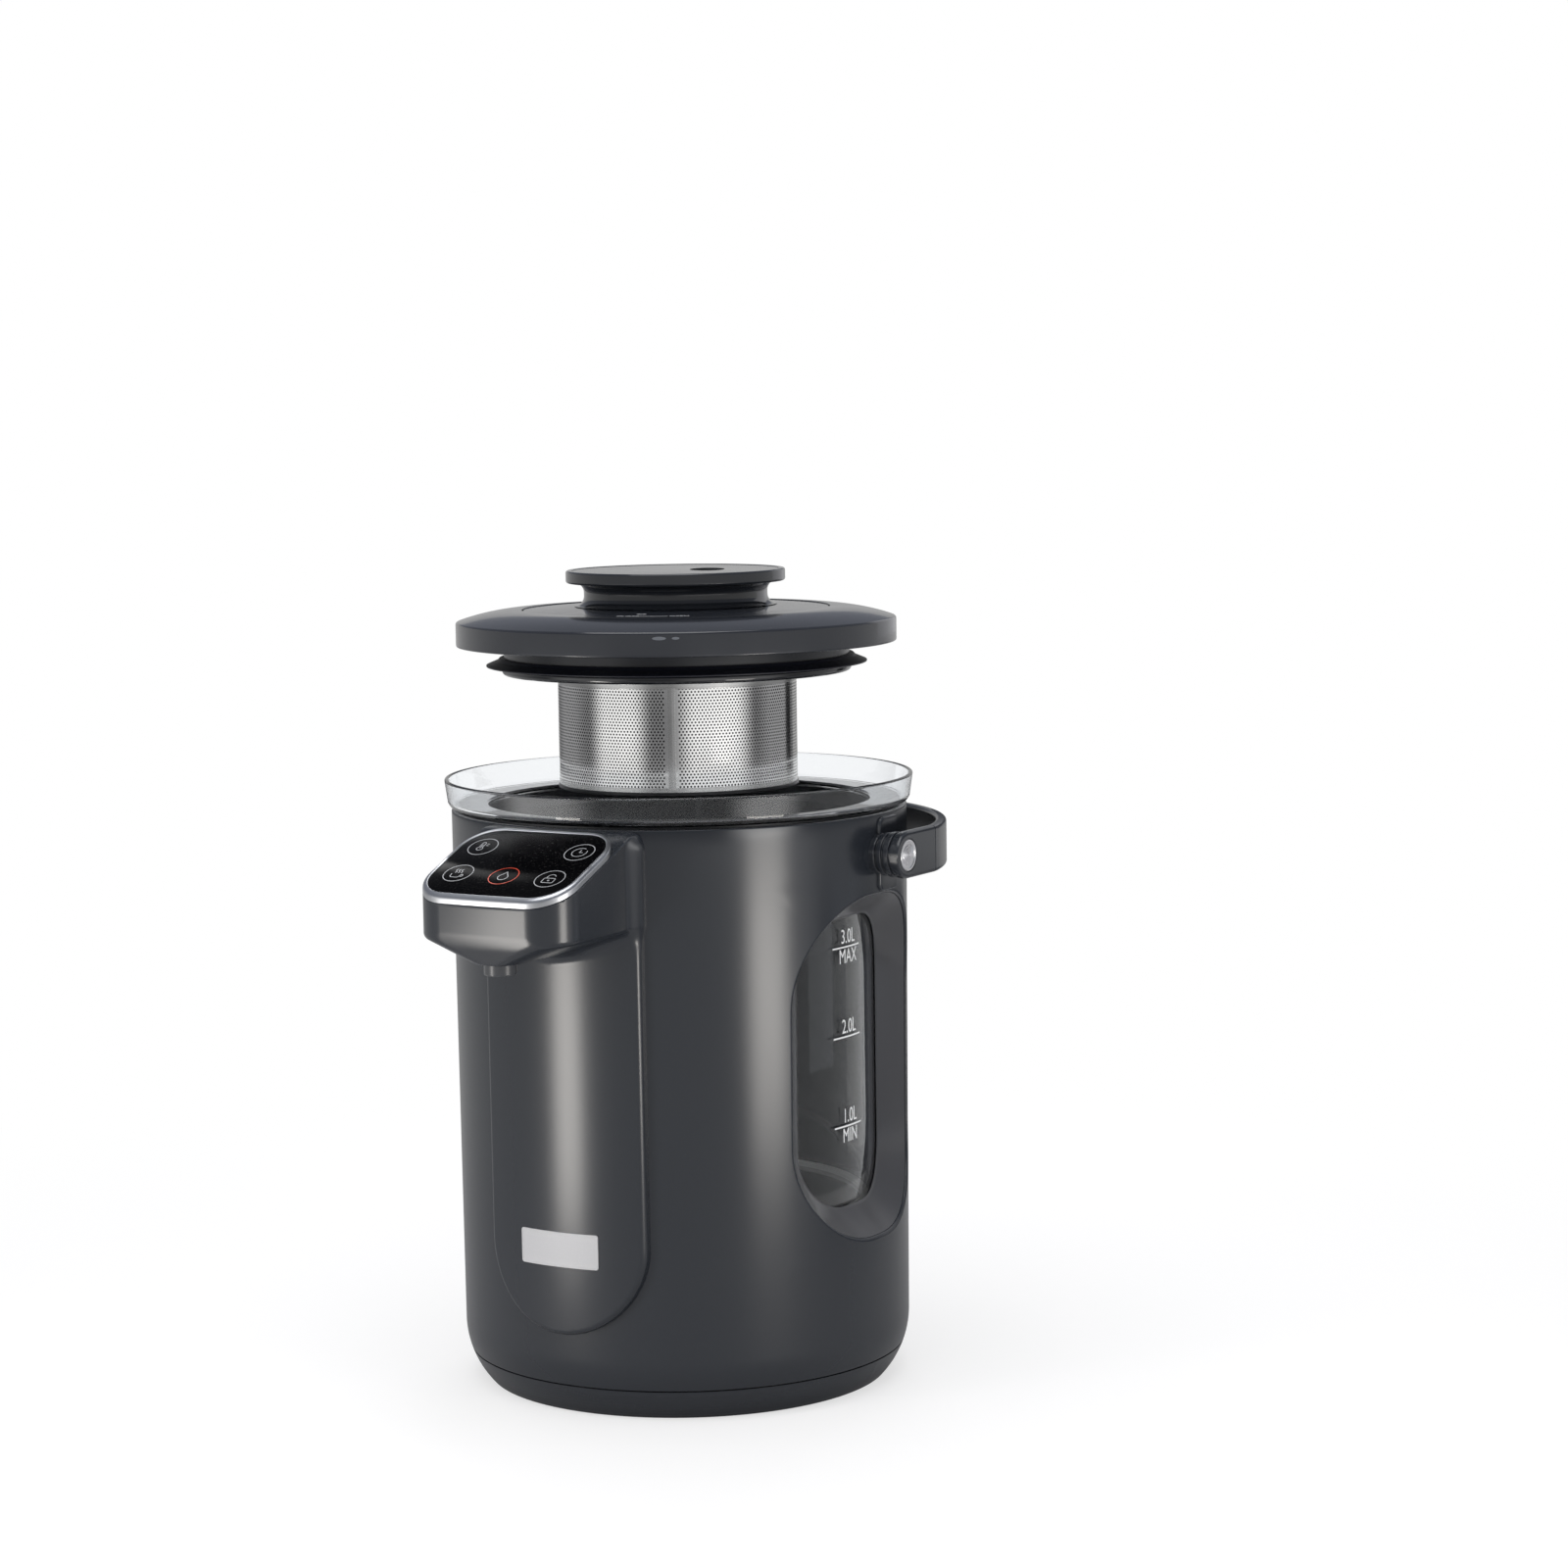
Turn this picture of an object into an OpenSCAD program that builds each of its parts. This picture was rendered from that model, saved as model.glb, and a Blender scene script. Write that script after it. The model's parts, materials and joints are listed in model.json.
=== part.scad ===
// Water dispenser with a lift-out infuser lid and a folding bail handle, in millimetres.
// Frame: origin on the body axis at the table, +Z up, spout towards -Y, window towards +X.

/* [Housing] */
// Outer radius of the housing at its top edge
housing_r = 107; // [102:0.5:114]
// Height of the housing's top edge above the table
housing_h = 270; // [262:1:285]
// Wall of the housing and the base cover
housing_wall = 2.4; // [1.8:0.1:3]
// How much narrower the side is at its foot than at its top, each side
foot_inset = 1.4; // [0:0.1:3]
// Height at which the rounded foot starts
round_z = 28; // [22:1:32]
// Radius of the rounded foot
lower_round = 41.4; // [36:0.2:55]
// Height of the seam between the housing and the base cover
seam_z = 14; // [10:0.5:18]
// Height of the ledge inside the housing that carries the cradle
ledge_z = 68; // [64:1:69]
// Thickness of the floor of the base cover
base_floor = 2.5; // [2:0.1:3.5]

/* [Tank] */
// Gap between the housing's bore and the tank, where the riser stands
tank_gap = 13.7; // [12.6:0.1:17]
// Gap between the housing's bore and the tank's neck
neck_gap = 11.5; // [10:0.1:12.5]
// Wall of the clear tank
glass_wall = 3.5; // [2.5:0.1:4.5]
// Height of the heating plate's top, where the water starts
tank_floor = 82.8; // [80:0.2:90]
// Depth of the mouth below the collar's floor
mouth_depth = 21; // [17:0.5:26]
// Height of the collar's wall above its floor
collar_h = 11.5; // [8:0.5:16]
// How far the collar's foot stands out past the housing
collar_overhang = 1.6; // [0.8:0.1:3]
// How much wider the collar is at its rim than at its foot
collar_flare = 1.6; // [0:0.1:4]
// Wall of the collar
collar_wall = 2; // [1.5:0.1:2.6]
// Thickness of the collar's floor
collar_floor_t = 2; // [1.5:0.1:3]

/* [Window] */
// Half width of the window's outer edge, across
window_half_w = 53.7; // [50:0.1:58]
// Height of the window's lower edge
window_lo = 74.2; // [68:0.5:82]
// Distance of the window's upper edge below the housing's top edge
window_top_gap = 37.2; // [36:0.1:48]
// Corner radius of the window's outer edge
window_corner = 48; // [38:0.5:50]
// Half width of the sight opening at the tank
sight_half_w = 37.5; // [32:0.5:42]
// Height of the sight opening's lower edge
sight_lo = 87.5; // [86:0.5:96]
// Distance of the sight opening's upper edge below the housing's top edge
sight_top_gap = 48; // [48:0.5:60]
// Corner radius of the sight opening
sight_corner = 29; // [20:0.5:31]
// Wall of the window's bezel
bezel_wall = 2; // [1.5:0.1:2.5]
// Width of the bezel's flange behind the housing's wall
bezel_flange = 3; // [2:0.5:5]

/* [Column and spout head] */
// Half width of the column
column_half_w = 41.4; // [40:0.1:44]
// How far the column stands proud of the housing
column_proud = 4.6; // [3.6:0.1:6]
// Height of the column's rounded lower end
column_lo = 39.3; // [34:0.5:50]
// How far the column's top edge lies below the housing's top edge
column_drop = 2.5; // [1.5:0.5:5]
// Radius of the column's upper corners
column_corner = 7; // [2:0.5:10]
// Wall of the column, the head and the head's tray
cover_wall = 2.2; // [1.6:0.1:2.8]
// Half width of the spout head
head_half_w = 39.5; // [36:0.5:40]
// How far the head's front stands out from the housing
head_reach = 58.2; // [54:0.2:64]
// Corner radius of the head, seen from above
head_corner = 17.5; // [12:0.5:22]
// Distance of the head's lower edge, where its tapered underside starts, below the housing's top
head_drop = 44.4; // [40:0.2:48]
// Drop of the head's tapered underside
tray_drop = 10.4; // [9:0.1:15]
// Tilt of the touch panel
panel_tilt = 23; // [15:0.5:27]
// Width of the silver trim rim
rim_w = 2.3; // [1.6:0.1:3]
// Height of the silver trim rim, square to the panel
rim_h = 3.4; // [3:0.1:4.5]
// Depth of the touch glass below the rim's top
glass_drop = 0.3; // [0:0.1:0.6]
// Thickness of the touch glass
glass_t = 1.8; // [1.2:0.1:2.2]
// Distance of the nozzle's axis from the housing
nozzle_reach = 44; // [41:0.5:46]
// Outer radius of the nozzle
nozzle_r = 7.3; // [6.4:0.1:8]
// Radius of the nozzle's water bore
nozzle_bore = 2.7; // [2:0.1:2.8]
// How far the nozzle shows below the head's underside
nozzle_drop = 5; // [3:0.1:8]
// Height of the badge plate's middle
badge_z = 79; // [70:1:120]
// Width of the badge plate
badge_w = 41; // [30:1:50]
// Height of the badge plate
badge_h = 16; // [10:1:24]

/* [Handle] */
// Distance of the handle's pivot axis below the housing's top edge
pivot_drop = 18.3; // [17:0.1:22]
// Gap between the housing and the handle, for fingers
finger_gap = 13.5; // [12.5:0.5:20]
// Thickness of the handle's strap
strap_t = 5.2; // [4.6:0.1:7]
// Height of the handle's strap
strap_h = 21.6; // [19:0.2:24]
// How far the strap's flat ends lie inside its round outer face
strap_flat = 3.1; // [2:0.1:4]
// Radius of the pivot pin
pin_r = 4; // [3:0.1:4.5]
// Radius of the silver cap over the pivot
cap_r = 7.4; // [7:0.1:8.5]
// Radius of the pivot boss's face, under the strap
boss_r = 10.5; // [10.2:0.1:12]
// Radius of the pivot boss's middle step
boss_step_r = 10; // [9.6:0.1:10.1]
// Radius of the pivot boss's foot on the housing
boss_foot_r = 9.4; // [8.8:0.1:9.5]
// Radius of the pivot boss's seat in the housing's wall
boss_neck_r = 7.5; // [6.4:0.1:8.4]

/* [Lid] */
// How far the lid is held above its closed place
lid_lift = 73; // [0:1:73]
// Gap between the lid's rim and the collar's inner corner
lid_side_gap = 1.6; // [1:0.1:3]
// Height of the lid's rim
lid_rim_h = 11.1; // [8:0.1:14]
// Rise of the lid's dome from its rim to the inner disc
dome_rise = 5.4; // [3:0.1:8]
// Wall of the lid's shell and base
lid_wall = 2.4; // [1.8:0.1:2.6]
// How far the lip seal reaches out from the plug's wall
lip_reach = 8.6; // [7:0.1:10]
// Depth of the plug's wall below the rim
plug_depth = 10.3; // [9:0.1:13]
// Thickness of the lid's glossy bottom plate
plate_t = 3.3; // [2.4:0.1:4]
// Width of the lid's dome, from the lid's edge to the inner disc
dome_w = 31.5; // [27:0.1:34]
// Rise of the inner disc towards the knob
disc_rise = 1.8; // [0.5:0.1:3]
// Thickness of the inner disc
disc_t = 2.4; // [2:0.1:3]
// Radius of the knob's neck
neck_r = 43; // [36:0.5:46]
// Height of the knob's neck
neck_h = 10.7; // [8:0.1:16]
// Radius of the knob's flange
flange_r = 51.4; // [48:0.2:56]
// Height of the knob's flange
flange_h = 5.8; // [4.5:0.1:8]
// Wall of the knob
knob_wall = 2.4; // [1.8:0.1:3]
// Thickness of the knob's flat cap
cap_t = 1.4; // [1:0.1:2]

/* [Infuser] */
// Gap between the lid's plug wall and the perforated basket
infuser_gap = 25; // [24:0.2:31]
// How far the basket hangs below the lid's plate
infuser_depth = 53; // [40:1:70]
// Wall of the basket
infuser_wall = 0.8; // [0.5:0.1:1.2]
// Height of the dark ring round the basket's foot
foot_ring_h = 3.4; // [2:0.1:6]
// Wall of the sleeve that holds the basket
sleeve_wall = 2; // [1.6:0.1:2.6]
// Reach of the basket's locking lugs
lug_reach = 1.9; // [1.4:0.1:2.1]
// Thickness of a locking lug
lug_t = 1.6; // [1:0.1:2]
// Angle that a locking lug takes up, degrees
lug_angle = 30; // [20:1:36]
// Number of locking lugs
lug_count = 3; // [2:1:4]

/* [Water path] */
// Outer radius of the rigid water tubes and stubs
tube_r = 4; // [3.4:0.1:4.2]
// Inner radius of the rigid water tubes and stubs
tube_bore = 2.8; // [2:0.1:3]
// Wall of the silicone hoses
hose_wall = 1.6; // [1.2:0.1:1.8]
// Distance of the pump's axis in front of the body axis
pump_y = 45; // [40:1:48]
// Radius of the pump's body
pump_r = 17; // [15:0.5:19]
// Height of the pump's body
pump_h = 14; // [12:0.5:16]
// Height of the pump body's underside
pump_z = 42; // [38:0.5:43]
// Radius of the pump's motor
motor_r = 14; // [11:0.5:14.5]
// Height of the outlet tube's level run above the head's lower edge
spout_run_over = 10.4; // [8.4:0.1:11.4]

/* [Electrics] */
// Width of the power board
board_w = 70; // [60:1:76]
// Depth of the power board
board_d = 50; // [40:1:54]
// Thickness of the circuit boards
board_t = 1.6; // [1:0.1:2]
// Width of the power inlet
inlet_w = 27; // [24:0.5:32]
// Height of the power inlet
inlet_h = 20; // [18:0.5:24]
// Height of the power inlet's middle
inlet_z = 46; // [42:1:52]

/* [Clearances] */
// Clearance between bodies that move past each other
body_gap = 0.3; // [0.2:0.05:0.5]
// Radial clearance of a pin or sleeve that runs in a bore
running_gap = 0.06; // [0.02:0.01:0.1]
// Gap round the inner disc
disc_gap = 0.5; // [0.3:0.05:0.8]
// Gap between fixed pieces that are put together
fixed_gap = 0.2; // [0.1:0.05:0.4]

/* [Hidden] */
$fn = 96;

slip = 0.02;
cut = 1;
far = 400;

// Side of the body
foot_line_r = housing_r - foot_inset;
bore_r = housing_r - housing_wall;
arc_steps = 8;
shelf_t = 2.5;
shelf_in = 4;
shelf_out = 1.2;
notch_gap = 0.6;
notch_under = 6;
notch_over = 24;

// Tank and collar
tank_r = bore_r - tank_gap;
tank_bore = tank_r - glass_wall;
neck_r_out = bore_r - neck_gap;
mouth_bore = neck_r_out - glass_wall;
gasket_t = 1.2;
gasket_in = 4.6;
collar_floor = housing_h - fixed_gap + gasket_t + collar_floor_t;
mouth_lo = collar_floor - mouth_depth;
mouth_round = 1;
neck_step = 4;
collar_foot_r = housing_r + collar_overhang;
collar_rim_r = collar_foot_r + collar_flare;
collar_top = collar_floor + collar_h;
collar_round = 1.8;
collar_corner_r = collar_foot_r - collar_wall - collar_round;
collar_foot_round = 4;
collar_edge = 0.7;
top_ring_h = 7;
plate_sheet = 1.5;
seal_lip = 2;
seal_over = 3.9;
seal_under = 2.3;
glass_sink = 1.3;
glass_lo = tank_floor - plate_sheet - glass_sink;

// Gap between tank and housing, where the riser stands
riser_y = -(tank_r + bore_r) / 2;
hose_r = tube_r + hose_wall;

// Window
window_hi = housing_h - window_top_gap;
sight_hi = housing_h - sight_top_gap;

// Column and head
column_top = housing_h - column_drop;
skirt_z = housing_h - head_drop;
panel_gap = 1.6;
panel_sink = 0.1;
head_back_y = -(housing_r + panel_gap);
head_front_y = -(housing_r + head_reach);
head_len = head_back_y - head_front_y;
panel_z = housing_h - panel_sink;
nozzle_y = -(housing_r + nozzle_reach);
tray_z = skirt_z - tray_drop;
keel_half_w = 10;
keel_corner = 8;
keel_front_gap = 4.5;
keel_share = 0.4;
nozzle_lip = 0.8;
nozzle_lip_t = 1.5;
nozzle_rim = 1.8;
nozzle_recess = 1.6;
nozzle_stub_h = 8;
spring_h = 4;
board_drop = glass_drop + glass_t + spring_h;
rim_lip = 2.2;
board_margin = 12;
board_side_gap = 7.5;
board_half_w = head_half_w - board_side_gap;
standoff_r = 2.2;
standoff_in = 3;
standoff_at = [29, 46.5];
touch_key_r = 3;
touch_keys = [[-25.5, 18.3], [25.5, 18.3], [-24.2, 41.8], [0, 41.8], [24.2, 41.8]];
spout_run_z = skirt_z + spout_run_over;
port_under = 10;
port_over = 14;
port_lo = spout_run_z - port_under;
port_hi = spout_run_z + port_over;
port_margin = 3;
port_front = 6;
port_d = 20;
badge_t = 0.6;

// Cradle and base
cradle_t = 3;
cradle_lip = 2.4;
cradle_lip_h = 4;
cradle_in = 6.4;
cradle_gap = 0.6;
cradle_r = side_r(ledge_z) - housing_wall - cradle_gap;
thread_h = 12;
post_r = 5;
post_wall = 2;
post_in = 20.6;
post_at = bore_r - post_in;
screw_r = 2;
screw_head_r = 4;
boss_h = 5.5;
screw_recess = 3;
screw_sink = 0.6;
screw_len = 14.5;
spigot_h = 6;
spigot_root = 2;
pad_r = 9;
pad_t = 1.2;
pad_in = 18.7;
pad_at = side_r(0) - pad_in;
vent_count = 6;
vent_w = 3;
vent_len = 24;
vent_pitch = 8;

// Pump and hoses
stub_h = 10;
spigot_drop = 11;
outlet_z = pump_z + pump_h / 2;
bend_r = 10;
hose_rise = 11;
riser_foot = outlet_z + bend_r + hose_rise;
hose_grip = 10;
hose_end = 4;
outlet_end = 3;
riser_bend = 8;
riser_grip = 8;
spout_end = 2;
spout_grip = 6;
motor_z = 16;
motor_foot_r = 5;
motor_foot_h = 3;
mount_wall = 3.5;
mount_h = 22;

// Under the heating plate
element_at = 53;
element_r = 3.5;
element_foot_w = 12;
element_foot_t = 1.5;
element_drop = 4.5;
element_sweep = 300;
thermostat_r = 9;
thermostat_h = 6;
thermostat_tab_w = 2;
thermostat_tab_d = 6;
thermostat_tab_at = 4;
fuse_at = 22;
fuse_r = 2.5;
fuse_len = 16;

// Power board and inlet
board_z = 10;
board_y = 40;
board_hole_in = 5;
board_post_r = 3;
board_boxes = [[-28, -16, 22, 20, 17], [2, -18, 12, 18, 15], [-18, 14, 34, 3, 20]];
capacitor_x = 22;
capacitor_y = -8;
capacitor_r = 6;
capacitor_h = 22;
inlet_depth = 22;
inlet_floor_t = 4;
inlet_proud = 6;
inlet_inset = 0.2;
inlet_wall = 1.8;
inlet_lip = 3;
inlet_flange_t = 2.5;
pin_spots = [[-7, -2], [0, 3], [7, -2]];
pin_blade_w = 2;
pin_blade_h = 4;
pin_blade_len = 20;
pin_blade_root = 8;
ribbon_w = 10;
ribbon_t = 1;
ribbon_x = 19;
ribbon_back = 2.75;
ribbon_y = riser_y + ribbon_back;
ribbon_z = 21;
ribbon_drop = 4;
ribbon_tail = 2;

// Handle
pivot_z = housing_h - pivot_drop;
strap_in_r = housing_r + finger_gap;
strap_out_r = strap_in_r + strap_t;
arm_out_x = strap_out_r - strap_flat;
arm_in_x = arm_out_x - strap_t;
pin_head_r = 6;
pin_head_t = 1.3;
cap_disc_t = 1.4;
pin_tail = 3;
boss_seat = 1;
boss_step_h = 6;
boss_foot_h = 2.5;
nut_r = 8.5;
nut_t = 5;

// Lid
lid_z = collar_floor + body_gap + lid_lift;
lid_r = collar_corner_r - lid_side_gap;
disc_r = lid_r - dome_w;
plug_r = mouth_bore - lip_reach;
lip_r = mouth_bore - body_gap;
infuser_r = plug_r - infuser_gap;
disc_bore = disc_r + disc_gap;
dome_arc_r = (pow(lid_r - disc_bore, 2) + pow(dome_rise, 2)) / (2 * dome_rise);
dome_top = lid_rim_h + dome_rise;
lid_edge_round = 1.2;
lid_foot_edge = 0.6;
lid_corner_drop = 3;
web_z = 0.3;
ledge_sink = 1.1;
ledge_top = dome_top - disc_t - ledge_sink;
ledge_t = 2;
collar_ring_t = 0.8;
collar_ring_r = infuser_r + collar_ring_t;
sleeve_bore = collar_ring_r + lug_reach + body_gap;
sleeve_r = sleeve_bore + sleeve_wall;
plate_over = 0.9;
plate_r = plug_r + plate_over;
plate_edge = 1.2;
plate_top_edge = 0.8;
plate_lo = -plug_depth - plate_t;
disc_sink = 0.4;
disc_edge = 0.4;
disc_root = 0.6;
disc_top = dome_top - disc_sink;
neck_lo = disc_top + disc_rise;
flange_lo = neck_lo + neck_h;
knob_top = flange_lo + flange_h;
knob_foot_round = 3;
knob_head_round = 2;
knob_edge = 1;
cap_in = 3;
clip_t = 2;
clip_w = 5;
clip_r = sleeve_r + clip_w;
lid_screw_r = 1.5;
lid_screw_in = 10;
lid_screw_at = plug_r - lid_screw_in;
lid_screw_len = 9;
lid_head_r = 2.6;
lid_head_t = 1.3;
lid_head_sink = 0.3;
lid_boss_r = 4;
lid_rib_w = 3;
seal_root_t = 2;
seal_flare = 1;
seal_foot = 0.9;
seal_lip_lo = 0.6;
seal_lip_t = 0.6;
seal_back = 3.4;
seal_h = 4.6;

// Infuser
socket_gap = 0.5;
socket_lip_t = 1.6;
socket_sink = 0.4;
socket_lo = plate_lo + socket_sink;
lug_lo = socket_lo + socket_lip_t + body_gap;
socket_margin_angle = 10;
ring_under = 3;
ring_over = 2;
basket_lo = plate_lo - infuser_depth;
basket_top = lug_lo + lug_t + ring_over;
foot_ring_t = 0.7;
foot_ring_sink = 0.2;
socket_angle = lug_angle + socket_margin_angle;

// Outer radius of the body's side at height z
function side_r(z) = z >= round_z
  ? foot_line_r + foot_inset * (z - round_z) / (housing_h - round_z)
  : foot_line_r - lower_round + sqrt(pow(lower_round, 2) - pow(round_z - z, 2));

// Heights at which the side's outline needs a point
function side_zs(z0, z1) = z0 < round_z && z1 > round_z
  ? concat([for (i = [0:arc_steps]) z0 + (round_z - z0) * i / arc_steps], [z1])
  : z1 <= round_z ? [for (i = [0:arc_steps]) z0 + (z1 - z0) * i / arc_steps] : [z0, z1];

// Outline of the side from z0 to z1, moved in by inset
function side_line(inset, z0, z1) = [for (z = side_zs(z0, z1)) [side_r(z) - inset, z]];

function reversed(points) = [for (i = [len(points) - 1:-1:0]) points[i]];

// Points on an arc
function arc(cx, cy, r, a0, a1, steps) =
  [for (i = [0:steps]) let (a = a0 + (a1 - a0) * i / steps) [cx + r * cos(a), cy + r * sin(a)]];

// Rounded rectangle from (-half_w, lo) to (half_w, hi), with a point in the middle of its ends
function round_box(half_w, lo, hi, r, steps) = concat(
  arc(half_w - r, hi - r, r, 0, 90, steps),
  [[0, hi]],
  arc(-half_w + r, hi - r, r, 90, 180, steps),
  arc(-half_w + r, lo + r, r, 180, 270, steps),
  [[0, lo]],
  arc(half_w - r, lo + r, r, 270, 360, steps)
);

// Outline of a window in the side, as (y, z) points
function window_line(half_w, lo, hi, r) = round_box(half_w, lo, hi, r, 12);

// A window outline, as (y, z) points, laid on the body's side moved in by inset
function on_side(points, inset) =
  [for (p = points) [sqrt(pow(side_r(p[1]) - inset, 2) - pow(p[0], 2)), p[0], p[1]]];

// A window outline laid on a plain cylinder
function on_round(points, r) = [for (p = points) [sqrt(r * r - pow(p[0], 2)), p[0], p[1]]];

// Solid of the body's side, moved in by inset
module side_solid(inset, z0, z1) {
  rotate_extrude() polygon(concat([[0, z0]], side_line(inset, z0, z1), [[0, z1]]));
}

// Shell between two insets of the body's side
module side_shell(inset_out, inset_in, z0, z1) {
  rotate_extrude()
    polygon(concat(side_line(inset_out, z0, z1), reversed(side_line(inset_in, z0, z1))));
}

module ring(r_out, r_in, z0, z1) {
  translate([0, 0, z0]) difference() {
    cylinder(r = r_out, h = z1 - z0);
    translate([0, 0, -cut]) cylinder(r = r_in, h = z1 - z0 + 2 * cut);
  }
}

module pipe(r_out, r_in, length) {
  difference() {
    cylinder(r = r_out, h = length);
    translate([0, 0, -cut]) cylinder(r = r_in, h = length + 2 * cut);
  }
}

// Quarter bend of a pipe in the YZ plane: enters along +Z at the origin, leaves along -Y
module pipe_bend(r_out, r_in, r_bend) {
  translate([0, -r_bend, 0]) rotate([0, -90, 0])
    rotate_extrude(angle = 90) translate([r_bend, 0]) difference() {
      circle(r = r_out);
      circle(r = r_in);
    }
}

// Closed band through several rings of points with equal counts
module ring_loft(rings) {
  count = len(rings[0]);
  total = len(rings);
  points = [for (r = rings) each r];
  faces = [
    for (k = [0:total - 1]) for (i = [0:count - 1])
      let (k2 = (k + 1) % total, i2 = (i + 1) % count)
      each [
        [k * count + i, k * count + i2, k2 * count + i2],
        [k * count + i, k2 * count + i2, k2 * count + i]
      ]
  ];
  polyhedron(points = points, faces = faces);
}

// Rounded rectangle of the touch panel seen from above, moved in by inset
module panel_prism(inset, z0, z1) {
  corner = max(head_corner - inset, 1);
  translate([0, 0, z0]) linear_extrude(z1 - z0)
    polygon(round_box(head_half_w - inset, head_front_y + inset, head_back_y - inset, corner, 12));
}

// The head seen from above: rounded in front, running back into the housing
module head_outline(inset) {
  half_w = head_half_w - inset;
  front = head_front_y + inset;
  corner = max(head_corner - inset, 1);
  polygon(concat(
    [[half_w, -bore_r / 2], [-half_w, -bore_r / 2]],
    arc(-half_w + corner, front + corner, corner, 180, 270, 12),
    arc(half_w - corner, front + corner, corner, 270, 360, 12)
  ));
}

// Frame of the touch panel: origin at its back edge, +Z out of the panel, -Y down its slope
module on_panel() {
  translate([0, head_back_y, panel_z]) rotate([panel_tilt, 0, 0]) children();
}

// Slab parallel to the panel, between two depths
module panel_slab(lo, hi) {
  on_panel() translate([-far / 2, -far / 2, lo]) cube([far, far, hi - lo]);
}

// The column's block, moved in by inset: a round lower end and rounded upper corners
module column_block(inset) {
  half_w = column_half_w - inset;
  hi = column_top - inset;
  corner = max(column_corner - inset, 1);
  rotate([90, 0, 0]) linear_extrude(far) union() {
    translate([0, column_lo + column_half_w]) circle(r = half_w);
    polygon(concat(
      [[-half_w, column_lo + column_half_w], [half_w, column_lo + column_half_w]],
      arc(half_w - corner, hi - corner, corner, 0, 90, 6),
      arc(-half_w + corner, hi - corner, corner, 90, 180, 6)
    ));
  }
}

// Opening behind the head for the water tube and the ribbon
module head_port() {
  translate([-hose_r - port_margin, head_back_y - port_front, port_lo])
    cube([hose_r + ribbon_x + ribbon_w + 2 * port_margin, port_d, port_hi - port_lo]);
}

module at_posts() {
  for (a = [45:90:315]) rotate([0, 0, a]) translate([post_at, 0, 0]) children();
}

module outer_housing() {
  color("dimgray") difference() {
    union() {
      side_shell(0, housing_wall, seam_z, housing_h);
      ring(cradle_r + shelf_out, cradle_r - shelf_in, ledge_z - shelf_t, ledge_z);
    }
    rotate([90, 0, 90]) linear_extrude(far)
      polygon(window_line(window_half_w, window_lo, window_hi, window_corner));
    head_port();
    translate([0, 0, pivot_z]) rotate([0, 90, 0])
      translate([0, 0, -far]) cylinder(r = boss_neck_r, h = 2 * far);
    translate([-inlet_w / 2, 0, inlet_z - inlet_h / 2]) cube([inlet_w, far, inlet_h]);
    riser_notch();
  }
}

// Room for the riser's hose and the ribbon in ledge and cradle
module riser_notch() {
  half_w = hose_r + notch_gap;
  height = notch_under + notch_over;
  translate([-half_w, riser_y - half_w, ledge_z - notch_under])
    cube([2 * half_w, -tank_r - riser_y + half_w, height]);
  translate([ribbon_x - notch_gap, ribbon_y - notch_gap, ledge_z - notch_under])
    cube([ribbon_w + 2 * notch_gap, -tank_r - ribbon_y + notch_gap, height]);
}

module base_cover() {
  color("dimgray") difference() {
    union() {
      difference() {
        side_solid(0, 0, seam_z);
        difference() {
          side_solid(housing_wall, 0, seam_z + slip);
          translate([0, 0, -cut]) cylinder(r = housing_r, h = base_floor + cut);
        }
      }
      ring(side_r(seam_z) - housing_wall, side_r(seam_z) - 2 * housing_wall,
        seam_z - spigot_root, seam_z + spigot_h);
      at_posts() cylinder(r = post_r + post_wall, h = boss_h);
      board_posts();
    }
    at_posts() translate([0, 0, -cut]) cylinder(r = screw_head_r + body_gap, h = screw_recess + cut);
    at_posts() cylinder(r = screw_r, h = boss_h + cut);
    at_pads() translate([0, 0, -cut]) cylinder(r = pad_r, h = pad_t + cut);
    vent_slots();
  }
}

// Air slots in the floor, an even number so that the middle of the floor is whole
module vent_slots() {
  for (i = [0:vent_count - 1])
    translate([(i - (vent_count - 1) / 2) * vent_pitch - vent_w / 2, -vent_len / 2, -cut])
      cube([vent_w, vent_len, base_floor + 2 * cut]);
}

module at_pads() {
  for (a = [0:90:270]) rotate([0, 0, a]) translate([pad_at, 0, 0]) children();
}

module board_posts() {
  for (x = [-1, 1]) for (y = [-1, 1])
    translate([x * (board_w / 2 - board_hole_in), board_y + y * (board_d / 2 - board_hole_in), 0])
      cylinder(r = board_post_r, h = board_z);
}

module foot_pads() {
  color("black") at_pads() cylinder(r = pad_r, h = pad_t);
}

module base_screws() {
  color("silver") at_posts() {
    translate([0, 0, screw_sink]) cylinder(r = screw_head_r, h = screw_recess - screw_sink);
    translate([0, 0, screw_recess - slip]) cylinder(r = screw_r, h = screw_len);
  }
}

module column_cover() {
  color("dimgray") difference() {
    union() {
      intersection() {
        column_block(0);
        side_solid(-column_proud, column_lo - cut, housing_h);
      }
      translate([0, 0, skirt_z]) linear_extrude(column_top - skirt_z) head_outline(0);
    }
    side_solid(0, column_lo - 2 * cut, housing_h + 2 * cut);
    intersection() {
      column_block(cover_wall);
      side_solid(cover_wall - column_proud, column_lo - cut, housing_h);
    }
    panel_prism(cover_wall, skirt_z - cut, housing_h + cut);
    head_port();
    panel_slab(-rim_h, far);
  }
}

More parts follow.
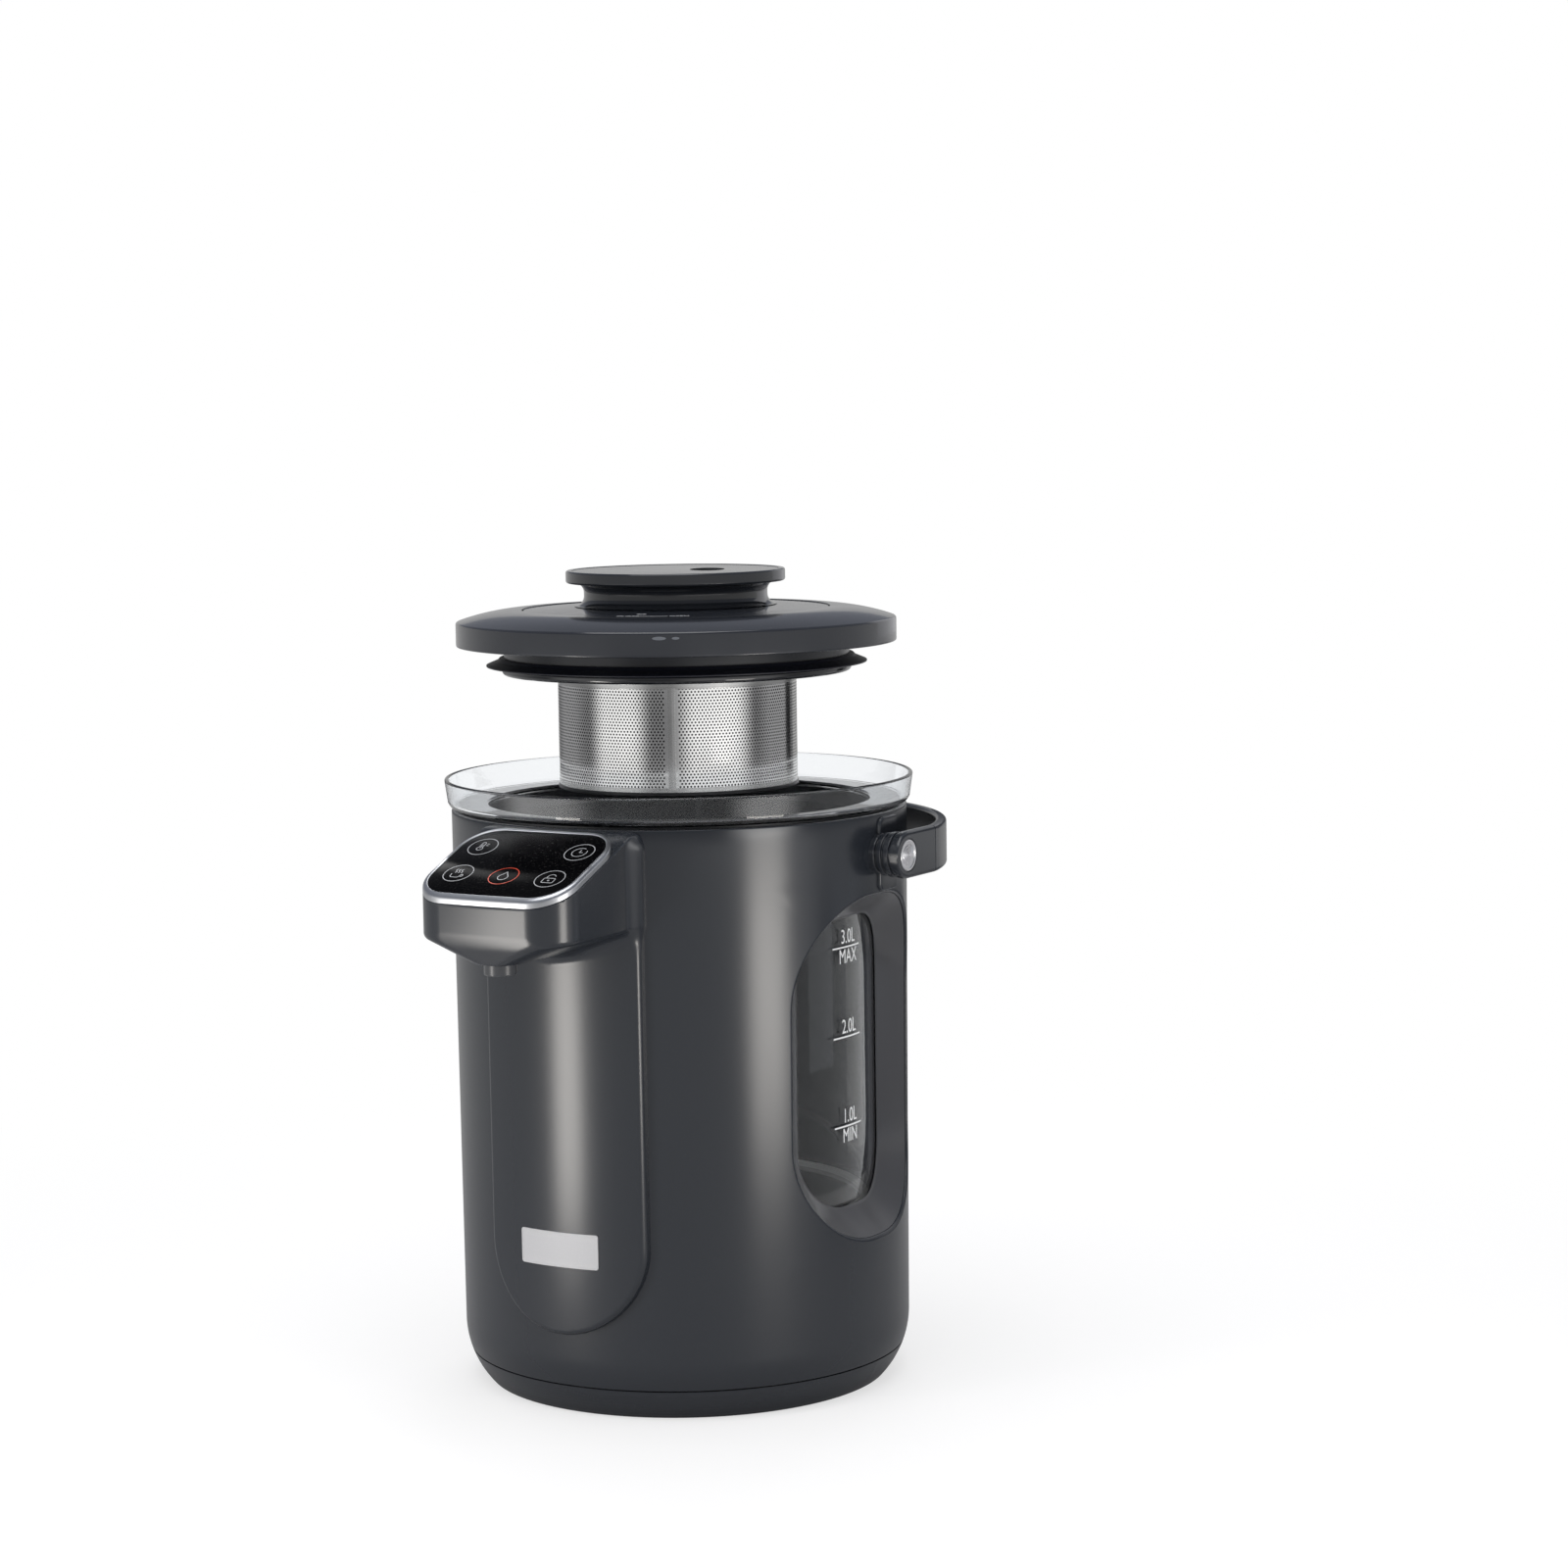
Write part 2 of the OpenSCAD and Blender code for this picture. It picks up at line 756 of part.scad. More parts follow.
// The tapered body of the head's underside
module tray_body(inset) {
  hull() {
    translate([0, 0, skirt_z - slip]) linear_extrude(slip) head_outline(inset);
    translate([0, 0, tray_z + inset]) linear_extrude(slip) polygon(
      round_box(keel_half_w - inset * keel_share, head_front_y + keel_front_gap + inset * keel_share,
        -bore_r / 2, keel_corner - inset * keel_share, 8));
  }
}

module head_tray() {
  color("dimgray") difference() {
    tray_body(0);
    translate([0, 0, slip]) tray_body(cover_wall);
    side_solid(-column_proud, tray_z - cut, skirt_z + cut);
    translate([0, nozzle_y, tray_z - cut]) cylinder(r = nozzle_r, h = cover_wall + 4 * cut);
  }
}

module spout_nozzle() {
  inside_z = tray_z + cover_wall + slip;
  color("dimgray") translate([0, nozzle_y, 0]) difference() {
    union() {
      translate([0, 0, tray_z - nozzle_drop]) cylinder(r = nozzle_r, h = inside_z - tray_z + nozzle_drop);
      translate([0, 0, inside_z]) cylinder(r = nozzle_r + nozzle_lip, h = nozzle_lip_t);
      translate([0, 0, inside_z]) cylinder(r = tube_r, h = nozzle_stub_h);
    }
    translate([0, 0, tray_z - nozzle_drop - cut]) cylinder(r = nozzle_bore, h = far);
    translate([0, 0, tray_z - nozzle_drop - cut])
      cylinder(r = nozzle_r - nozzle_rim, h = nozzle_recess + cut);
  }
}

module panel_rim() {
  color("silver") {
    intersection() {
      panel_slab(-rim_h, 0);
      difference() {
        panel_prism(0, skirt_z, far);
        panel_prism(rim_w, skirt_z - cut, far + cut);
      }
    }
    intersection() {
      panel_slab(-rim_h, -glass_drop - glass_t);
      difference() {
        panel_prism(rim_w - slip, skirt_z, far);
        panel_prism(rim_w + rim_lip, skirt_z - cut, far + cut);
      }
    }
    panel_tabs();
  }
}

// Tabs on the rim's lip, with the standoffs that hold the touch board
module panel_tabs() {
  tab_x = board_half_w - standoff_in;
  lip_x = head_half_w - rim_w - rim_lip / 2;
  for (side = [0, 1]) mirror([side, 0, 0]) on_panel() for (y = standoff_at) {
    translate([tab_x, -y, -board_drop]) cylinder(r = standoff_r, h = board_drop - rim_h + slip);
    translate([tab_x - standoff_r, -y - standoff_r, -rim_h])
      cube([lip_x - tab_x + standoff_r, 2 * standoff_r, rim_h - glass_drop - glass_t]);
  }
}

module touch_glass() {
  color("black") intersection() {
    panel_slab(-glass_drop - glass_t, -glass_drop);
    panel_prism(rim_w, skirt_z, far);
  }
}

module touch_board() {
  along = head_len / cos(panel_tilt);
  color("darkgreen") on_panel() translate([-board_half_w, board_margin - along, -board_drop - board_t])
    cube([2 * board_half_w, along - 2 * board_margin, board_t]);
}

module touch_springs() {
  color("goldenrod") on_panel() for (k = touch_keys)
    translate([k[0], -k[1], -board_drop]) cylinder(r = touch_key_r, h = spring_h);
}

module badge_plate() {
  color("lightgray") intersection() {
    side_shell(-column_proud - badge_t, -column_proud, badge_z - badge_h / 2, badge_z + badge_h / 2);
    translate([-badge_w / 2, -far, 0]) cube([badge_w, far, far]);
  }
}

module window_bezel() {
  outer = window_line(window_half_w, window_lo, window_hi, window_corner);
  flange = window_line(window_half_w + bezel_flange, window_lo - bezel_flange,
    window_hi + bezel_flange, window_corner + bezel_flange);
  sight = window_line(sight_half_w, sight_lo, sight_hi, sight_corner);
  back = window_line(sight_half_w + bezel_wall, sight_lo - bezel_wall, sight_hi + bezel_wall,
    sight_corner + bezel_wall);
  inner_r = tank_r + body_gap;
  color("slategray") ring_loft([
    on_side(outer, 0),
    on_round(sight, inner_r),
    on_round(back, inner_r),
    on_side(flange, housing_wall + bezel_wall),
    on_side(flange, housing_wall + 0.1),
    on_side(outer, housing_wall + 0.1)
  ]);
}

module glass_tank() {
  floor_lo = collar_floor - collar_floor_t;
  color("lightcyan", 0.4) rotate_extrude() polygon(concat(
    [
      [tank_r, glass_lo],
      [tank_r, mouth_lo - neck_step],
      [neck_r_out, mouth_lo],
      [neck_r_out, floor_lo]
    ],
    arc(collar_foot_r - collar_foot_round, floor_lo + collar_foot_round, collar_foot_round, -90, 0, 6),
    arc(collar_rim_r - collar_edge, collar_top - collar_edge, collar_edge, 0, 90, 4),
    arc(collar_rim_r - collar_wall + collar_edge, collar_top - collar_edge, collar_edge, 90, 180, 4),
    arc(collar_corner_r, collar_floor + collar_round, collar_round, -15, -90, 6),
    arc(mouth_bore + mouth_round, collar_floor - mouth_round, mouth_round, 90, 180, 4),
    [[mouth_bore, mouth_lo], [tank_bore, mouth_lo - neck_step + mouth_round], [tank_bore, glass_lo]]
  ));
}

module collar_gasket() {
  color("black") ring(collar_foot_r - gasket_in, neck_r_out + body_gap, housing_h - fixed_gap,
    collar_floor - collar_floor_t);
}

module top_ring() {
  top = housing_h - fixed_gap;
  color("dimgray") ring(bore_r - fixed_gap, neck_r_out + body_gap, top - top_ring_h, top);
}

module tank_cradle() {
  seat_z = glass_lo - seal_under;
  color("gray") difference() {
    union() {
      ring(cradle_r, tank_bore - cradle_in, ledge_z, ledge_z + cradle_t);
      ring(tank_r + body_gap + cradle_lip, tank_bore - cradle_in, ledge_z + cradle_t - slip, seat_z);
      ring(tank_r + body_gap + cradle_lip, tank_r + body_gap, seat_z - slip, seat_z + cradle_lip_h);
      at_posts() translate([0, 0, boss_h]) cylinder(r = post_r, h = ledge_z - boss_h + slip);
    }
    riser_notch();
    at_posts() translate([0, 0, boss_h - cut]) cylinder(r = screw_r, h = thread_h + cut);
  }
}

module plate_seal() {
  root = tank_bore - seal_over;
  color("white") rotate_extrude() polygon([
    [root, glass_lo - seal_under],
    [tank_r, glass_lo - seal_under],
    [tank_r, glass_lo],
    [tank_bore, glass_lo],
    [tank_bore, tank_floor + seal_lip],
    [root, tank_floor + seal_lip],
    [root, tank_floor],
    [root + seal_lip, tank_floor],
    [root + seal_lip, tank_floor - plate_sheet],
    [root, tank_floor - plate_sheet]
  ]);
}

module heating_plate() {
  color("silver") difference() {
    union() {
      translate([0, 0, tank_floor - plate_sheet])
        cylinder(r = tank_bore - seal_over + seal_lip, h = plate_sheet);
      translate([0, -pump_y, tank_floor - plate_sheet - spigot_drop])
        cylinder(r = tube_r, h = spigot_drop + slip);
    }
    translate([0, -pump_y, tank_floor - plate_sheet - spigot_drop - cut])
      cylinder(r = tube_bore, h = spigot_drop + plate_sheet + 2 * cut);
  }
}

module heating_element() {
  under = tank_floor - plate_sheet;
  color("gray") rotate([0, 0, element_sweep - 360]) rotate_extrude(angle = element_sweep) union() {
    translate([element_at - element_foot_w / 2, under - element_foot_t])
      square([element_foot_w, element_foot_t]);
    translate([element_at, under - element_drop]) circle(r = element_r);
  }
}

module thermostat() {
  under = tank_floor - plate_sheet;
  color("dimgray") {
    translate([0, 0, under - thermostat_h]) cylinder(r = thermostat_r, h = thermostat_h);
    for (x = [-1, 1])
      translate([x * thermostat_tab_at - thermostat_tab_w / 2, -thermostat_tab_d / 2,
        under - 2 * thermostat_h]) cube([thermostat_tab_w, thermostat_tab_d, thermostat_h + slip]);
  }
}

module thermal_fuse() {
  under = tank_floor - plate_sheet;
  color("wheat") translate([fuse_at, fuse_len / 2, under - fuse_r]) rotate([90, 0, 0])
    cylinder(r = fuse_r, h = fuse_len);
}

module at_pump() {
  translate([0, -pump_y, 0]) children();
}

module pump_body() {
  color("ivory") difference() {
    union() {
      at_pump() translate([0, 0, pump_z]) cylinder(r = pump_r, h = pump_h);
      at_pump() translate([0, 0, pump_z + pump_h - slip]) cylinder(r = tube_r, h = stub_h);
      translate([0, -pump_y, outlet_z]) rotate([90, 0, 0])
        cylinder(r = tube_r, h = pump_r + stub_h);
    }
    at_pump() translate([0, 0, outlet_z]) cylinder(r = tube_bore, h = far);
    translate([0, -pump_y, outlet_z]) rotate([90, 0, 0]) cylinder(r = tube_bore, h = far);
  }
}

module pump_motor() {
  color("silver") at_pump() {
    translate([0, 0, motor_z]) cylinder(r = motor_r, h = pump_z - motor_z);
    translate([0, 0, motor_z - motor_foot_h]) cylinder(r = motor_foot_r, h = motor_foot_h + slip);
  }
}

module pump_mount() {
  color("black") at_pump() difference() {
    translate([0, 0, base_floor]) cylinder(r = motor_r + mount_wall, h = mount_h);
    translate([0, 0, motor_z]) cylinder(r = motor_r, h = mount_h);
    translate([0, 0, motor_z - motor_foot_h]) cylinder(r = motor_foot_r, h = mount_h);
  }
}

module inlet_hose() {
  lo = pump_z + pump_h + hose_end;
  color("white") at_pump() translate([0, 0, lo])
    pipe(hose_r, tube_r, tank_floor - plate_sheet - hose_end - lo);
}

module outlet_hose() {
  start_y = -pump_y - pump_r - outlet_end;
  color("white") {
    translate([0, start_y, outlet_z]) rotate([90, 0, 0])
      pipe(hose_r, tube_r, start_y - riser_y - bend_r);
    translate([0, riser_y, outlet_z + bend_r]) mirror([0, 0, 1]) mirror([0, 1, 0])
      pipe_bend(hose_r, tube_r, bend_r);
    translate([0, riser_y, outlet_z + bend_r]) pipe(hose_r, tube_r, hose_rise + hose_grip);
  }
}

module riser_tube() {
  bend_z = spout_run_z - riser_bend;
  color("lightgray") {
    translate([0, riser_y, riser_foot]) pipe(tube_r, tube_bore, bend_z - riser_foot);
    translate([0, riser_y, bend_z]) pipe_bend(tube_r, tube_bore, riser_bend);
    translate([0, riser_y - riser_bend, spout_run_z]) rotate([90, 0, 0])
      pipe(tube_r, tube_bore, riser_grip);
  }
}

module spout_tube() {
  start_y = riser_y - riser_bend - spout_end;
  stub_top = tray_z + cover_wall + nozzle_stub_h;
  color("white") {
    translate([0, start_y, spout_run_z]) rotate([90, 0, 0])
      pipe(hose_r, tube_r, start_y - nozzle_y - bend_r);
    translate([0, nozzle_y, spout_run_z - bend_r]) mirror([0, 1, 0])
      pipe_bend(hose_r, tube_r, bend_r);
    translate([0, nozzle_y, stub_top - spout_grip])
      pipe(hose_r, tube_r, spout_run_z - bend_r - stub_top + spout_grip);
  }
}

module power_board() {
  color("darkgreen") translate([-board_w / 2, board_y - board_d / 2, board_z])
    cube([board_w, board_d, board_t]);
}

module board_parts() {
  top = board_z + board_t;
  color("orange") {
    for (b = board_boxes) translate([b[0], board_y + b[1], top]) cube([b[2], b[3], b[4]]);
    translate([capacitor_x, board_y + capacitor_y, top]) cylinder(r = capacitor_r, h = capacitor_h);
  }
}

module power_inlet() {
  lip_y = sqrt(pow(side_r(inlet_z - inlet_h) - housing_wall, 2) - pow(inlet_w / 2 + inlet_lip, 2));
  back_y = bore_r - inlet_depth;
  color("black") difference() {
    union() {
      translate([-inlet_w / 2, back_y, inlet_z - inlet_h / 2])
        cube([inlet_w, inlet_depth + inlet_proud, inlet_h]);
      translate([-inlet_w / 2 - inlet_lip, lip_y - inlet_flange_t, inlet_z - inlet_h / 2 - inlet_lip])
        cube([inlet_w + 2 * inlet_lip, inlet_flange_t, inlet_h + 2 * inlet_lip]);
    }
    translate([-inlet_w / 2 + inlet_wall, back_y + inlet_floor_t, inlet_z - inlet_h / 2 + inlet_wall])
      cube([inlet_w - 2 * inlet_wall, inlet_depth + inlet_proud, inlet_h - 2 * inlet_wall]);
    difference() {
      translate([-inlet_w, 0, inlet_z - inlet_h]) cube([2 * inlet_w, 2 * housing_r, 2 * inlet_h]);
      side_solid(inlet_inset, inlet_z - inlet_h - cut, inlet_z + inlet_h + cut);
    }
    pin_blades();
  }
}

module pin_blades() {
  floor_y = bore_r - inlet_depth + inlet_floor_t;
  for (p = pin_spots)
    translate([p[0] - pin_blade_w / 2, floor_y - pin_blade_root, inlet_z - pin_blade_h / 2 + p[1]])
      cube([pin_blade_w, pin_blade_len, pin_blade_h]);
}

module inlet_pins() {
  color("silver") pin_blades();
}

// Flat cable from the power board, up beside the riser and in to the touch board
module signal_ribbon() {
  level_z = port_hi - ribbon_drop;
  board_end = board_y - board_d / 2 + ribbon_tail;
  touch_y = head_back_y - board_margin * cos(panel_tilt) - ribbon_drop;
  touch_z = panel_z - (board_drop + board_t) / cos(panel_tilt) - (head_back_y - touch_y) * tan(panel_tilt);
  color("lightgray") {
    translate([ribbon_x, board_end, board_z + board_t])
      cube([ribbon_w, ribbon_t, ribbon_z + ribbon_t - board_z - board_t]);
    translate([ribbon_x, ribbon_y, ribbon_z]) cube([ribbon_w, board_end - ribbon_y + slip, ribbon_t]);
    translate([ribbon_x, ribbon_y, ribbon_z]) cube([ribbon_w, ribbon_t, level_z - ribbon_z]);
    translate([ribbon_x, touch_y, level_z - ribbon_t])
      cube([ribbon_w, ribbon_y - touch_y + slip, ribbon_t]);
    translate([ribbon_x, touch_y, level_z - slip]) cube([ribbon_w, ribbon_t, touch_z - level_z]);
  }
}

// Turning pieces on the +X side; side is 1 for right, -1 for left
module on_pivot(side) {
  mirror([side < 0 ? 1 : 0, 0, 0]) translate([0, 0, pivot_z]) rotate([0, 90, 0]) children();
}

module pivot_boss(side) {
  face = arm_in_x - body_gap;
  root = side_r(pivot_z);
  color("dimgray") difference() {
    on_pivot(side) {
      translate([0, 0, bore_r - boss_seat]) cylinder(r = boss_neck_r, h = face - bore_r + boss_seat);
      translate([0, 0, bore_r]) cylinder(r = boss_foot_r, h = root + boss_foot_h - bore_r + slip);
      translate([0, 0, root + boss_foot_h]) cylinder(r = boss_step_r, h = boss_step_h - boss_foot_h + slip);
      translate([0, 0, root + boss_step_h]) cylinder(r = boss_r, h = face - root - boss_step_h);
    }
    difference() {
      side_solid(0, pivot_z - boss_r - cut, pivot_z + boss_r + cut);
      on_pivot(side) cylinder(r = boss_neck_r, h = far);
    }
    on_pivot(side) cylinder(r = pin_r, h = far);
  }
}

module pivot_boss_right() {
  pivot_boss(1);
}

module pivot_boss_left() {
  pivot_boss(-1);
}

module pivot_pin(side) {
  head_x = arm_out_x - cap_disc_t - body_gap - pin_head_t;
  color("silver") on_pivot(side) {
    translate([0, 0, bore_r - nut_t - pin_tail])
      cylinder(r = pin_r, h = head_x - bore_r + nut_t + pin_tail + slip);
    translate([0, 0, head_x]) cylinder(r = pin_head_r, h = pin_head_t);
  }
}

module pivot_pin_right() {
  pivot_pin(1);
}

module pivot_pin_left() {
  pivot_pin(-1);
}

module pivot_nuts() {
  color("silver") for (side = [1, -1]) on_pivot(side) difference() {
    translate([0, 0, bore_r - boss_seat - nut_t]) cylinder(r = nut_r, h = nut_t, $fn = 6);
    cylinder(r = pin_r, h = far);
  }
}

module handle_bail() {
  head_x = arm_out_x - cap_disc_t - body_gap - pin_head_t;
  half_h = strap_h / 2;
  color("dimgray") difference() {
    intersection() {
      translate([0, 0, pivot_z - half_h]) cylinder(r = strap_out_r, h = strap_h);
      union() {
        translate([-arm_out_x, 0, pivot_z - half_h]) cube([2 * arm_out_x, far, strap_h]);
        translate([-arm_out_x, 0, pivot_z]) rotate([0, 90, 0]) cylinder(r = half_h, h = 2 * arm_out_x);
      }
    }
    intersection() {
      translate([0, 0, pivot_z - strap_h]) cylinder(r = strap_in_r, h = 2 * strap_h);
      translate([-arm_in_x, -far / 2, pivot_z - strap_h]) cube([2 * arm_in_x, far, 2 * strap_h]);
    }
    for (side = [1, -1]) on_pivot(side) {
      cylinder(r = pin_r + running_gap, h = far);
      translate([0, 0, head_x - body_gap]) cylinder(r = pin_head_r + body_gap, h = far);
      translate([0, 0, arm_out_x - cap_disc_t]) cylinder(r = cap_r, h = far);
    }
  }
}

module handle_cap(side) {
  color("silver") on_pivot(side) translate([0, 0, arm_out_x - cap_disc_t])
    cylinder(r = cap_r, h = cap_disc_t);
}

module handle_cap_right() {
  handle_cap(1);
}

module handle_cap_left() {
  handle_cap(-1);
}

module at_lid() {
  translate([0, 0, lid_z]) children();
}

// Points of the dome, from its rim to the inner disc, moved down by drop
function dome_line(drop) = [
  for (i = [0:8]) let (r = lid_r - lid_edge_round - (lid_r - lid_edge_round - disc_bore) * i / 8)
    [r, dome_top - dome_arc_r + sqrt(pow(dome_arc_r, 2) - pow(r - disc_bore, 2)) - drop]
];

module lid_shell() {
  wall_r = lid_r - lid_wall;
  run_r = sleeve_r + running_gap;
  color("darkslategray") at_lid() rotate_extrude() polygon(concat(
    [[wall_r, 0], [lid_r - lid_foot_edge, 0], [lid_r, lid_foot_edge], [lid_r, lid_rim_h - lid_edge_round]],
    dome_line(0),
    [
      [disc_bore, ledge_top],
      [run_r, ledge_top],
      [run_r, ledge_top - ledge_t],
      [disc_bore + lid_wall, ledge_top - ledge_t]
    ],
    [for (p = reversed(dome_line(lid_wall))) if (p[0] > disc_bore + lid_wall && p[0] < wall_r) p],
    [[wall_r, lid_rim_h - lid_corner_drop]]
  ));
}

module lid_base() {
  web_r = lid_r - lid_wall;
  color("darkslategray") at_lid() {
    ring(web_r, plug_r - lid_wall, web_z, web_z + lid_wall);
    ring(plug_r, plug_r - lid_wall, -plug_depth, web_z + slip);
    at_lid_screws() translate([0, 0, -plug_depth]) pipe(lid_boss_r, lid_screw_r, plug_depth + web_z);
    at_lid_screws() translate([(lid_screw_r + lid_boss_r) / 2, -lid_rib_w / 2, -plug_depth])
      cube([lid_screw_in - lid_wall / 2 - (lid_screw_r + lid_boss_r) / 2, lid_rib_w, plug_depth + web_z]);
  }
}

module at_lid_screws() {
  for (a = [30:120:270]) rotate([0, 0, a]) translate([lid_screw_at, 0, 0]) children();
}

module lid_seal() {
  root_r = plug_r + seal_root_t;
  color("black") at_lid() rotate_extrude() polygon([
    [plug_r, -plug_depth],
    [root_r, -plug_depth],
    [root_r + seal_flare, -plug_depth + seal_foot],
    [lip_r, -plug_depth + seal_lip_lo],
    [lip_r, -plug_depth + seal_lip_lo + seal_lip_t],
    [root_r + seal_flare, -plug_depth + seal_back],
    [root_r, -plug_depth + seal_h],
    [plug_r, -plug_depth + seal_h]
  ]);
}

module lid_plate() {
  color("black") at_lid() difference() {
    rotate_extrude() polygon([
      [sleeve_r + body_gap, plate_lo],
      [plate_r - plate_edge, plate_lo],
      [plate_r, plate_lo + plate_edge],
      [plate_r, -plug_depth - plate_top_edge],
      [plate_r - plate_top_edge, -plug_depth],
      [sleeve_r + body_gap, -plug_depth]
    ]);
    at_lid_screws() translate([0, 0, plate_lo - cut]) cylinder(r = lid_screw_r, h = plate_t + 2 * cut);
    at_lid_screws() translate([0, 0, plate_lo - cut])
      cylinder(r = lid_head_r + fixed_gap, h = lid_head_sink + lid_head_t + cut);
  }
}

module lid_screws() {
  color("silver") at_lid() at_lid_screws() {
    translate([0, 0, plate_lo + lid_head_sink]) cylinder(r = lid_head_r, h = lid_head_t);
    translate([0, 0, plate_lo + lid_head_sink + lid_head_t - slip])
      cylinder(r = lid_screw_r, h = lid_screw_len);
  }
}

module lid_disc() {
  seat = ledge_top + body_gap;
  color("darkslategray") at_lid() rotate_extrude() polygon([
    [disc_r, seat],
    [disc_r, disc_top - disc_edge],
    [disc_r - disc_edge, disc_top],
    [neck_r, neck_lo],
    [neck_r - knob_wall, neck_lo],
    [neck_r - knob_wall, neck_lo - disc_t],
    [sleeve_bore, disc_top - disc_t + disc_root],
    [sleeve_bore, socket_lo + socket_lip_t],
    [sleeve_r, socket_lo + socket_lip_t],
    [sleeve_r, seat]
  ]);
}

module sleeve_clip() {
  top = ledge_top - ledge_t - body_gap;
  color("black") at_lid() ring(clip_r, sleeve_r, top - clip_t, top);
}

module knob_grip() {
  color("darkslategray") at_lid() rotate_extrude() polygon(concat(
    [[neck_r - knob_wall, neck_lo], [neck_r + knob_foot_round, neck_lo]],
    arc(neck_r + knob_foot_round, neck_lo + knob_foot_round + fixed_gap, knob_foot_round, -90, -180, 5),
    arc(neck_r + knob_head_round, flange_lo - knob_head_round, knob_head_round, 180, 90, 4),
    [
      [flange_r - knob_edge, flange_lo],
      [flange_r, flange_lo + knob_edge],
      [flange_r, knob_top - knob_edge],
      [flange_r - knob_edge, knob_top],
      [flange_r - cap_in, knob_top],
      [flange_r - cap_in, knob_top - cap_t],
      [0, knob_top - cap_t],
      [0, knob_top - cap_t - knob_wall],
      [neck_r - knob_wall, knob_top - cap_t - knob_wall]
    ]
  ));
}

module knob_cap() {
  color("black") at_lid() translate([0, 0, knob_top - cap_t])
    cylinder(r = flange_r - cap_in, h = cap_t - fixed_gap);
}

// A lug, or any block swept about the axis
module swept(r_in, r_out, z0, z1, sweep) {
  rotate([0, 0, -sweep / 2]) rotate_extrude(angle = sweep)
    translate([r_in, z0]) square([r_out - r_in, z1 - z0]);
}

module infuser_socket() {
  color("gray") at_lid() {
    ring(sleeve_r, sleeve_bore - slip, socket_lo, socket_lo + socket_lip_t);
    for (i = [0:lug_count - 1]) rotate([0, 0, i * 360 / lug_count])
      swept(collar_ring_r + socket_gap, sleeve_bore, socket_lo, socket_lo + socket_lip_t, socket_angle);
  }
}

module infuser_collar() {
  color("silver") at_lid() {
    ring(collar_ring_r, infuser_r, plate_lo - ring_under, basket_top);
    for (i = [0:lug_count - 1]) rotate([0, 0, i * 360 / lug_count])
      swept(collar_ring_r - slip, collar_ring_r + lug_reach, lug_lo, lug_lo + lug_t, lug_angle);
  }
}

module infuser_basket() {
  color("gainsboro") at_lid() difference() {
    translate([0, 0, basket_lo]) cylinder(r = infuser_r, h = basket_top - basket_lo);
    translate([0, 0, basket_lo + infuser_wall]) cylinder(r = infuser_r - infuser_wall, h = far);
  }
}

module infuser_foot() {
  color("dimgray") at_lid() ring(infuser_r + foot_ring_t, infuser_r,
    basket_lo - foot_ring_sink, basket_lo + foot_ring_h);
}

outer_housing();
base_cover();
foot_pads();
base_screws();
column_cover();
head_tray();
spout_nozzle();
panel_rim();
touch_glass();
touch_board();
touch_springs();
badge_plate();
window_bezel();
glass_tank();
collar_gasket();
top_ring();
tank_cradle();
plate_seal();
heating_plate();
heating_element();
thermostat();
thermal_fuse();
pump_body();
pump_motor();
pump_mount();
inlet_hose();
outlet_hose();
riser_tube();
spout_tube();
power_board();
board_parts();
power_inlet();
inlet_pins();
signal_ribbon();
pivot_boss_right();
pivot_boss_left();
pivot_pin_right();
pivot_pin_left();
pivot_nuts();
handle_bail();
handle_cap_right();
handle_cap_left();
lid_shell();
lid_base();
lid_seal();
lid_plate();
lid_screws();
lid_disc();
sleeve_clip();
knob_grip();
knob_cap();
infuser_socket();
infuser_collar();
infuser_basket();
infuser_foot();
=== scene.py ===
"""Dressed scene of a water dispenser: its moulded shells, glass, steel, lid and handle.

All sizes are in millimetres unless a name says otherwise, and points turn into metres when a
shape becomes an object. The frame has its origin on the body axis at the table, +Z up, the
spout towards -Y and the window towards +X.
"""

from __future__ import annotations

import json
import logging
import math
from dataclasses import dataclass
from enum import Enum
from typing import Callable, Iterable, Sequence

import bpy
import numpy as np
from mathutils import Matrix, Vector

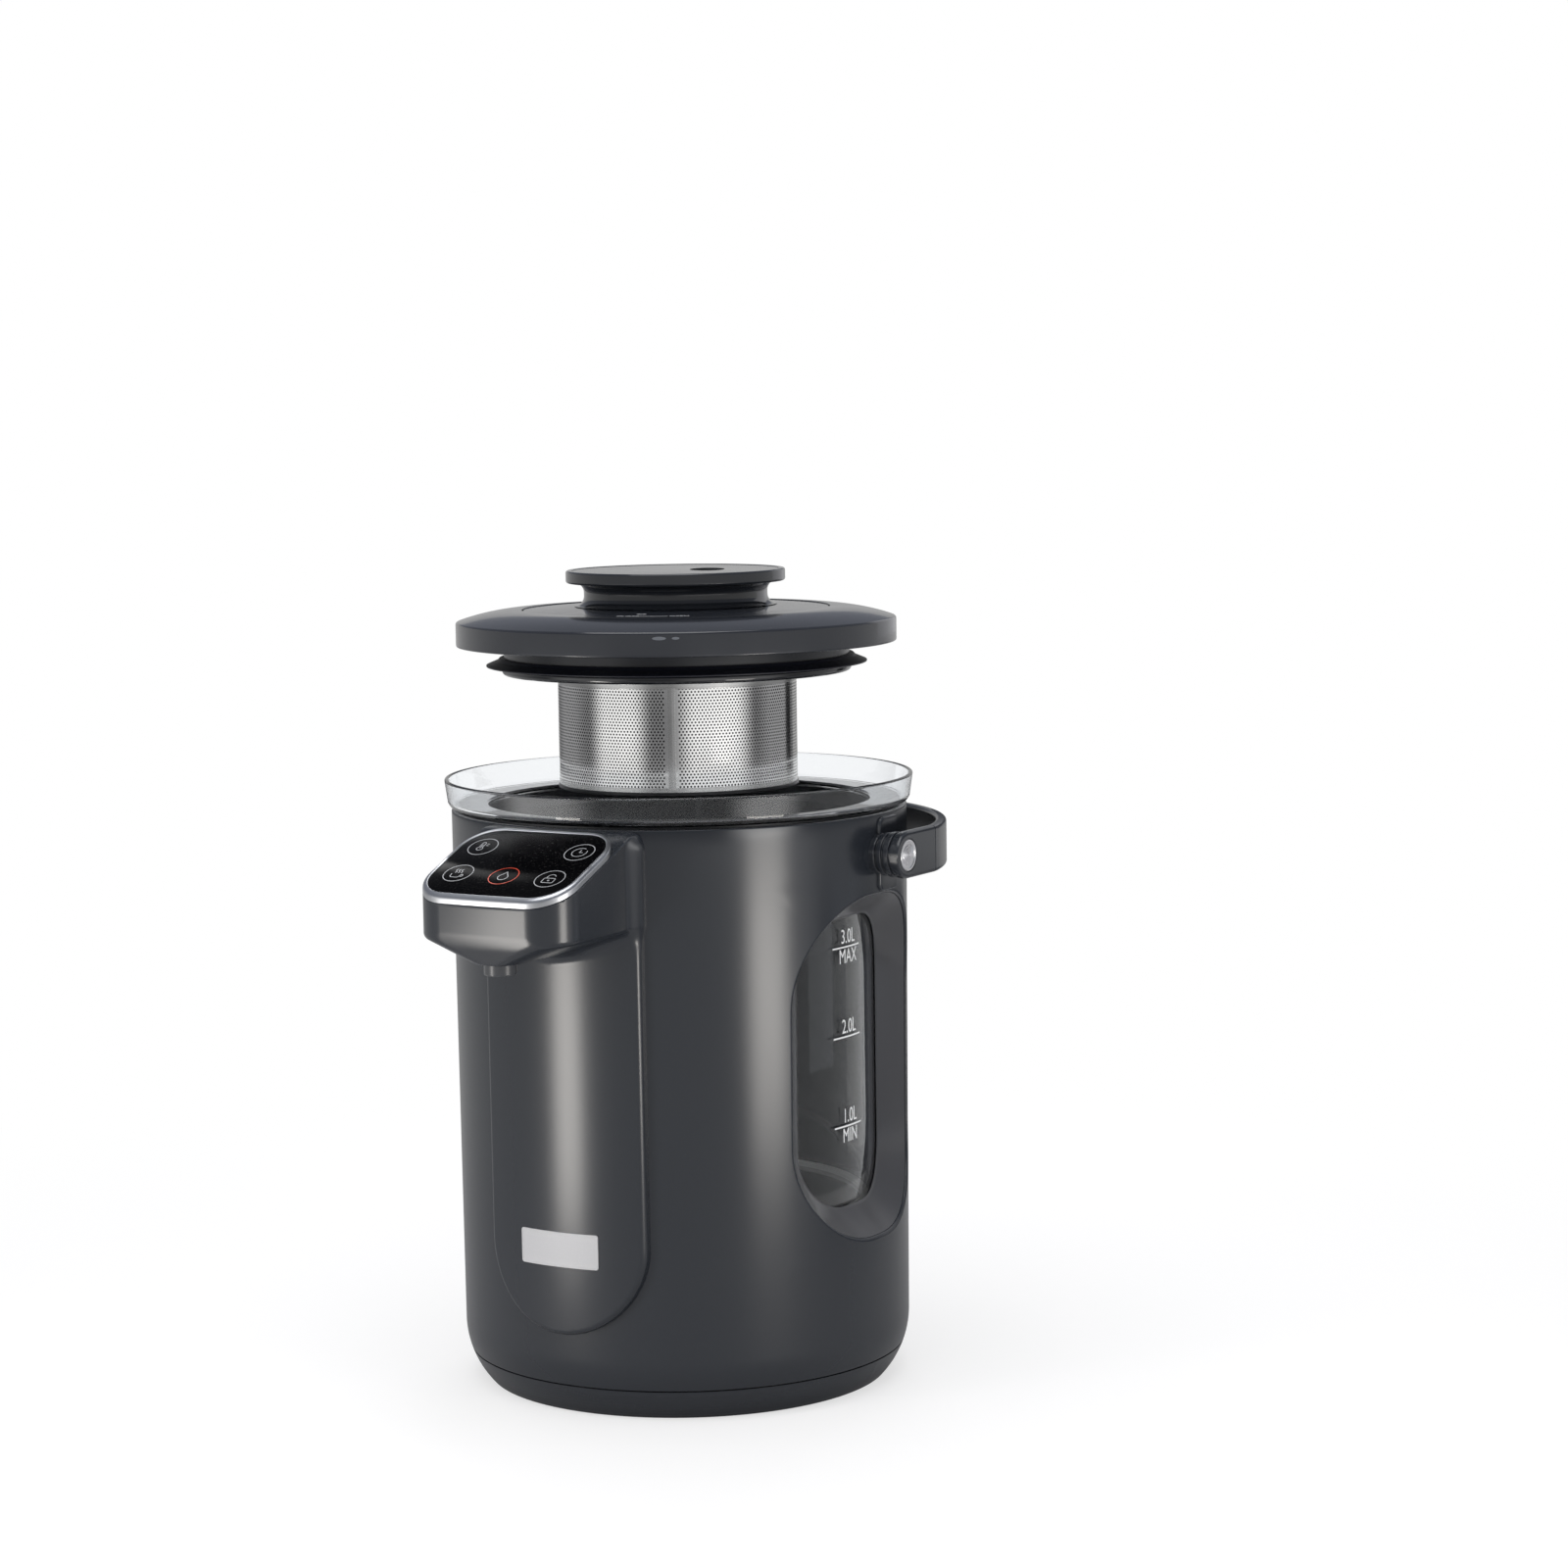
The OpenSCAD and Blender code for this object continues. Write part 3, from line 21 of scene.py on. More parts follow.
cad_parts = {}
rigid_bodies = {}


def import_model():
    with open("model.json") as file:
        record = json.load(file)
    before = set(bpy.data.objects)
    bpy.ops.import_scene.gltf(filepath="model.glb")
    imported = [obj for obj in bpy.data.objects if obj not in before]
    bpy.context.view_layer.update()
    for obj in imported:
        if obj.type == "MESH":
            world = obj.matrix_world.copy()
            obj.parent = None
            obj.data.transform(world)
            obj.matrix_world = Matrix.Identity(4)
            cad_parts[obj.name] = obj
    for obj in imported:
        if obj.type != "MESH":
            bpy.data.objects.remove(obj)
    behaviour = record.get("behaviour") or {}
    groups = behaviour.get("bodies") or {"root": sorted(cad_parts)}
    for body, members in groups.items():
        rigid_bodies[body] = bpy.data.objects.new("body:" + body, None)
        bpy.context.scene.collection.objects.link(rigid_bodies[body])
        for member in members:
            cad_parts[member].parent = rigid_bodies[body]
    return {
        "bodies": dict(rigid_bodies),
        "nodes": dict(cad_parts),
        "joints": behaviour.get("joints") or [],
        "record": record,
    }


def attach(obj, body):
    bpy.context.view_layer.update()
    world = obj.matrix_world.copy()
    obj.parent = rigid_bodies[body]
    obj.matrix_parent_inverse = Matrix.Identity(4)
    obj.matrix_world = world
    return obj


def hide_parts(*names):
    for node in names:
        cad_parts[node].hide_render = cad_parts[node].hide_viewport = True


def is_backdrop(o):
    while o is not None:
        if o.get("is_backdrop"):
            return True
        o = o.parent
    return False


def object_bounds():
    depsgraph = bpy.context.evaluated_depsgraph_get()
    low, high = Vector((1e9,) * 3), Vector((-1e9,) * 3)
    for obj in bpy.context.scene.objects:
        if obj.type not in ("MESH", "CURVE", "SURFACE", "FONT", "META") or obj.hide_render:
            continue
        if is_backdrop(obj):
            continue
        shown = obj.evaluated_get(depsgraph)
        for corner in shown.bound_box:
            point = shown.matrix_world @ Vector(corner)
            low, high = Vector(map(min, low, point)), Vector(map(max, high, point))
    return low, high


LOG = logging.getLogger("dispenser")
MM = 0.001

Array = np.ndarray
Numbers = np.ndarray | float
Outline = list[tuple[float, float]]
Faces = list[tuple[int, ...]]
Colour = tuple[float, float, float, float]
Node = bpy.types.Node
Socket = bpy.types.NodeSocket


def tone(red: int, green: int, blue: int) -> Colour:
    """Turn an 8-bit screen colour into the linear one that shaders take.

    Args:
        red: Red, from 0 to 255.
        green: Green, from 0 to 255.
        blue: Blue, from 0 to 255.

    Returns:
        The linear colour with an alpha of 1.
    """
    linear = []
    for value in (red / 255, green / 255, blue / 255):
        linear.append(value / 12.92 if value <= 0.04045 else ((value + 0.055) / 1.055) ** 2.4)
    return (linear[0], linear[1], linear[2], 1.0)


# Shapes


@dataclass
class Shape:
    """A mesh in millimetres, before it becomes an object.

    Attributes:
        points: One row of x, y and z for each point.
        faces: Point numbers of each face, anticlockwise from outside.
        normals: One outward direction for each point, or None to let Blender work them out.
    """

    points: Array
    faces: Faces
    normals: Array | None = None

    def volume(self) -> float:
        """Work out the signed volume.

        Returns:
            The volume, which is negative when the faces look inwards.
        """
        total = 0.0
        for face in self.faces:
            a = self.points[face[0]]
            for j in range(1, len(face) - 1):
                total += float(np.dot(a, np.cross(self.points[face[j]], self.points[face[j + 1]])))
        return total / 6

    def outward(self) -> "Shape":
        """Turn the faces to look out.

        Returns:
            The same shape.
        """
        if self.volume() < 0:
            self.faces = [tuple(reversed(face)) for face in self.faces]
        return self

    def moved(self, matrix: Matrix) -> "Shape":
        """Return the shape placed by a matrix in millimetres."""
        points = self.points @ np.array(matrix.to_3x3()).T + np.array(matrix.translation)
        return Shape(points, list(self.faces))

    def raised(self, height: float) -> "Shape":
        """Return the shape moved up."""
        return self.moved(Matrix.Translation((0, 0, height)))


def joined(shapes: Iterable[Shape]) -> Shape:
    """Put several shapes into one, as separate shells.

    Args:
        shapes: The shapes to join.

    Returns:
        One shape that holds them all.
    """
    points: list[Array] = []
    faces: Faces = []
    start = 0
    for shape in shapes:
        points.append(shape.points)
        faces += [tuple(i + start for i in face) for face in shape.faces]
        start += len(shape.points)
    return Shape(np.concatenate(points), faces)


def arc(cx: float, cy: float, radius: float, start: float, end: float, steps: int) -> Outline:
    """Return points on an arc round (cx, cy), from a first to a last angle in degrees, both included."""
    angles = [math.radians(start + (end - start) * i / steps) for i in range(steps + 1)]
    return [(cx + radius * math.cos(a), cy + radius * math.sin(a)) for a in angles]


def circle(radius: float, steps: int) -> Outline:
    """Return a closed circle round the origin, without its repeated last point."""
    return arc(0, 0, radius, 0, 360, steps)[:-1]


def from_front(radius: Numbers, angle: Numbers, z: Numbers) -> Array:
    """Return points at radii, angles from the front towards +X in radians, and heights."""
    return np.stack([radius * np.sin(angle), -radius * np.cos(angle), z], -1)


def wrapped(flat: Shape, radius: float, azimuth: float, z: float, proud: float = 0.0) -> Shape:
    """Bend a flat shape round an upright wall.

    Args:
        flat: The shape, with X across, Y up and Z out.
        radius: Radius of the wall.
        azimuth: Angle of the shape's middle from the front towards +X, in degrees.
        z: Height of its middle.
        proud: How far it stands off the wall.

    Returns:
        The bent shape.
    """
    across, up, out = flat.points.T
    angle = math.radians(azimuth) + across / radius
    return Shape(from_front(radius + proud + out, angle, up + z), list(flat.faces))


def rounded(corners: Sequence[tuple[float, ...]], step: float = 12.0, hold: float = 0.25) -> Outline:
    """Round the corners of a closed outline.

    Args:
        corners: Corners as (a, b) when sharp and (a, b, radius) when round.
        step: Largest turn between two points of a round corner, in degrees.
        hold: Distance of the extra point that keeps a flat flat up to its round corner.

    Returns:
        The outline's points.
    """
    count = len(corners)
    spots = [Vector(c[:2]) for c in corners]
    radii = [c[2] if len(c) > 2 else 0.0 for c in corners]
    halves = []
    for i in range(count):
        back = (spots[i - 1] - spots[i]).normalized()
        ahead = (spots[(i + 1) % count] - spots[i]).normalized()
        halves.append((back, ahead, back.angle(ahead) / 2))
    reaches = [radii[i] / math.tan(halves[i][2]) if radii[i] else 0.0 for i in range(count)]
    outline: Outline = []
    for i in range(count):
        back, ahead, half = halves[i]
        if not radii[i]:
            outline.append(tuple(spots[i]))
            continue
        room_back = (spots[i - 1] - spots[i]).length - reaches[i] - reaches[i - 1]
        room_ahead = (spots[(i + 1) % count] - spots[i]).length - reaches[i] - reaches[(i + 1) % count]
        middle = spots[i] + (back + ahead).normalized() * radii[i] / math.sin(half)
        first = spots[i] + back * reaches[i] - middle
        last = spots[i] + ahead * reaches[i] - middle
        turn = math.atan2(first.x * last.y - first.y * last.x, first.dot(last))
        steps = max(2, math.ceil(abs(math.degrees(turn)) / step))
        base = math.degrees(math.atan2(first.y, first.x))
        if room_back > 2 * hold:
            outline.append(tuple(spots[i] + back * (reaches[i] + hold)))
        outline += arc(middle.x, middle.y, radii[i], base, base + math.degrees(turn), steps)
        if room_ahead > 2 * hold:
            outline.append(tuple(spots[i] + ahead * (reaches[i] + hold)))
    return outline


def round_box(half_w: float, low: float, high: float, corner: float, arc_steps: int = 14,
              side_steps: int = 8) -> Outline:
    """Give a rounded rectangle with the same number of points at any size.

    Args:
        half_w: Half its width.
        low: Its lower edge.
        high: Its upper edge.
        corner: Radius of its corners.
        arc_steps: Steps in each corner.
        side_steps: Steps along each side.

    Returns:
        Its points, anticlockwise from the right side.
    """
    corner = min(corner, half_w - 0.01, (high - low) / 2 - 0.01)
    centres = [(half_w - corner, high - corner, 0.0), (corner - half_w, high - corner, 90.0),
               (corner - half_w, low + corner, 180.0), (half_w - corner, low + corner, 270.0)]
    points: Outline = []
    for i, (cx, cy, start) in enumerate(centres):
        bend = arc(cx, cy, corner, start, start + 90, arc_steps)
        nx, ny, after = centres[(i + 1) % 4]
        ahead = arc(nx, ny, corner, after, after, 1)[0]
        last = bend[-1]
        points += bend
        for k in range(1, side_steps):
            t = k / side_steps
            points.append((last[0] + (ahead[0] - last[0]) * t, last[1] + (ahead[1] - last[1]) * t))
    return points


def lathe(outline: Outline, count: int = 192) -> Shape:
    """Turn a closed outline about the Z axis.

    Args:
        outline: Points as (radius, height).
        count: Number of steps round the axis.

    Returns:
        A closed shape.
    """
    angles = np.arange(count) * 2 * math.pi / count
    cos, sin = np.cos(angles), np.sin(angles)
    points: list[Array] = []
    rings: list[list[int]] = []
    total = 0
    for r, z in outline:
        if r < 1e-6:
            points.append(np.array([[0.0, 0.0, z]]))
            rings.append([total] * count)
            total += 1
        else:
            points.append(np.stack([r * cos, r * sin, np.full(count, z)], 1))
            rings.append(list(range(total, total + count)))
            total += count
    faces: Faces = []
    for k, ring in enumerate(rings):
        above = rings[(k + 1) % len(rings)]
        if ring[0] == ring[1] and above[0] == above[1]:
            continue
        for i in range(count):
            j = (i + 1) % count
            face = [ring[i], ring[j], above[j], above[i]]
            faces.append(tuple(dict.fromkeys(face)))
    return Shape(np.concatenate(points), faces).outward()


def loft(rings: Sequence[Array], around: bool = False) -> Shape:
    """Join rings of equal counts into a closed skin.

    Args:
        rings: Rings of points, each closed.
        around: True when the last ring joins the first, else both ends are capped.

    Returns:
        A closed shape.
    """
    count = len(rings[0])
    faces: Faces = []
    for k in range(len(rings) if around else len(rings) - 1):
        a, b = k * count, (k + 1) % len(rings) * count
        for i in range(count):
            j = (i + 1) % count
            faces.append((a + i, a + j, b + j, b + i))
    if not around:
        faces.append(tuple(reversed(range(count))))
        faces.append(tuple(range((len(rings) - 1) * count, len(rings) * count)))
    return Shape(np.concatenate([np.asarray(r, float) for r in rings]), faces).outward()


def plate(outline: Outline, low: float, high: float) -> Shape:
    """Return a flat plate from its outline and the heights of its underside and its top."""
    return loft([np.array([(*spot, z) for spot in outline]) for z in (low, high)])


def ribbon(path: Outline, width: float, low: float, high: float, closed: bool = False) -> Shape:
    """Lay a flat line of even width along a path.

    Args:
        path: The line's middle, as (u, v) points.
        width: Width of the line.
        low: Height of its underside.
        high: Height of its top.
        closed: True when the line joins its own start.

    Returns:
        A closed shape.
    """
    spots = np.array(path, float)
    ahead = np.roll(spots, -1, 0) - spots
    back = spots - np.roll(spots, 1, 0)
    if not closed:
        ahead[-1] = back[-1]
        back[0] = ahead[0]
    ahead /= np.linalg.norm(ahead, axis=1, keepdims=True)
    back /= np.linalg.norm(back, axis=1, keepdims=True)
    along = ahead + back
    along /= np.linalg.norm(along, axis=1, keepdims=True)
    mitre = np.maximum(np.sum(along * ahead, axis=1, keepdims=True), 0.5)
    side = np.column_stack([-along[:, 1], along[:, 0]]) * width / 2 / mitre
    rings = []
    for spot, out in zip(spots, side):
        a, b = spot + out, spot - out
        rings.append(np.array([[*a, low], [*b, low], [*b, high], [*a, high]]))
    return loft(rings, around=closed)


def thickened(outer: Array, inner: Array, faces: Faces) -> Shape:
    """Close an open sheet with a second sheet behind it and walls along its borders.

    Args:
        outer: Points of the sheet that shows.
        inner: The same points moved to the back of the wall.
        faces: Faces of the sheet.

    Returns:
        A closed shape.
    """
    count = len(outer)
    edges = {(a, b): True for face in faces for a, b in zip(face, face[1:] + face[:1])}
    walls = [(b, a, a + count, b + count) for a, b in edges if (b, a) not in edges]
    back = [tuple(i + count for i in reversed(face)) for face in faces]
    return Shape(np.concatenate([outer, inner]), list(faces) + back + walls)


@dataclass
class FieldSkin:
    """Skin of a solid that a distance field describes, with true round blends.

    Attributes:
        distance: Gives the signed distance at arrays of x, y and z, negative inside.
        low: Lowest corner of the space to search.
        high: Highest corner of that space.
        step: Spacing of the mesh.
    """

    distance: Callable[[Array, Array, Array], Array]
    low: tuple[float, float, float]
    high: tuple[float, float, float]
    step: float

    def slope(self, p: Array) -> Array:
        """Work out the field's gradient.

        Args:
            p: One row for each point.

        Returns:
            One row for each point.
        """
        reach = 0.04
        parts = []
        for axis in range(3):
            shift = np.zeros(3)
            shift[axis] = reach
            more, less = p + shift, p - shift
            parts.append((self.distance(*more.T) - self.distance(*less.T)) / (2 * reach))
        return np.stack(parts, 1)

    def build(self, rounds: int = 5) -> Shape:
        """Mesh the field's zero level and draw the points on to it.

        Args:
            rounds: Number of times the points are drawn to the level.

        Returns:
            A closed shape with its true normals.
        """
        axes = [np.arange(self.low[i], self.high[i] + self.step, self.step) for i in range(3)]
        grid = np.empty([len(a) for a in axes])
        y, z = np.meshgrid(axes[1], axes[2], indexing="ij")
        for i, x in enumerate(axes[0]):
            grid[i] = self.distance(np.full_like(y, x), y, z)
        cells = np.array(grid.shape) - 1
        number = np.full(cells, -1)
        spots: list[Array] = []
        owners: list[Array] = []
        quads: list[tuple[Array, Array]] = []
        for axis in range(3):
            first = np.take(grid, range(grid.shape[axis] - 1), axis)
            second = np.take(grid, range(1, grid.shape[axis]), axis)
            where = np.argwhere((first < 0) != (second < 0))
            a, b = first[tuple(where.T)], second[tuple(where.T)]
            place = where.astype(float)
            place[:, axis] += a / (a - b)
            p, q = (axis + 1) % 3, (axis + 2) % 3
            corners = []
            for dp, dq in ((1, 1), (0, 1), (0, 0), (1, 0)):
                cell = where.copy()
                cell[:, p] -= dp
                cell[:, q] -= dq
                corners.append(cell)
                spots.append(place)
                owners.append(cell)
            quads.append((np.stack(corners, 1), a < 0))
        owner = np.concatenate(owners)
        flat = np.ravel_multi_index(tuple(owner.T), tuple(cells))
        used, back = np.unique(flat, return_inverse=True)
        number.ravel()[used] = np.arange(len(used))
        total = np.zeros((len(used), 3))
        hits = np.zeros(len(used))
        np.add.at(total, back, np.concatenate(spots))
        np.add.at(hits, back, 1)
        points = np.array(self.low) + self.step * total / hits[:, None]
        least_slope, longest_move, tiny = 0.05, 0.5 * self.step, 1e-9
        for _ in range(rounds):
            slope = self.slope(points)
            size = np.maximum(np.sum(slope * slope, 1), least_slope)
            move = slope * (self.distance(*points.T) / size)[:, None]
            length = np.linalg.norm(move, axis=1, keepdims=True)
            points = points - move * np.minimum(1, longest_move / np.maximum(length, tiny))
        normals = self.slope(points)
        normals /= np.maximum(np.linalg.norm(normals, axis=1, keepdims=True), tiny)
        faces: Faces = []
        for corners, ahead in quads:
            ids = number[tuple(corners.transpose(2, 0, 1))]
            faces += [tuple(row) for row in ids[ahead].tolist()]
            faces += [tuple(row) for row in ids[~ahead][:, ::-1].tolist()]
        return Shape(points, faces, normals)


def round_both(a: Array, b: Array, radius: Numbers) -> Array:
    """Return the distance to what two distances both hold, with the outer edge between them rounded."""
    corner = np.hypot(np.maximum(a + radius, 0), np.maximum(b + radius, 0))
    return np.minimum(np.maximum(a, b), -radius) + corner


def round_either(a: Array, b: Array, radius: Numbers) -> Array:
    """Return the distance to what either of two holds, with the inner corner between them filled."""
    corner = np.hypot(np.maximum(radius - a, 0), np.maximum(radius - b, 0))
    return np.maximum(np.minimum(a, b), radius) - corner


def box_distance(u: Array, v: Array, half_w: Numbers, low: float, high: float,
                 corner: Numbers) -> Array:
    """Give the signed distance to a rounded rectangle in a plane.

    Args:
        u: Coordinate across, with the rectangle centred on 0.
        v: Coordinate up.
        half_w: Half its width.
        low: Its lower edge.
        high: Its upper edge.
        corner: Radius of its corners.

    Returns:
        The distance, negative inside.
    """
    du = np.abs(u) - (half_w - corner)
    dv = np.abs(v - (low + high) / 2) - ((high - low) / 2 - corner)
    outside = np.hypot(np.maximum(du, 0), np.maximum(dv, 0))
    return outside + np.minimum(np.maximum(du, dv), 0) - corner


# Node groups and materials


class NodeBoard:
    """A node tree with short calls to add and link its nodes."""

    def __init__(self, tree: bpy.types.NodeTree) -> None:
        """Take the tree to write in."""
        self.tree = tree

    def feed(self, node: Node, target: str | int, value: object) -> None:
        """Set one input of a node.

        Args:
            node: The node.
            target: The input's name or number.
            value: A socket to link to it, or the value that it holds.
        """
        if isinstance(value, Socket):
            self.tree.links.new(value, node.inputs[target])
        else:
            node.inputs[target].default_value = value

    def add(self, kind: str, **settings: object) -> Node:
        """Add a node.

        Args:
            kind: The node's type without its ShaderNode prefix.
            **settings: Properties of the node, or values and sockets for its inputs by their
                name with underscores for spaces.

        Returns:
            The new node.
        """
        node = self.tree.nodes.new("ShaderNode" + kind)
        for key, value in settings.items():
            if hasattr(node, key):
                setattr(node, key, value)
            else:
                self.feed(node, key.replace("_", " "), value)
        return node

    def calc(self, kind: str, *values: Socket | float, clamp: bool = False) -> Socket:
        """Work out a number from others.

        Args:
            kind: The Math node's operation.
            *values: Sockets or numbers.
            clamp: True to hold the result between 0 and 1.

        Returns:
            The output socket.
        """
        node = self.add("Math", operation=kind, use_clamp=clamp)
        for number, value in enumerate(values):
            self.feed(node, number, value)
        return node.outputs[0]

    def arrow(self, kind: str, *values: object) -> bpy.types.NodeOutputs:
        """Work out a vector or a number from vectors.

        Args:
            kind: The Vector Math node's operation.
            *values: Sockets or vectors.

        Returns:
            The node's outputs.
        """
        node = self.add("VectorMath", operation=kind)
        for number, value in enumerate(values):
            self.feed(node, number, value)
        return node.outputs

    def mix(self, factor: Socket, first: Socket | Colour, second: Socket | Colour) -> Socket:
        """Mix two colours by a factor.

        Args:
            factor: The socket that gives the share of the second colour.
            first: A socket or a colour.
            second: A socket or a colour.

        Returns:
            The output socket.
        """
        node = self.add("Mix", data_type="RGBA")
        for number, value in ((0, factor), (6, first), (7, second)):
            self.feed(node, number, value)
        return node.outputs[2]

    def noise(self, place: Socket, scale: Socket | float, detail: float, **settings: float) -> Socket:
        """Return the value of a noise texture at a place."""
        return self.add("TexNoise", Vector=place, Scale=scale, Detail=detail, **settings).outputs["Fac"]

    def ramp(self, value: Socket, start: float, end: float, **settings: str) -> Socket:
        """Return how far a value has come from a start to an end, from 0 to 1."""
        return self.add("MapRange", Value=value, From_Min=start, From_Max=end, **settings).outputs["Result"]

    def place(self) -> Socket:
        """Return the shaded place in the object's own coordinates."""
        return self.add("TexCoord").outputs["Object"]

    def axes(self, vector: Socket) -> list[Socket]:
        """Return a vector's x, y and z."""
        return list(self.add("SeparateXYZ", Vector=vector).outputs)

    def length(self, first: Socket, second: Socket) -> Socket:
        """Return the length of an arrow from its two sides."""
        squares = [self.calc("MULTIPLY", side, side) for side in (first, second)]
        return self.calc("SQRT", self.calc("ADD", *squares))


class EffectGroup:
    """A shader node group with named inputs and outputs, built once."""

    title = "effect"
    takes: dict[str, tuple[str, object]] = {}
    gives: dict[str, str] = {}

    def __init__(self) -> None:
        """Build the group."""
        self.tree = bpy.data.node_groups.new(self.title, "ShaderNodeTree")
        for name, (kind, value) in self.takes.items():
            socket = self.tree.interface.new_socket(name, in_out="INPUT", socket_type="NodeSocket" + kind)
            socket.default_value = value
        for name, kind in self.gives.items():
            self.tree.interface.new_socket(name, in_out="OUTPUT", socket_type="NodeSocket" + kind)
        self.board = NodeBoard(self.tree)
        self.given = self.tree.nodes.new("NodeGroupInput").outputs
        end = self.tree.nodes.new("NodeGroupOutput")
        for name, source in self.draw().items():
            self.board.feed(end, name, source)

    def draw(self) -> dict[str, Socket]:
        """Add the group's nodes and return the socket of each output."""
        raise NotImplementedError

    def put(self, board: NodeBoard, **values: object) -> bpy.types.NodeOutputs:
        """Place the group in a material, with its own values, and return its outputs."""
        return board.add("Group", node_tree=self.tree, **values).outputs


class MouldGrain(EffectGroup):
    """Fine grain of a moulded or cast skin, with a soft ripple under it."""

    title = "mould_grain"
    takes = {"Grain Size": ("Float", 1400.0), "Ripple Size": ("Float", 28.0), "Ripple": ("Float", 0.4)}
    gives = {"Height": "Float", "Speck": "Float"}

    def draw(self) -> dict[str, Socket]:
        """Add fine noise, pores and the ripple.

        Returns:
            The grain's height and the mask of its specks.
        """
        b, size, place = self.board, self.given["Grain Size"], self.board.place()
        fine = b.noise(place, size, 3.0, Roughness=0.6)
        pores = b.add("TexVoronoi", feature="F1", Vector=place, Scale=b.calc("MULTIPLY", size, 0.45))
        ripple = b.noise(place, self.given["Ripple Size"], 2.0, Roughness=0.5)
        grain = b.calc("ADD", fine, b.calc("MULTIPLY", pores.outputs["Distance"], 0.5))
        swell = b.calc("MULTIPLY", ripple, self.given["Ripple"])
        return {"Height": b.calc("ADD", grain, swell), "Speck": b.ramp(fine, 0.56, 0.72)}


class HandlingMarks(EffectGroup):
    """Wiped smudges that change the gloss, and the fine dust that settles on upper faces."""

    title = "handling_marks"
    takes = {"Roughness": ("Float", 0.3), "Smudge": ("Float", 0.06), "Patch Size": ("Float", 14.0)}
    gives = {"Roughness": "Float", "Dust": "Float"}

    def draw(self) -> dict[str, Socket]:
        """Add the patches, the wiping streaks and the dust mask.

        Returns:
            The marked roughness and the dust mask.
        """
        b, place = self.board, self.board.place()
        patch = b.noise(place, self.given["Patch Size"], 5.0, Roughness=0.55, Distortion=0.6)
        wiped = b.add("Mapping", Vector=place, Scale=(1.0, 1.0, 0.18), Rotation=(0.35, 0.2, 0.0))
        streak = b.noise(wiped.outputs["Vector"], 120.0, 3.0, Roughness=0.6)
        both = b.calc("ADD", patch, b.calc("MULTIPLY", streak, 0.35))
        change = b.calc("MULTIPLY", b.calc("SUBTRACT", both, 0.67), self.given["Smudge"])
        upward = b.ramp(b.axes(b.add("NewGeometry").outputs["Normal"])[2], 0.75, 1.0)
        motes = b.ramp(b.noise(place, 900.0, 2.0), 0.58, 0.75)
        return {"Roughness": b.calc("ADD", self.given["Roughness"], change, clamp=True),
                "Dust": b.calc("MULTIPLY", upward, motes)}


class EdgeWear(EffectGroup):
    """Rubbed edges, lighter where a hand or a cloth meets them, and slow drift of the colour."""

    title = "edge_wear"
    takes = {
        "Colour": ("Color", (0.1, 0.1, 0.1, 1.0)), "Worn Colour": ("Color", (0.2, 0.2, 0.2, 1.0)),
        "Wear": ("Float", 0.4), "Drift": ("Float", 0.06), "Speck": ("Float", 0.0),
    }
    gives = {"Colour": "Color"}

    def draw(self) -> dict[str, Socket]:
        """Find the edges, break them up and mix in the worn colour.

        Returns:
            The worn colour.
        """
        b, place = self.board, self.board.place()
        edge = b.ramp(b.add("NewGeometry").outputs["Pointiness"], 0.515, 0.6)
        patchy = b.calc("MULTIPLY", edge, b.noise(place, 160.0, 4.0, Roughness=0.65))
        worn = b.calc("MULTIPLY", patchy, self.given["Wear"], clamp=True)
        slow = b.calc("SUBTRACT", b.noise(place, 9.0, 3.0), 0.5)
        swing = b.calc("MULTIPLY", slow, self.given["Drift"])
        fleck = b.calc("MULTIPLY", self.given["Speck"], 0.08)
        light = b.calc("ADD", b.calc("ADD", swing, fleck), 1.0)
        tint = b.add("VectorMath", operation="SCALE", Vector=self.given["Colour"], Scale=light)
        return {"Colour": b.mix(worn, tint.outputs[0], self.given["Worn Colour"])}


class ToolLines(EffectGroup):
    """Fine lines that turning, rolling or brushing leaves in metal."""

    title = "tool_lines"
    takes = {"Vector": ("Vector", (0.0, 0.0, 0.0)), "Lines": ("Float", 900.0), "Uneven": ("Float", 0.5)}
    gives = {"Height": "Float"}

    def draw(self) -> dict[str, Socket]:
        """Stretch noise into lines and add longer streaks.

        Returns:
            The lines' height.
        """
        b, vector, lines = self.board, self.given["Vector"], self.given["Lines"]
        fine = b.noise(vector, lines, 4.0, Roughness=0.7)
        broad = b.noise(vector, b.calc("MULTIPLY", lines, 0.15), 2.0)
        return {"Height": b.calc("ADD", fine, b.calc("MULTIPLY", broad, self.given["Uneven"]))}


class InwardShade(EffectGroup):
    """Mask of the faces that look towards the Z axis, which get little light in a closed basket."""

    title = "inward_shade"
    gives = {"Inward": "Float"}

    def draw(self) -> dict[str, Socket]:
        """Compare each face's direction with the way out from the axis.

        Returns:
            The mask.
        """
        b = self.board
        coords = b.add("TexCoord").outputs
        out = b.arrow("NORMALIZE", b.arrow("MULTIPLY", coords["Object"], (1.0, 1.0, 0.0))[0])[0]
        return {"Inward": b.ramp(b.arrow("DOT_PRODUCT", out, coords["Normal"])["Value"], 0.0, -0.5)}


class Lay(Enum):
    """Direction in which a metal's tool lines run, with their change along it against across."""

    NONE = 0.0
    ROUND = 0.002
    TURNED = 0.02
    ALONG = 0.03


class Effects:
    """The effect groups that all materials share."""

    def __init__(self) -> None:
        """Build each group once."""
        self.grain = MouldGrain()
        self.marks = HandlingMarks()
        self.wear = EdgeWear()
        self.lines = ToolLines()
        self.inward = InwardShade()


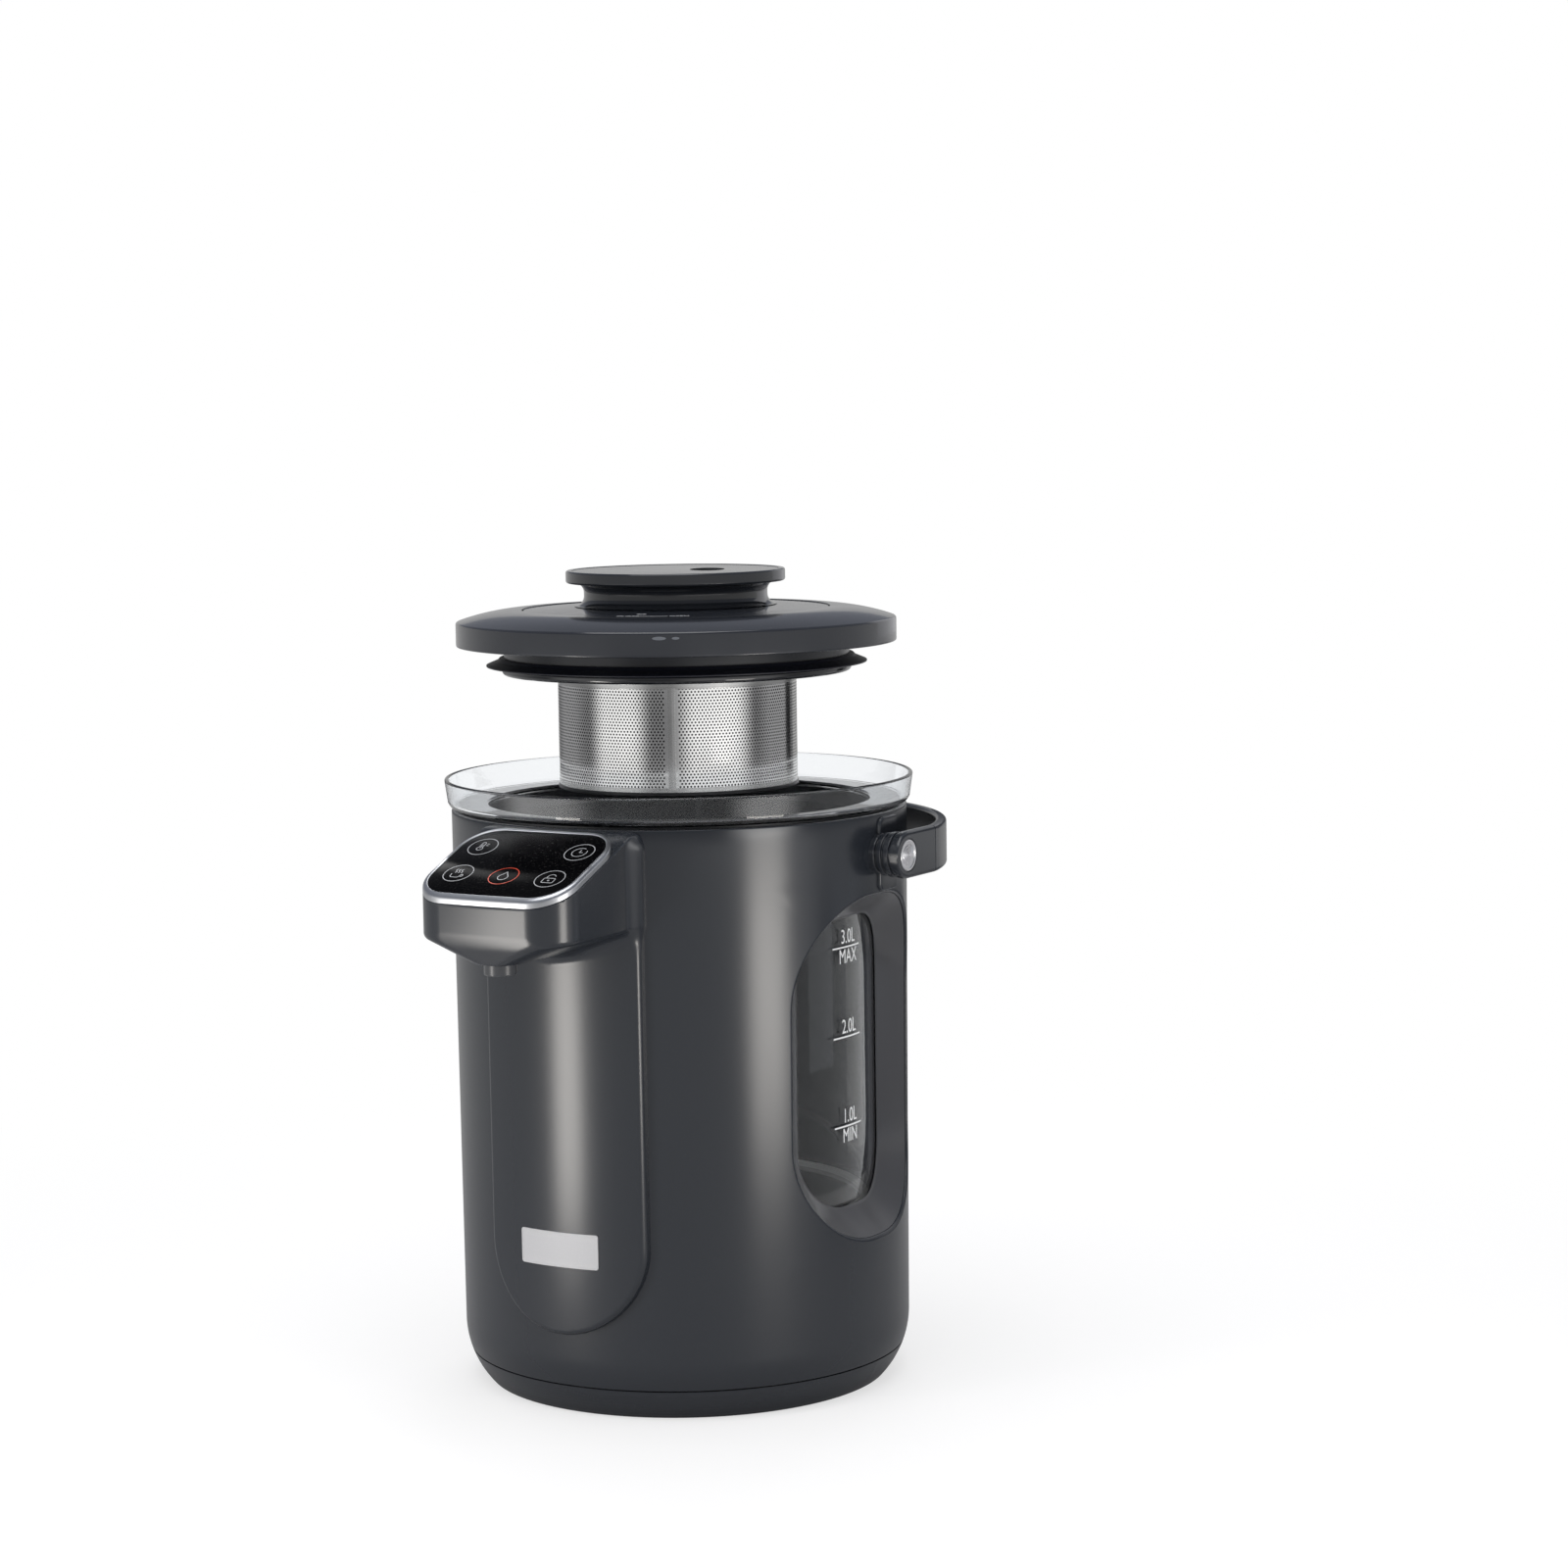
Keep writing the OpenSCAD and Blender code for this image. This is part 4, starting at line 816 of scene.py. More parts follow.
@dataclass(frozen=True)
class Finish:
    """One surface finish of the dispenser, with the names of the shader's own settings and these.

    Attributes:
        worn: Colour of its rubbed edges.
        wear: How far the edges are rubbed.
        drift: Slow change of the colour.
        grain: Height of the grain in micrometres, with the scale grain_size.
        ripple: Share of the soft ripple in the grain.
        smudge: How far handling changes the gloss.
        dust: Share of dust on upper faces.
        lay: Direction of tool lines: round the Z axis, rings about the X axis or along X.
        lines: Height of the tool lines in micrometres.
        glow: Strength of painted light, an emission of its own colour that makes a print look brighter.
        inside: Painted shade, the dark colour of the faces that look towards the axis, or None for no
            difference.
    """

    name: str
    colour: Colour
    roughness: float = 0.35
    metallic: float = 0.0
    worn: Colour = (0.25, 0.25, 0.26, 1.0)
    wear: float = 0.25
    drift: float = 0.08
    grain: float = 3.0
    grain_size: float = 1500.0
    ripple: float = 0.5
    smudge: float = 0.12
    dust: float = 0.12
    coat: float = 0.0
    coat_roughness: float = 0.05
    ior: float = 1.5
    specular: float = 0.5
    lay: Lay = Lay.NONE
    lines: float = 6.0
    transmission: float = 0.0
    glow: float = 0.0
    inside: Colour | None = None

    def line_vector(self, board: NodeBoard) -> Socket:
        """Give coordinates in which tool lines run straight.

        Args:
            board: The material's node board.

        Returns:
            A vector socket.
        """
        x, y, z = board.axes(board.place())
        slow = self.lay.value
        if self.lay is Lay.TURNED:
            radius = board.length(y, board.calc("SUBTRACT", z, PIVOT_Z * MM))
            spot = {"X": radius, "Y": board.calc("MULTIPLY", x, slow)}
        elif self.lay is Lay.ALONG:
            spot = {"X": board.calc("MULTIPLY", x, slow), "Y": y, "Z": z}
        else:
            turn = board.calc("ARCTAN2", y, x)
            spot = {"X": board.length(x, y), "Y": board.calc("MULTIPLY", turn, slow), "Z": z}
        return board.add("CombineXYZ", **spot).outputs[0]

    def build(self, effects: Effects) -> bpy.types.Material:
        """Make the material.

        Args:
            effects: The shared effect groups.

        Returns:
            The material.
        """
        material = bpy.data.materials.new(self.name)
        material.use_nodes = True
        board = NodeBoard(material.node_tree)
        grain = effects.grain.put(board, Grain_Size=self.grain_size, Ripple=self.ripple)
        marks = effects.marks.put(board, Roughness=self.roughness, Smudge=self.smudge)
        wear = effects.wear.put(board, Colour=self.colour, Worn_Colour=self.worn, Wear=self.wear,
                                Drift=self.drift, Speck=grain["Speck"])
        colour = board.mix(board.calc("MULTIPLY", marks["Dust"], self.dust), wear["Colour"], DUST)
        # Painted shade: faces that look towards the axis take the dark inside colour.
        if self.inside:
            colour = board.mix(effects.inward.put(board)["Inward"], colour, self.inside)
        bump = board.add("Bump", Distance=self.grain * MM * MM, Height=grain["Height"])
        if self.lay is not Lay.NONE:
            lines = effects.lines.put(board, Vector=self.line_vector(board))
            bump = board.add("Bump", Distance=self.lines * MM * MM, Height=lines["Height"],
                             Normal=bump.outputs["Normal"])
        inputs = {
            "Base Color": colour, "Roughness": marks["Roughness"], "Normal": bump.outputs["Normal"],
            "Metallic": self.metallic, "IOR": self.ior, "Specular IOR Level": self.specular,
            "Coat Weight": self.coat, "Coat Roughness": self.coat_roughness,
            "Transmission Weight": self.transmission,
        }
        # Painted light: a print with glow gives off light of its own colour, though it is no lamp.
        if self.glow:
            inputs |= {"Emission Color": colour, "Emission Strength": self.glow}
        for name, value in inputs.items():
            board.feed(material.node_tree.nodes["Principled BSDF"], name, value)
        return material


PIVOT_Z = 251.7
DUST = tone(196, 194, 190)
SHARP = 34.0

FINISHES: tuple[Finish, ...] = (
    Finish("body_plastic", tone(40, 44, 51), 0.25, worn=tone(96, 99, 104), ior=1.62, smudge=0.03),
    # The bezel is the housing's plastic, set lighter as painted light that the window ramp catches.
    Finish("bezel_plastic", tone(74, 75, 79), 0.3, worn=tone(100, 102, 108), ior=1.62, smudge=0.03),
    Finish("nozzle_plastic", tone(74, 76, 80), 0.3, worn=tone(120, 120, 122)),
    Finish("inner_plastic", tone(50, 52, 57), 0.45, worn=tone(96, 98, 100)),
    Finish("socket_black", tone(22, 22, 24), 0.42, worn=tone(70, 70, 72)),
    Finish("pad_rubber", tone(26, 26, 28), 0.8, grain=12.0, worn=tone(70, 70, 70)),
    Finish("seal_black", tone(20, 21, 24), 0.5, grain=5.0, worn=tone(60, 60, 64)),
    Finish("silicone_white", tone(214, 214, 210), 0.5, worn=tone(228, 228, 226)),
    Finish("screw_steel", tone(176, 177, 180), 0.3, 1.0, worn=tone(220, 220, 222), lay=Lay.ROUND),
    Finish("trim_silver", tone(196, 198, 202), 0.34, 1.0, worn=tone(235, 235, 236), grain=1.5,
           lay=Lay.ALONG, lines=2.0),
    Finish("cap_silver", tone(232, 232, 235), 0.2, 0.85, worn=tone(240, 240, 240), grain=1.0,
           lay=Lay.TURNED, lines=16.0),
    Finish("badge_silver", tone(206, 207, 211), 0.4, worn=tone(240, 240, 240), grain=1.5,
           lay=Lay.ALONG, lines=3.0),
    Finish("panel_black", tone(8, 8, 10), 0.2, worn=tone(30, 30, 32), wear=0.1, grain=0.2,
           smudge=0.06, ior=1.25, specular=0.08, dust=0.05),
    Finish("clear_tank", tone(246, 248, 250), 0.015, ior=1.47, wear=0.0, drift=0.01, grain=0.4,
           ripple=2.0, smudge=0.03, dust=0.0, transmission=1.0),
    Finish("lid_gloss", tone(42, 45, 52), 0.16, worn=tone(90, 94, 100), grain=0.6, dust=0.025,
           coat=0.4, coat_roughness=0.06),
    Finish("lid_plate_gloss", tone(24, 26, 31), 0.12, worn=tone(80, 84, 90), grain=0.5, coat=0.4),
    Finish("lid_plug", tone(28, 31, 38), 0.24, worn=tone(84, 88, 96), grain=0.8),
    Finish("knob_gloss", tone(42, 45, 51), 0.14, worn=tone(90, 94, 100), grain=0.5, dust=0.025,
           coat=0.4),
    # The basket's inward faces take painted shade, so that its holes look dark.
    Finish("steel_mesh", tone(214, 214, 213), 0.14, 1.0, worn=tone(236, 236, 234), grain=1.5,
           lay=Lay.ROUND, lines=3.0, inside=tone(40, 40, 42)),
    Finish("steel_brushed", tone(176, 176, 175), 0.22, 1.0, worn=tone(230, 230, 230),
           lay=Lay.ROUND, lines=8.0),
    Finish("steel_polished", tone(200, 200, 200), 0.16, 1.0, worn=tone(230, 230, 230), grain=1.0,
           lay=Lay.ROUND, lines=5.0),
    Finish("infuser_trim", tone(52, 52, 54), 0.3, 0.7, worn=tone(150, 150, 150)),
    Finish("circuit_board", tone(22, 74, 46), 0.4, worn=tone(120, 130, 90)),
    Finish("component_orange", tone(214, 84, 34), 0.4, worn=tone(230, 160, 120)),
    Finish("spring_brass", tone(200, 166, 92), 0.25, 1.0, worn=tone(230, 206, 150)),
    Finish("ceramic_white", tone(226, 222, 212), 0.35, worn=tone(236, 234, 228)),
    Finish("pump_plastic", tone(196, 194, 186), 0.42, worn=tone(214, 212, 206)),
    Finish("ribbon_grey", tone(150, 152, 156), 0.5, worn=tone(180, 182, 186)),
    # Prints, linings and painted shade, which have no slot of their own
    Finish("lip_navy", tone(27, 29, 40), 0.4, worn=tone(60, 62, 72), wear=0.1),
    Finish("rim_grey", tone(112, 116, 124), 0.4, wear=0.0, grain=1.0),
    # The glow of these prints is painted light that brightens them beyond their lighting.
    Finish("mark_white", tone(226, 228, 230), 0.5, wear=0.0, grain=1.0, glow=0.25),
    Finish("icon_grey", tone(168, 170, 174), 0.4, wear=0.0, grain=0.5, glow=0.3),
    Finish("icon_red", tone(196, 62, 30), 0.4, wear=0.0, grain=0.5, glow=0.35),
    Finish("gauze_dark", tone(38, 38, 40), 0.6, 0.3, wear=0.0, grain=6.0),
    # A near-black sheet in the knob's vent: painted shade for the vent's dark depth.
    Finish("seam_dark", tone(12, 12, 14), 0.6, wear=0.0, grain=2.0),
)

def new_mesh(name: str, points: Sequence[Sequence[float]], faces: Faces) -> bpy.types.Mesh:
    """Make a mesh from points in metres.

    Args:
        name: The mesh's name.
        points: Its points.
        faces: Its faces.

    Returns:
        The mesh.
    """
    mesh = bpy.data.meshes.new(name)
    mesh.from_pydata(points, [], faces)
    return mesh


def smooth(mesh: bpy.types.Mesh, sharp: float = 180.0) -> None:
    """Shade a mesh smoothly, but for edges that are sharper than an angle in degrees."""
    mesh.polygons.foreach_set("use_smooth", [True] * len(mesh.polygons))
    if sharp < 180:
        mesh.set_sharp_from_angle(angle=math.radians(sharp))


def linked(name: str, data: bpy.types.ID) -> bpy.types.Object:
    """Put a new object in the scene.

    Args:
        name: The object's name.
        data: Its mesh, curve, lamp or camera.

    Returns:
        The object.
    """
    holder = bpy.data.objects.new(name, data)
    bpy.context.scene.collection.objects.link(holder)
    return holder


class Workshop:
    """Makes objects from shapes and hands out the materials."""

    def __init__(self) -> None:
        """Build the effects and every material."""
        effects = Effects()
        self.materials = {finish.name: finish.build(effects) for finish in FINISHES}

    def make(self, name: str, shape: Shape, body: str, slot: str, stands_for: Sequence[str] = (),
             material: str = "", sharp: float = SHARP) -> bpy.types.Object:
        """Turn a shape into a piece of the dispenser.

        Args:
            name: The piece's name.
            shape: Its mesh in millimetres.
            body: The body that it rides on.
            slot: The material slot that it takes its finish from.
            stands_for: CAD nodes that it replaces.
            material: The finish's name where it isn't the slot's own.
            sharp: Angle above which an edge is sharp, in degrees.

        Returns:
            The new object.
        """
        mesh = new_mesh(name, (shape.points * MM).tolist(), shape.faces)
        if shape.normals is None:
            smooth(mesh, sharp)
        else:
            smooth(mesh)
            mesh.normals_split_custom_set_from_vertices(shape.normals.tolist())
        mesh.materials.append(self.materials[material or slot])
        piece = linked(name, mesh)
        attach(piece, body)
        if stands_for:
            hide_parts(*stands_for)
        LOG.info("%s: %d faces on %s", name, len(mesh.polygons), body)
        return piece

    def carve(self, piece: bpy.types.Object, cutter: Shape) -> None:
        """Cut a shape out of a piece.

        Args:
            piece: The piece to cut.
            cutter: The shape to take away.
        """
        mesh = new_mesh("cutter", (cutter.points * MM).tolist(), cutter.faces)
        knife = linked("cutter", mesh)
        cut = piece.modifiers.new("cut", "BOOLEAN")
        cut.operation = "DIFFERENCE"
        cut.solver = "EXACT"
        cut.object = knife
        view = bpy.context.evaluated_depsgraph_get()
        result = bpy.data.meshes.new_from_object(piece.evaluated_get(view))
        piece.modifiers.remove(cut)
        old = piece.data
        piece.data = result
        bpy.data.meshes.remove(old)
        bpy.data.objects.remove(knife)
        bpy.data.meshes.remove(mesh)
        smooth(result, SHARP)

    def lettering(self, text: str, height: float, depth: float, squeeze: float) -> Shape:
        """Make plain raised letters, centred on the origin.

        Args:
            text: What they say.
            height: Height of a capital letter.
            depth: How far they stand out.
            squeeze: Width of the letters against their normal width.

        Returns:
            The letters, with their reading direction along X and their faces towards +Z.
        """
        cap_share = 0.7
        curve = bpy.data.curves.new("letters", "FONT")
        curve.body = text
        curve.size = height / cap_share
        curve.extrude = depth / 2
        curve.align_x = "CENTER"
        curve.align_y = "CENTER"
        curve.resolution_u = 3
        holder = linked("letters", curve)
        view = bpy.context.evaluated_depsgraph_get()
        mesh = bpy.data.meshes.new_from_object(holder.evaluated_get(view))
        spots = np.round(np.array([v.co[:] for v in mesh.vertices]), 4)
        points, back = np.unique(spots, axis=0, return_inverse=True)
        number = back.ravel().tolist()
        merged = [tuple(dict.fromkeys(number[i] for i in polygon.vertices)) for polygon in mesh.polygons]
        bpy.data.objects.remove(holder)
        bpy.data.curves.remove(curve)
        bpy.data.meshes.remove(mesh)
        return Shape(points * np.array([squeeze, 1.0, 1.0]), [face for face in merged if len(face) > 2])


# Sub-assemblies


@dataclass(frozen=True)
class SideProfile:
    """Outline of the body's side, which most outer pieces follow."""

    foot_r: float = 105.6
    draft: float = 1.4
    round_z: float = 28.0
    lower_round: float = 41.4
    top: float = 270.0
    wall: float = 2.4

    def radius(self, z: Numbers) -> Array:
        """Work out the side's radius.

        Args:
            z: Heights.

        Returns:
            The radius at each height.
        """
        height = np.asarray(z, float)
        lean = self.foot_r + self.draft * (height - self.round_z) / (self.top - self.round_z)
        below = np.clip(self.round_z - height, 0, self.lower_round)
        foot = self.foot_r - self.lower_round + np.sqrt(self.lower_round ** 2 - below ** 2)
        return np.where(height >= self.round_z, lean, foot)


SIDE = SideProfile()


@dataclass(frozen=True)
class SideHole:
    """A rounded opening in the side of the housing.

    Attributes:
        facing: Direction that it faces, in degrees from +X towards +Y.
        roll: Radius of its rolled edge.
        margin: Width of the mesh patch round it.
        columns: Steps of the mesh across the patch.
    """

    facing: float
    half_w: float
    low: float
    high: float
    corner: float
    roll: float
    margin: float
    columns: int

    def half_angle(self) -> float:
        """Return half the angle that the patch takes up, in degrees."""
        return math.degrees(math.asin((self.half_w + self.margin) / SIDE.foot_r))

    def on_side(self, across: Array, z: Array, depth: Numbers) -> Array:
        """Place points of the patch on the housing's side.

        Args:
            across: Distance across the opening from its middle.
            z: Height.
            depth: Depth below the side's surface.

        Returns:
            One row of x, y and z for each point.
        """
        out = np.sqrt((SIDE.radius(z) - depth) ** 2 - across ** 2)
        turn = math.radians(self.facing)
        x = out * math.cos(turn) - across * math.sin(turn)
        y = out * math.sin(turn) + across * math.cos(turn)
        return np.stack([x, y, z], 1)


WINDOW = SideHole(0.0, 53.7, 74.2, 232.8, 48.0, 1.6, 9.0, 44)
SOCKET = SideHole(90.0, 13.5, 36.0, 56.0, 1.2, 0.5, 4.0, 14)


@dataclass
class Housing:
    """The outer shell with its window and socket openings."""

    shop: Workshop
    seam: float = 14.0
    seam_gap: float = 0.35
    edge: float = 0.7
    hold: float = 0.4
    foot_z: tuple[float, float] = (16.2, 30.0)
    column_step: float = 2.2
    spread: tuple[float, ...] = (0.72, 0.5, 0.32, 0.18, 0.08)
    holes: tuple[SideHole, ...] = (WINDOW, SOCKET)

    def levels(self) -> list[tuple[float, float]]:
        """Lay out the mesh's rows, from the seam to the top edge.

        Returns:
            Each row as (height, depth).
        """
        low, high = self.seam + self.seam_gap, SIDE.top
        ease = [(self.edge * (1 - math.cos(a)), self.edge * (1 - math.sin(a)))
                for a in np.radians([0, 22.5, 45, 67.5, 90])]
        rows = [(low + rise, depth) for rise, depth in ease] + [(low + self.edge + self.hold, 0.0)]
        stops = [(*self.foot_z, 9), (SOCKET.low - SOCKET.margin, SOCKET.high + SOCKET.margin, 14),
                 (WINDOW.low - WINDOW.margin, WINDOW.high + WINDOW.margin, 64),
                 (WINDOW.high + WINDOW.margin + 3, high - self.edge - self.hold, 9)]
        for start, end, steps in stops:
            rows += [(start + (end - start) * i / steps, 0.0) for i in range(steps + 1)]
        return rows + [(high - drop, depth) for depth, drop in ease]

    def columns(self) -> list[float]:
        """Lay out the mesh's columns, with the openings' patches in them.

        Returns:
            Their angles in degrees.
        """
        angles: list[float] = []
        blocks = [(h.facing - h.half_angle(), h.facing + h.half_angle(), h.columns) for h in self.holes]
        for i, (start, end, steps) in enumerate(blocks):
            angles += [start + (end - start) * k / steps for k in range(steps)]
            ahead = blocks[(i + 1) % len(blocks)][0] + (360 if i + 1 == len(blocks) else 0)
            gap = max(1, round((ahead - end) / self.column_step))
            angles += [end + (ahead - end) * k / gap for k in range(gap)]
        return angles

    def patch(self, hole: SideHole, border: list[int], outer: list[Array], inner: list[Array],
              faces: Faces) -> None:
        """Fill the mesh between a block's border and the opening in it.

        Args:
            hole: The opening.
            border: Point numbers of the block's border, anticlockwise from outside.
            outer: Points of the outer sheet, which grow.
            inner: Points of the inner sheet, which grow.
            faces: Faces of the sheet, which grow.
        """
        edge = np.array([outer[i] for i in border])
        turn = math.radians(hole.facing)
        across = -edge[:, 0] * math.sin(turn) + edge[:, 1] * math.cos(turn)
        height = edge[:, 2]
        core_u = np.clip(across, hole.corner - hole.half_w, hole.half_w - hole.corner)
        core_v = np.clip(height, hole.low + hole.corner, hole.high - hole.corner)
        reach = np.hypot(across - core_u, height - core_v)
        way_u, way_v = (across - core_u) / reach, (height - core_v) / reach
        near = hole.corner + hole.roll
        steps = [(near + (reach - near) * t, 0.0) for t in self.spread]
        steps.append((np.full_like(reach, near + 0.3), 0.0))
        for a in np.radians(np.linspace(0, 90, 7)):
            offset = hole.corner + hole.roll * (1 - math.sin(a))
            steps.append((np.full_like(reach, offset), hole.roll * (1 - math.cos(a))))
        before = border
        for offset, depth in steps:
            u, v = core_u + way_u * offset, core_v + way_v * offset
            ring = list(range(len(outer), len(outer) + len(border)))
            outer += list(hole.on_side(u, v, depth))
            inner += list(hole.on_side(u, v, SIDE.wall))
            faces += zip(before, before[1:] + before[:1], ring[1:] + ring[:1], ring)
            before = ring

    def build(self) -> None:
        """Mesh the shell and make its piece."""
        rows, turns = self.levels(), self.columns()
        outer: list[Array] = []
        inner: list[Array] = []
        for z, depth in rows:
            for angle in np.radians(turns):
                way = np.array([math.cos(angle), math.sin(angle), 0.0])
                outer.append(way * (SIDE.radius(z) - depth) + np.array([0, 0, z]))
                inner.append(way * (SIDE.radius(z) - SIDE.wall) + np.array([0, 0, z]))
        wide = len(turns)
        faces: Faces = []
        blocks = []
        for hole in self.holes:
            left = min(range(wide), key=lambda k: abs(turns[k] - (hole.facing - hole.half_angle())))
            bottom = min(range(len(rows)), key=lambda k: abs(rows[k][0] - (hole.low - hole.margin)))
            top = min(range(len(rows)), key=lambda k: abs(rows[k][0] - (hole.high + hole.margin)))
            blocks.append((hole, left, left + hole.columns, bottom, top))
        for j in range(len(rows) - 1):
            for i in range(wide):
                if any(lo <= i < hi and bottom <= j < top for _, lo, hi, bottom, top in blocks):
                    continue
                k = (i + 1) % wide
                faces.append((j * wide + i, j * wide + k, (j + 1) * wide + k, (j + 1) * wide + i))
        for hole, lo, hi, bottom, top in blocks:
            border = [bottom * wide + i for i in range(lo, hi)]
            border += [j * wide + hi for j in range(bottom, top)]
            border += [top * wide + i for i in range(hi, lo, -1)]
            border += [j * wide + lo for j in range(top, bottom, -1)]
            self.patch(hole, border, outer, inner, faces)
        skin = thickened(np.array(outer), np.array(inner), faces)
        self.shop.make("housing_skin", skin, "root", "body_plastic", ["outer_housing"])


@dataclass
class WindowBezel:
    """The sloping frame from the housing's side in to the tank."""

    shop: Workshop
    sight_half_w: float = 37.5
    sight_low: float = 87.5
    sight_high: float = 222.0
    sight_corner: float = 29.0
    tank_r: float = 91.2
    back: float = 2.0
    flange: float = 3.0
    gap: float = 0.1
    lip: float = 0.8
    dish: float = 0.5
    slope: tuple[float, ...] = (0, 0.04, 0.12, 0.25, 0.4, 0.55, 0.7, 0.85, 0.95, 1)

    def side_ring(self, grow: float, depth: float) -> Array:
        """Return the window's outline on the housing's side, grown and sunk."""
        spots = round_box(WINDOW.half_w + grow, WINDOW.low - grow, WINDOW.high + grow, WINDOW.corner + grow)
        return WINDOW.on_side(*np.array(spots).T, depth)

    def sight_ring(self, grow: float, radius: float) -> Array:
        """Lay the sight opening's outline on a round.

        Args:
            grow: How far it is grown.
            radius: Radius of the round.

        Returns:
            Its points.
        """
        across, z = np.array(round_box(self.sight_half_w + grow, self.sight_low - grow,
                                       self.sight_high + grow, self.sight_corner + grow)).T
        return np.stack([np.sqrt(radius ** 2 - across ** 2), across, z], 1)

    def build(self) -> None:
        """Loft the ramp, its rounded inner lip and its hidden back."""
        lip_out = self.lip * 0.9
        top = self.side_ring(-0.05, WINDOW.roll)
        foot = self.sight_ring(self.lip, self.tank_r + lip_out)
        rings = []
        for t in self.slope:
            ring = top + (foot - top) * t
            around = np.hypot(ring[:, 0], ring[:, 1])
            ring[:, :2] *= ((around - self.dish * math.sin(math.pi * t)) / around)[:, None]
            rings.append(ring)
        for a in np.radians([25, 50, 75, 90]):
            rings.append(self.sight_ring(self.lip * (1 - math.sin(a)),
                                         self.tank_r + lip_out * (1 - math.sin(a) * 0.5)))
        rings += [self.sight_ring(0, self.tank_r), self.sight_ring(self.back, self.tank_r),
                  self.side_ring(self.flange, SIDE.wall + self.back),
                  self.side_ring(self.flange, SIDE.wall + self.gap),
                  self.side_ring(-0.05, SIDE.wall + self.gap)]
        self.shop.make("window_frame", loft(rings, around=True), "root", "bezel_plastic", ["window_bezel"])


@dataclass(frozen=True)
class PanelPlane:
    """Place of the tilted touch panel and outline of the head below it."""

    back: float = -108.6
    back_z: float = 269.9
    lean: float = math.radians(23)
    half_w: float = 39.5
    front: float = -165.2
    corner: float = 17.5
    bow: float = 0.6

    def bowed(self, x: Array, y: Array) -> Array:
        """Return how far the head's front falls back at each place, from its soft bow."""
        share = np.clip((self.back - y) / (self.back - self.front), 0, 1)
        return self.bow * (x / self.half_w) ** 2 * share

    def matrix(self) -> Matrix:
        """Return the panel's frame, with -Y down its slope and +Z out of it."""
        return Matrix.Translation((0, self.back, self.back_z)) @ Matrix.Rotation(self.lean, 4, "X")

    def height(self, y: Array, depth: Numbers) -> Array:
        """Return the height of the panel's plane at y, moved out of it by depth."""
        return self.back_z + (y - self.back) * math.tan(self.lean) + depth / math.cos(self.lean)


PANEL = PanelPlane()


COLUMN_PROUD = 4.6


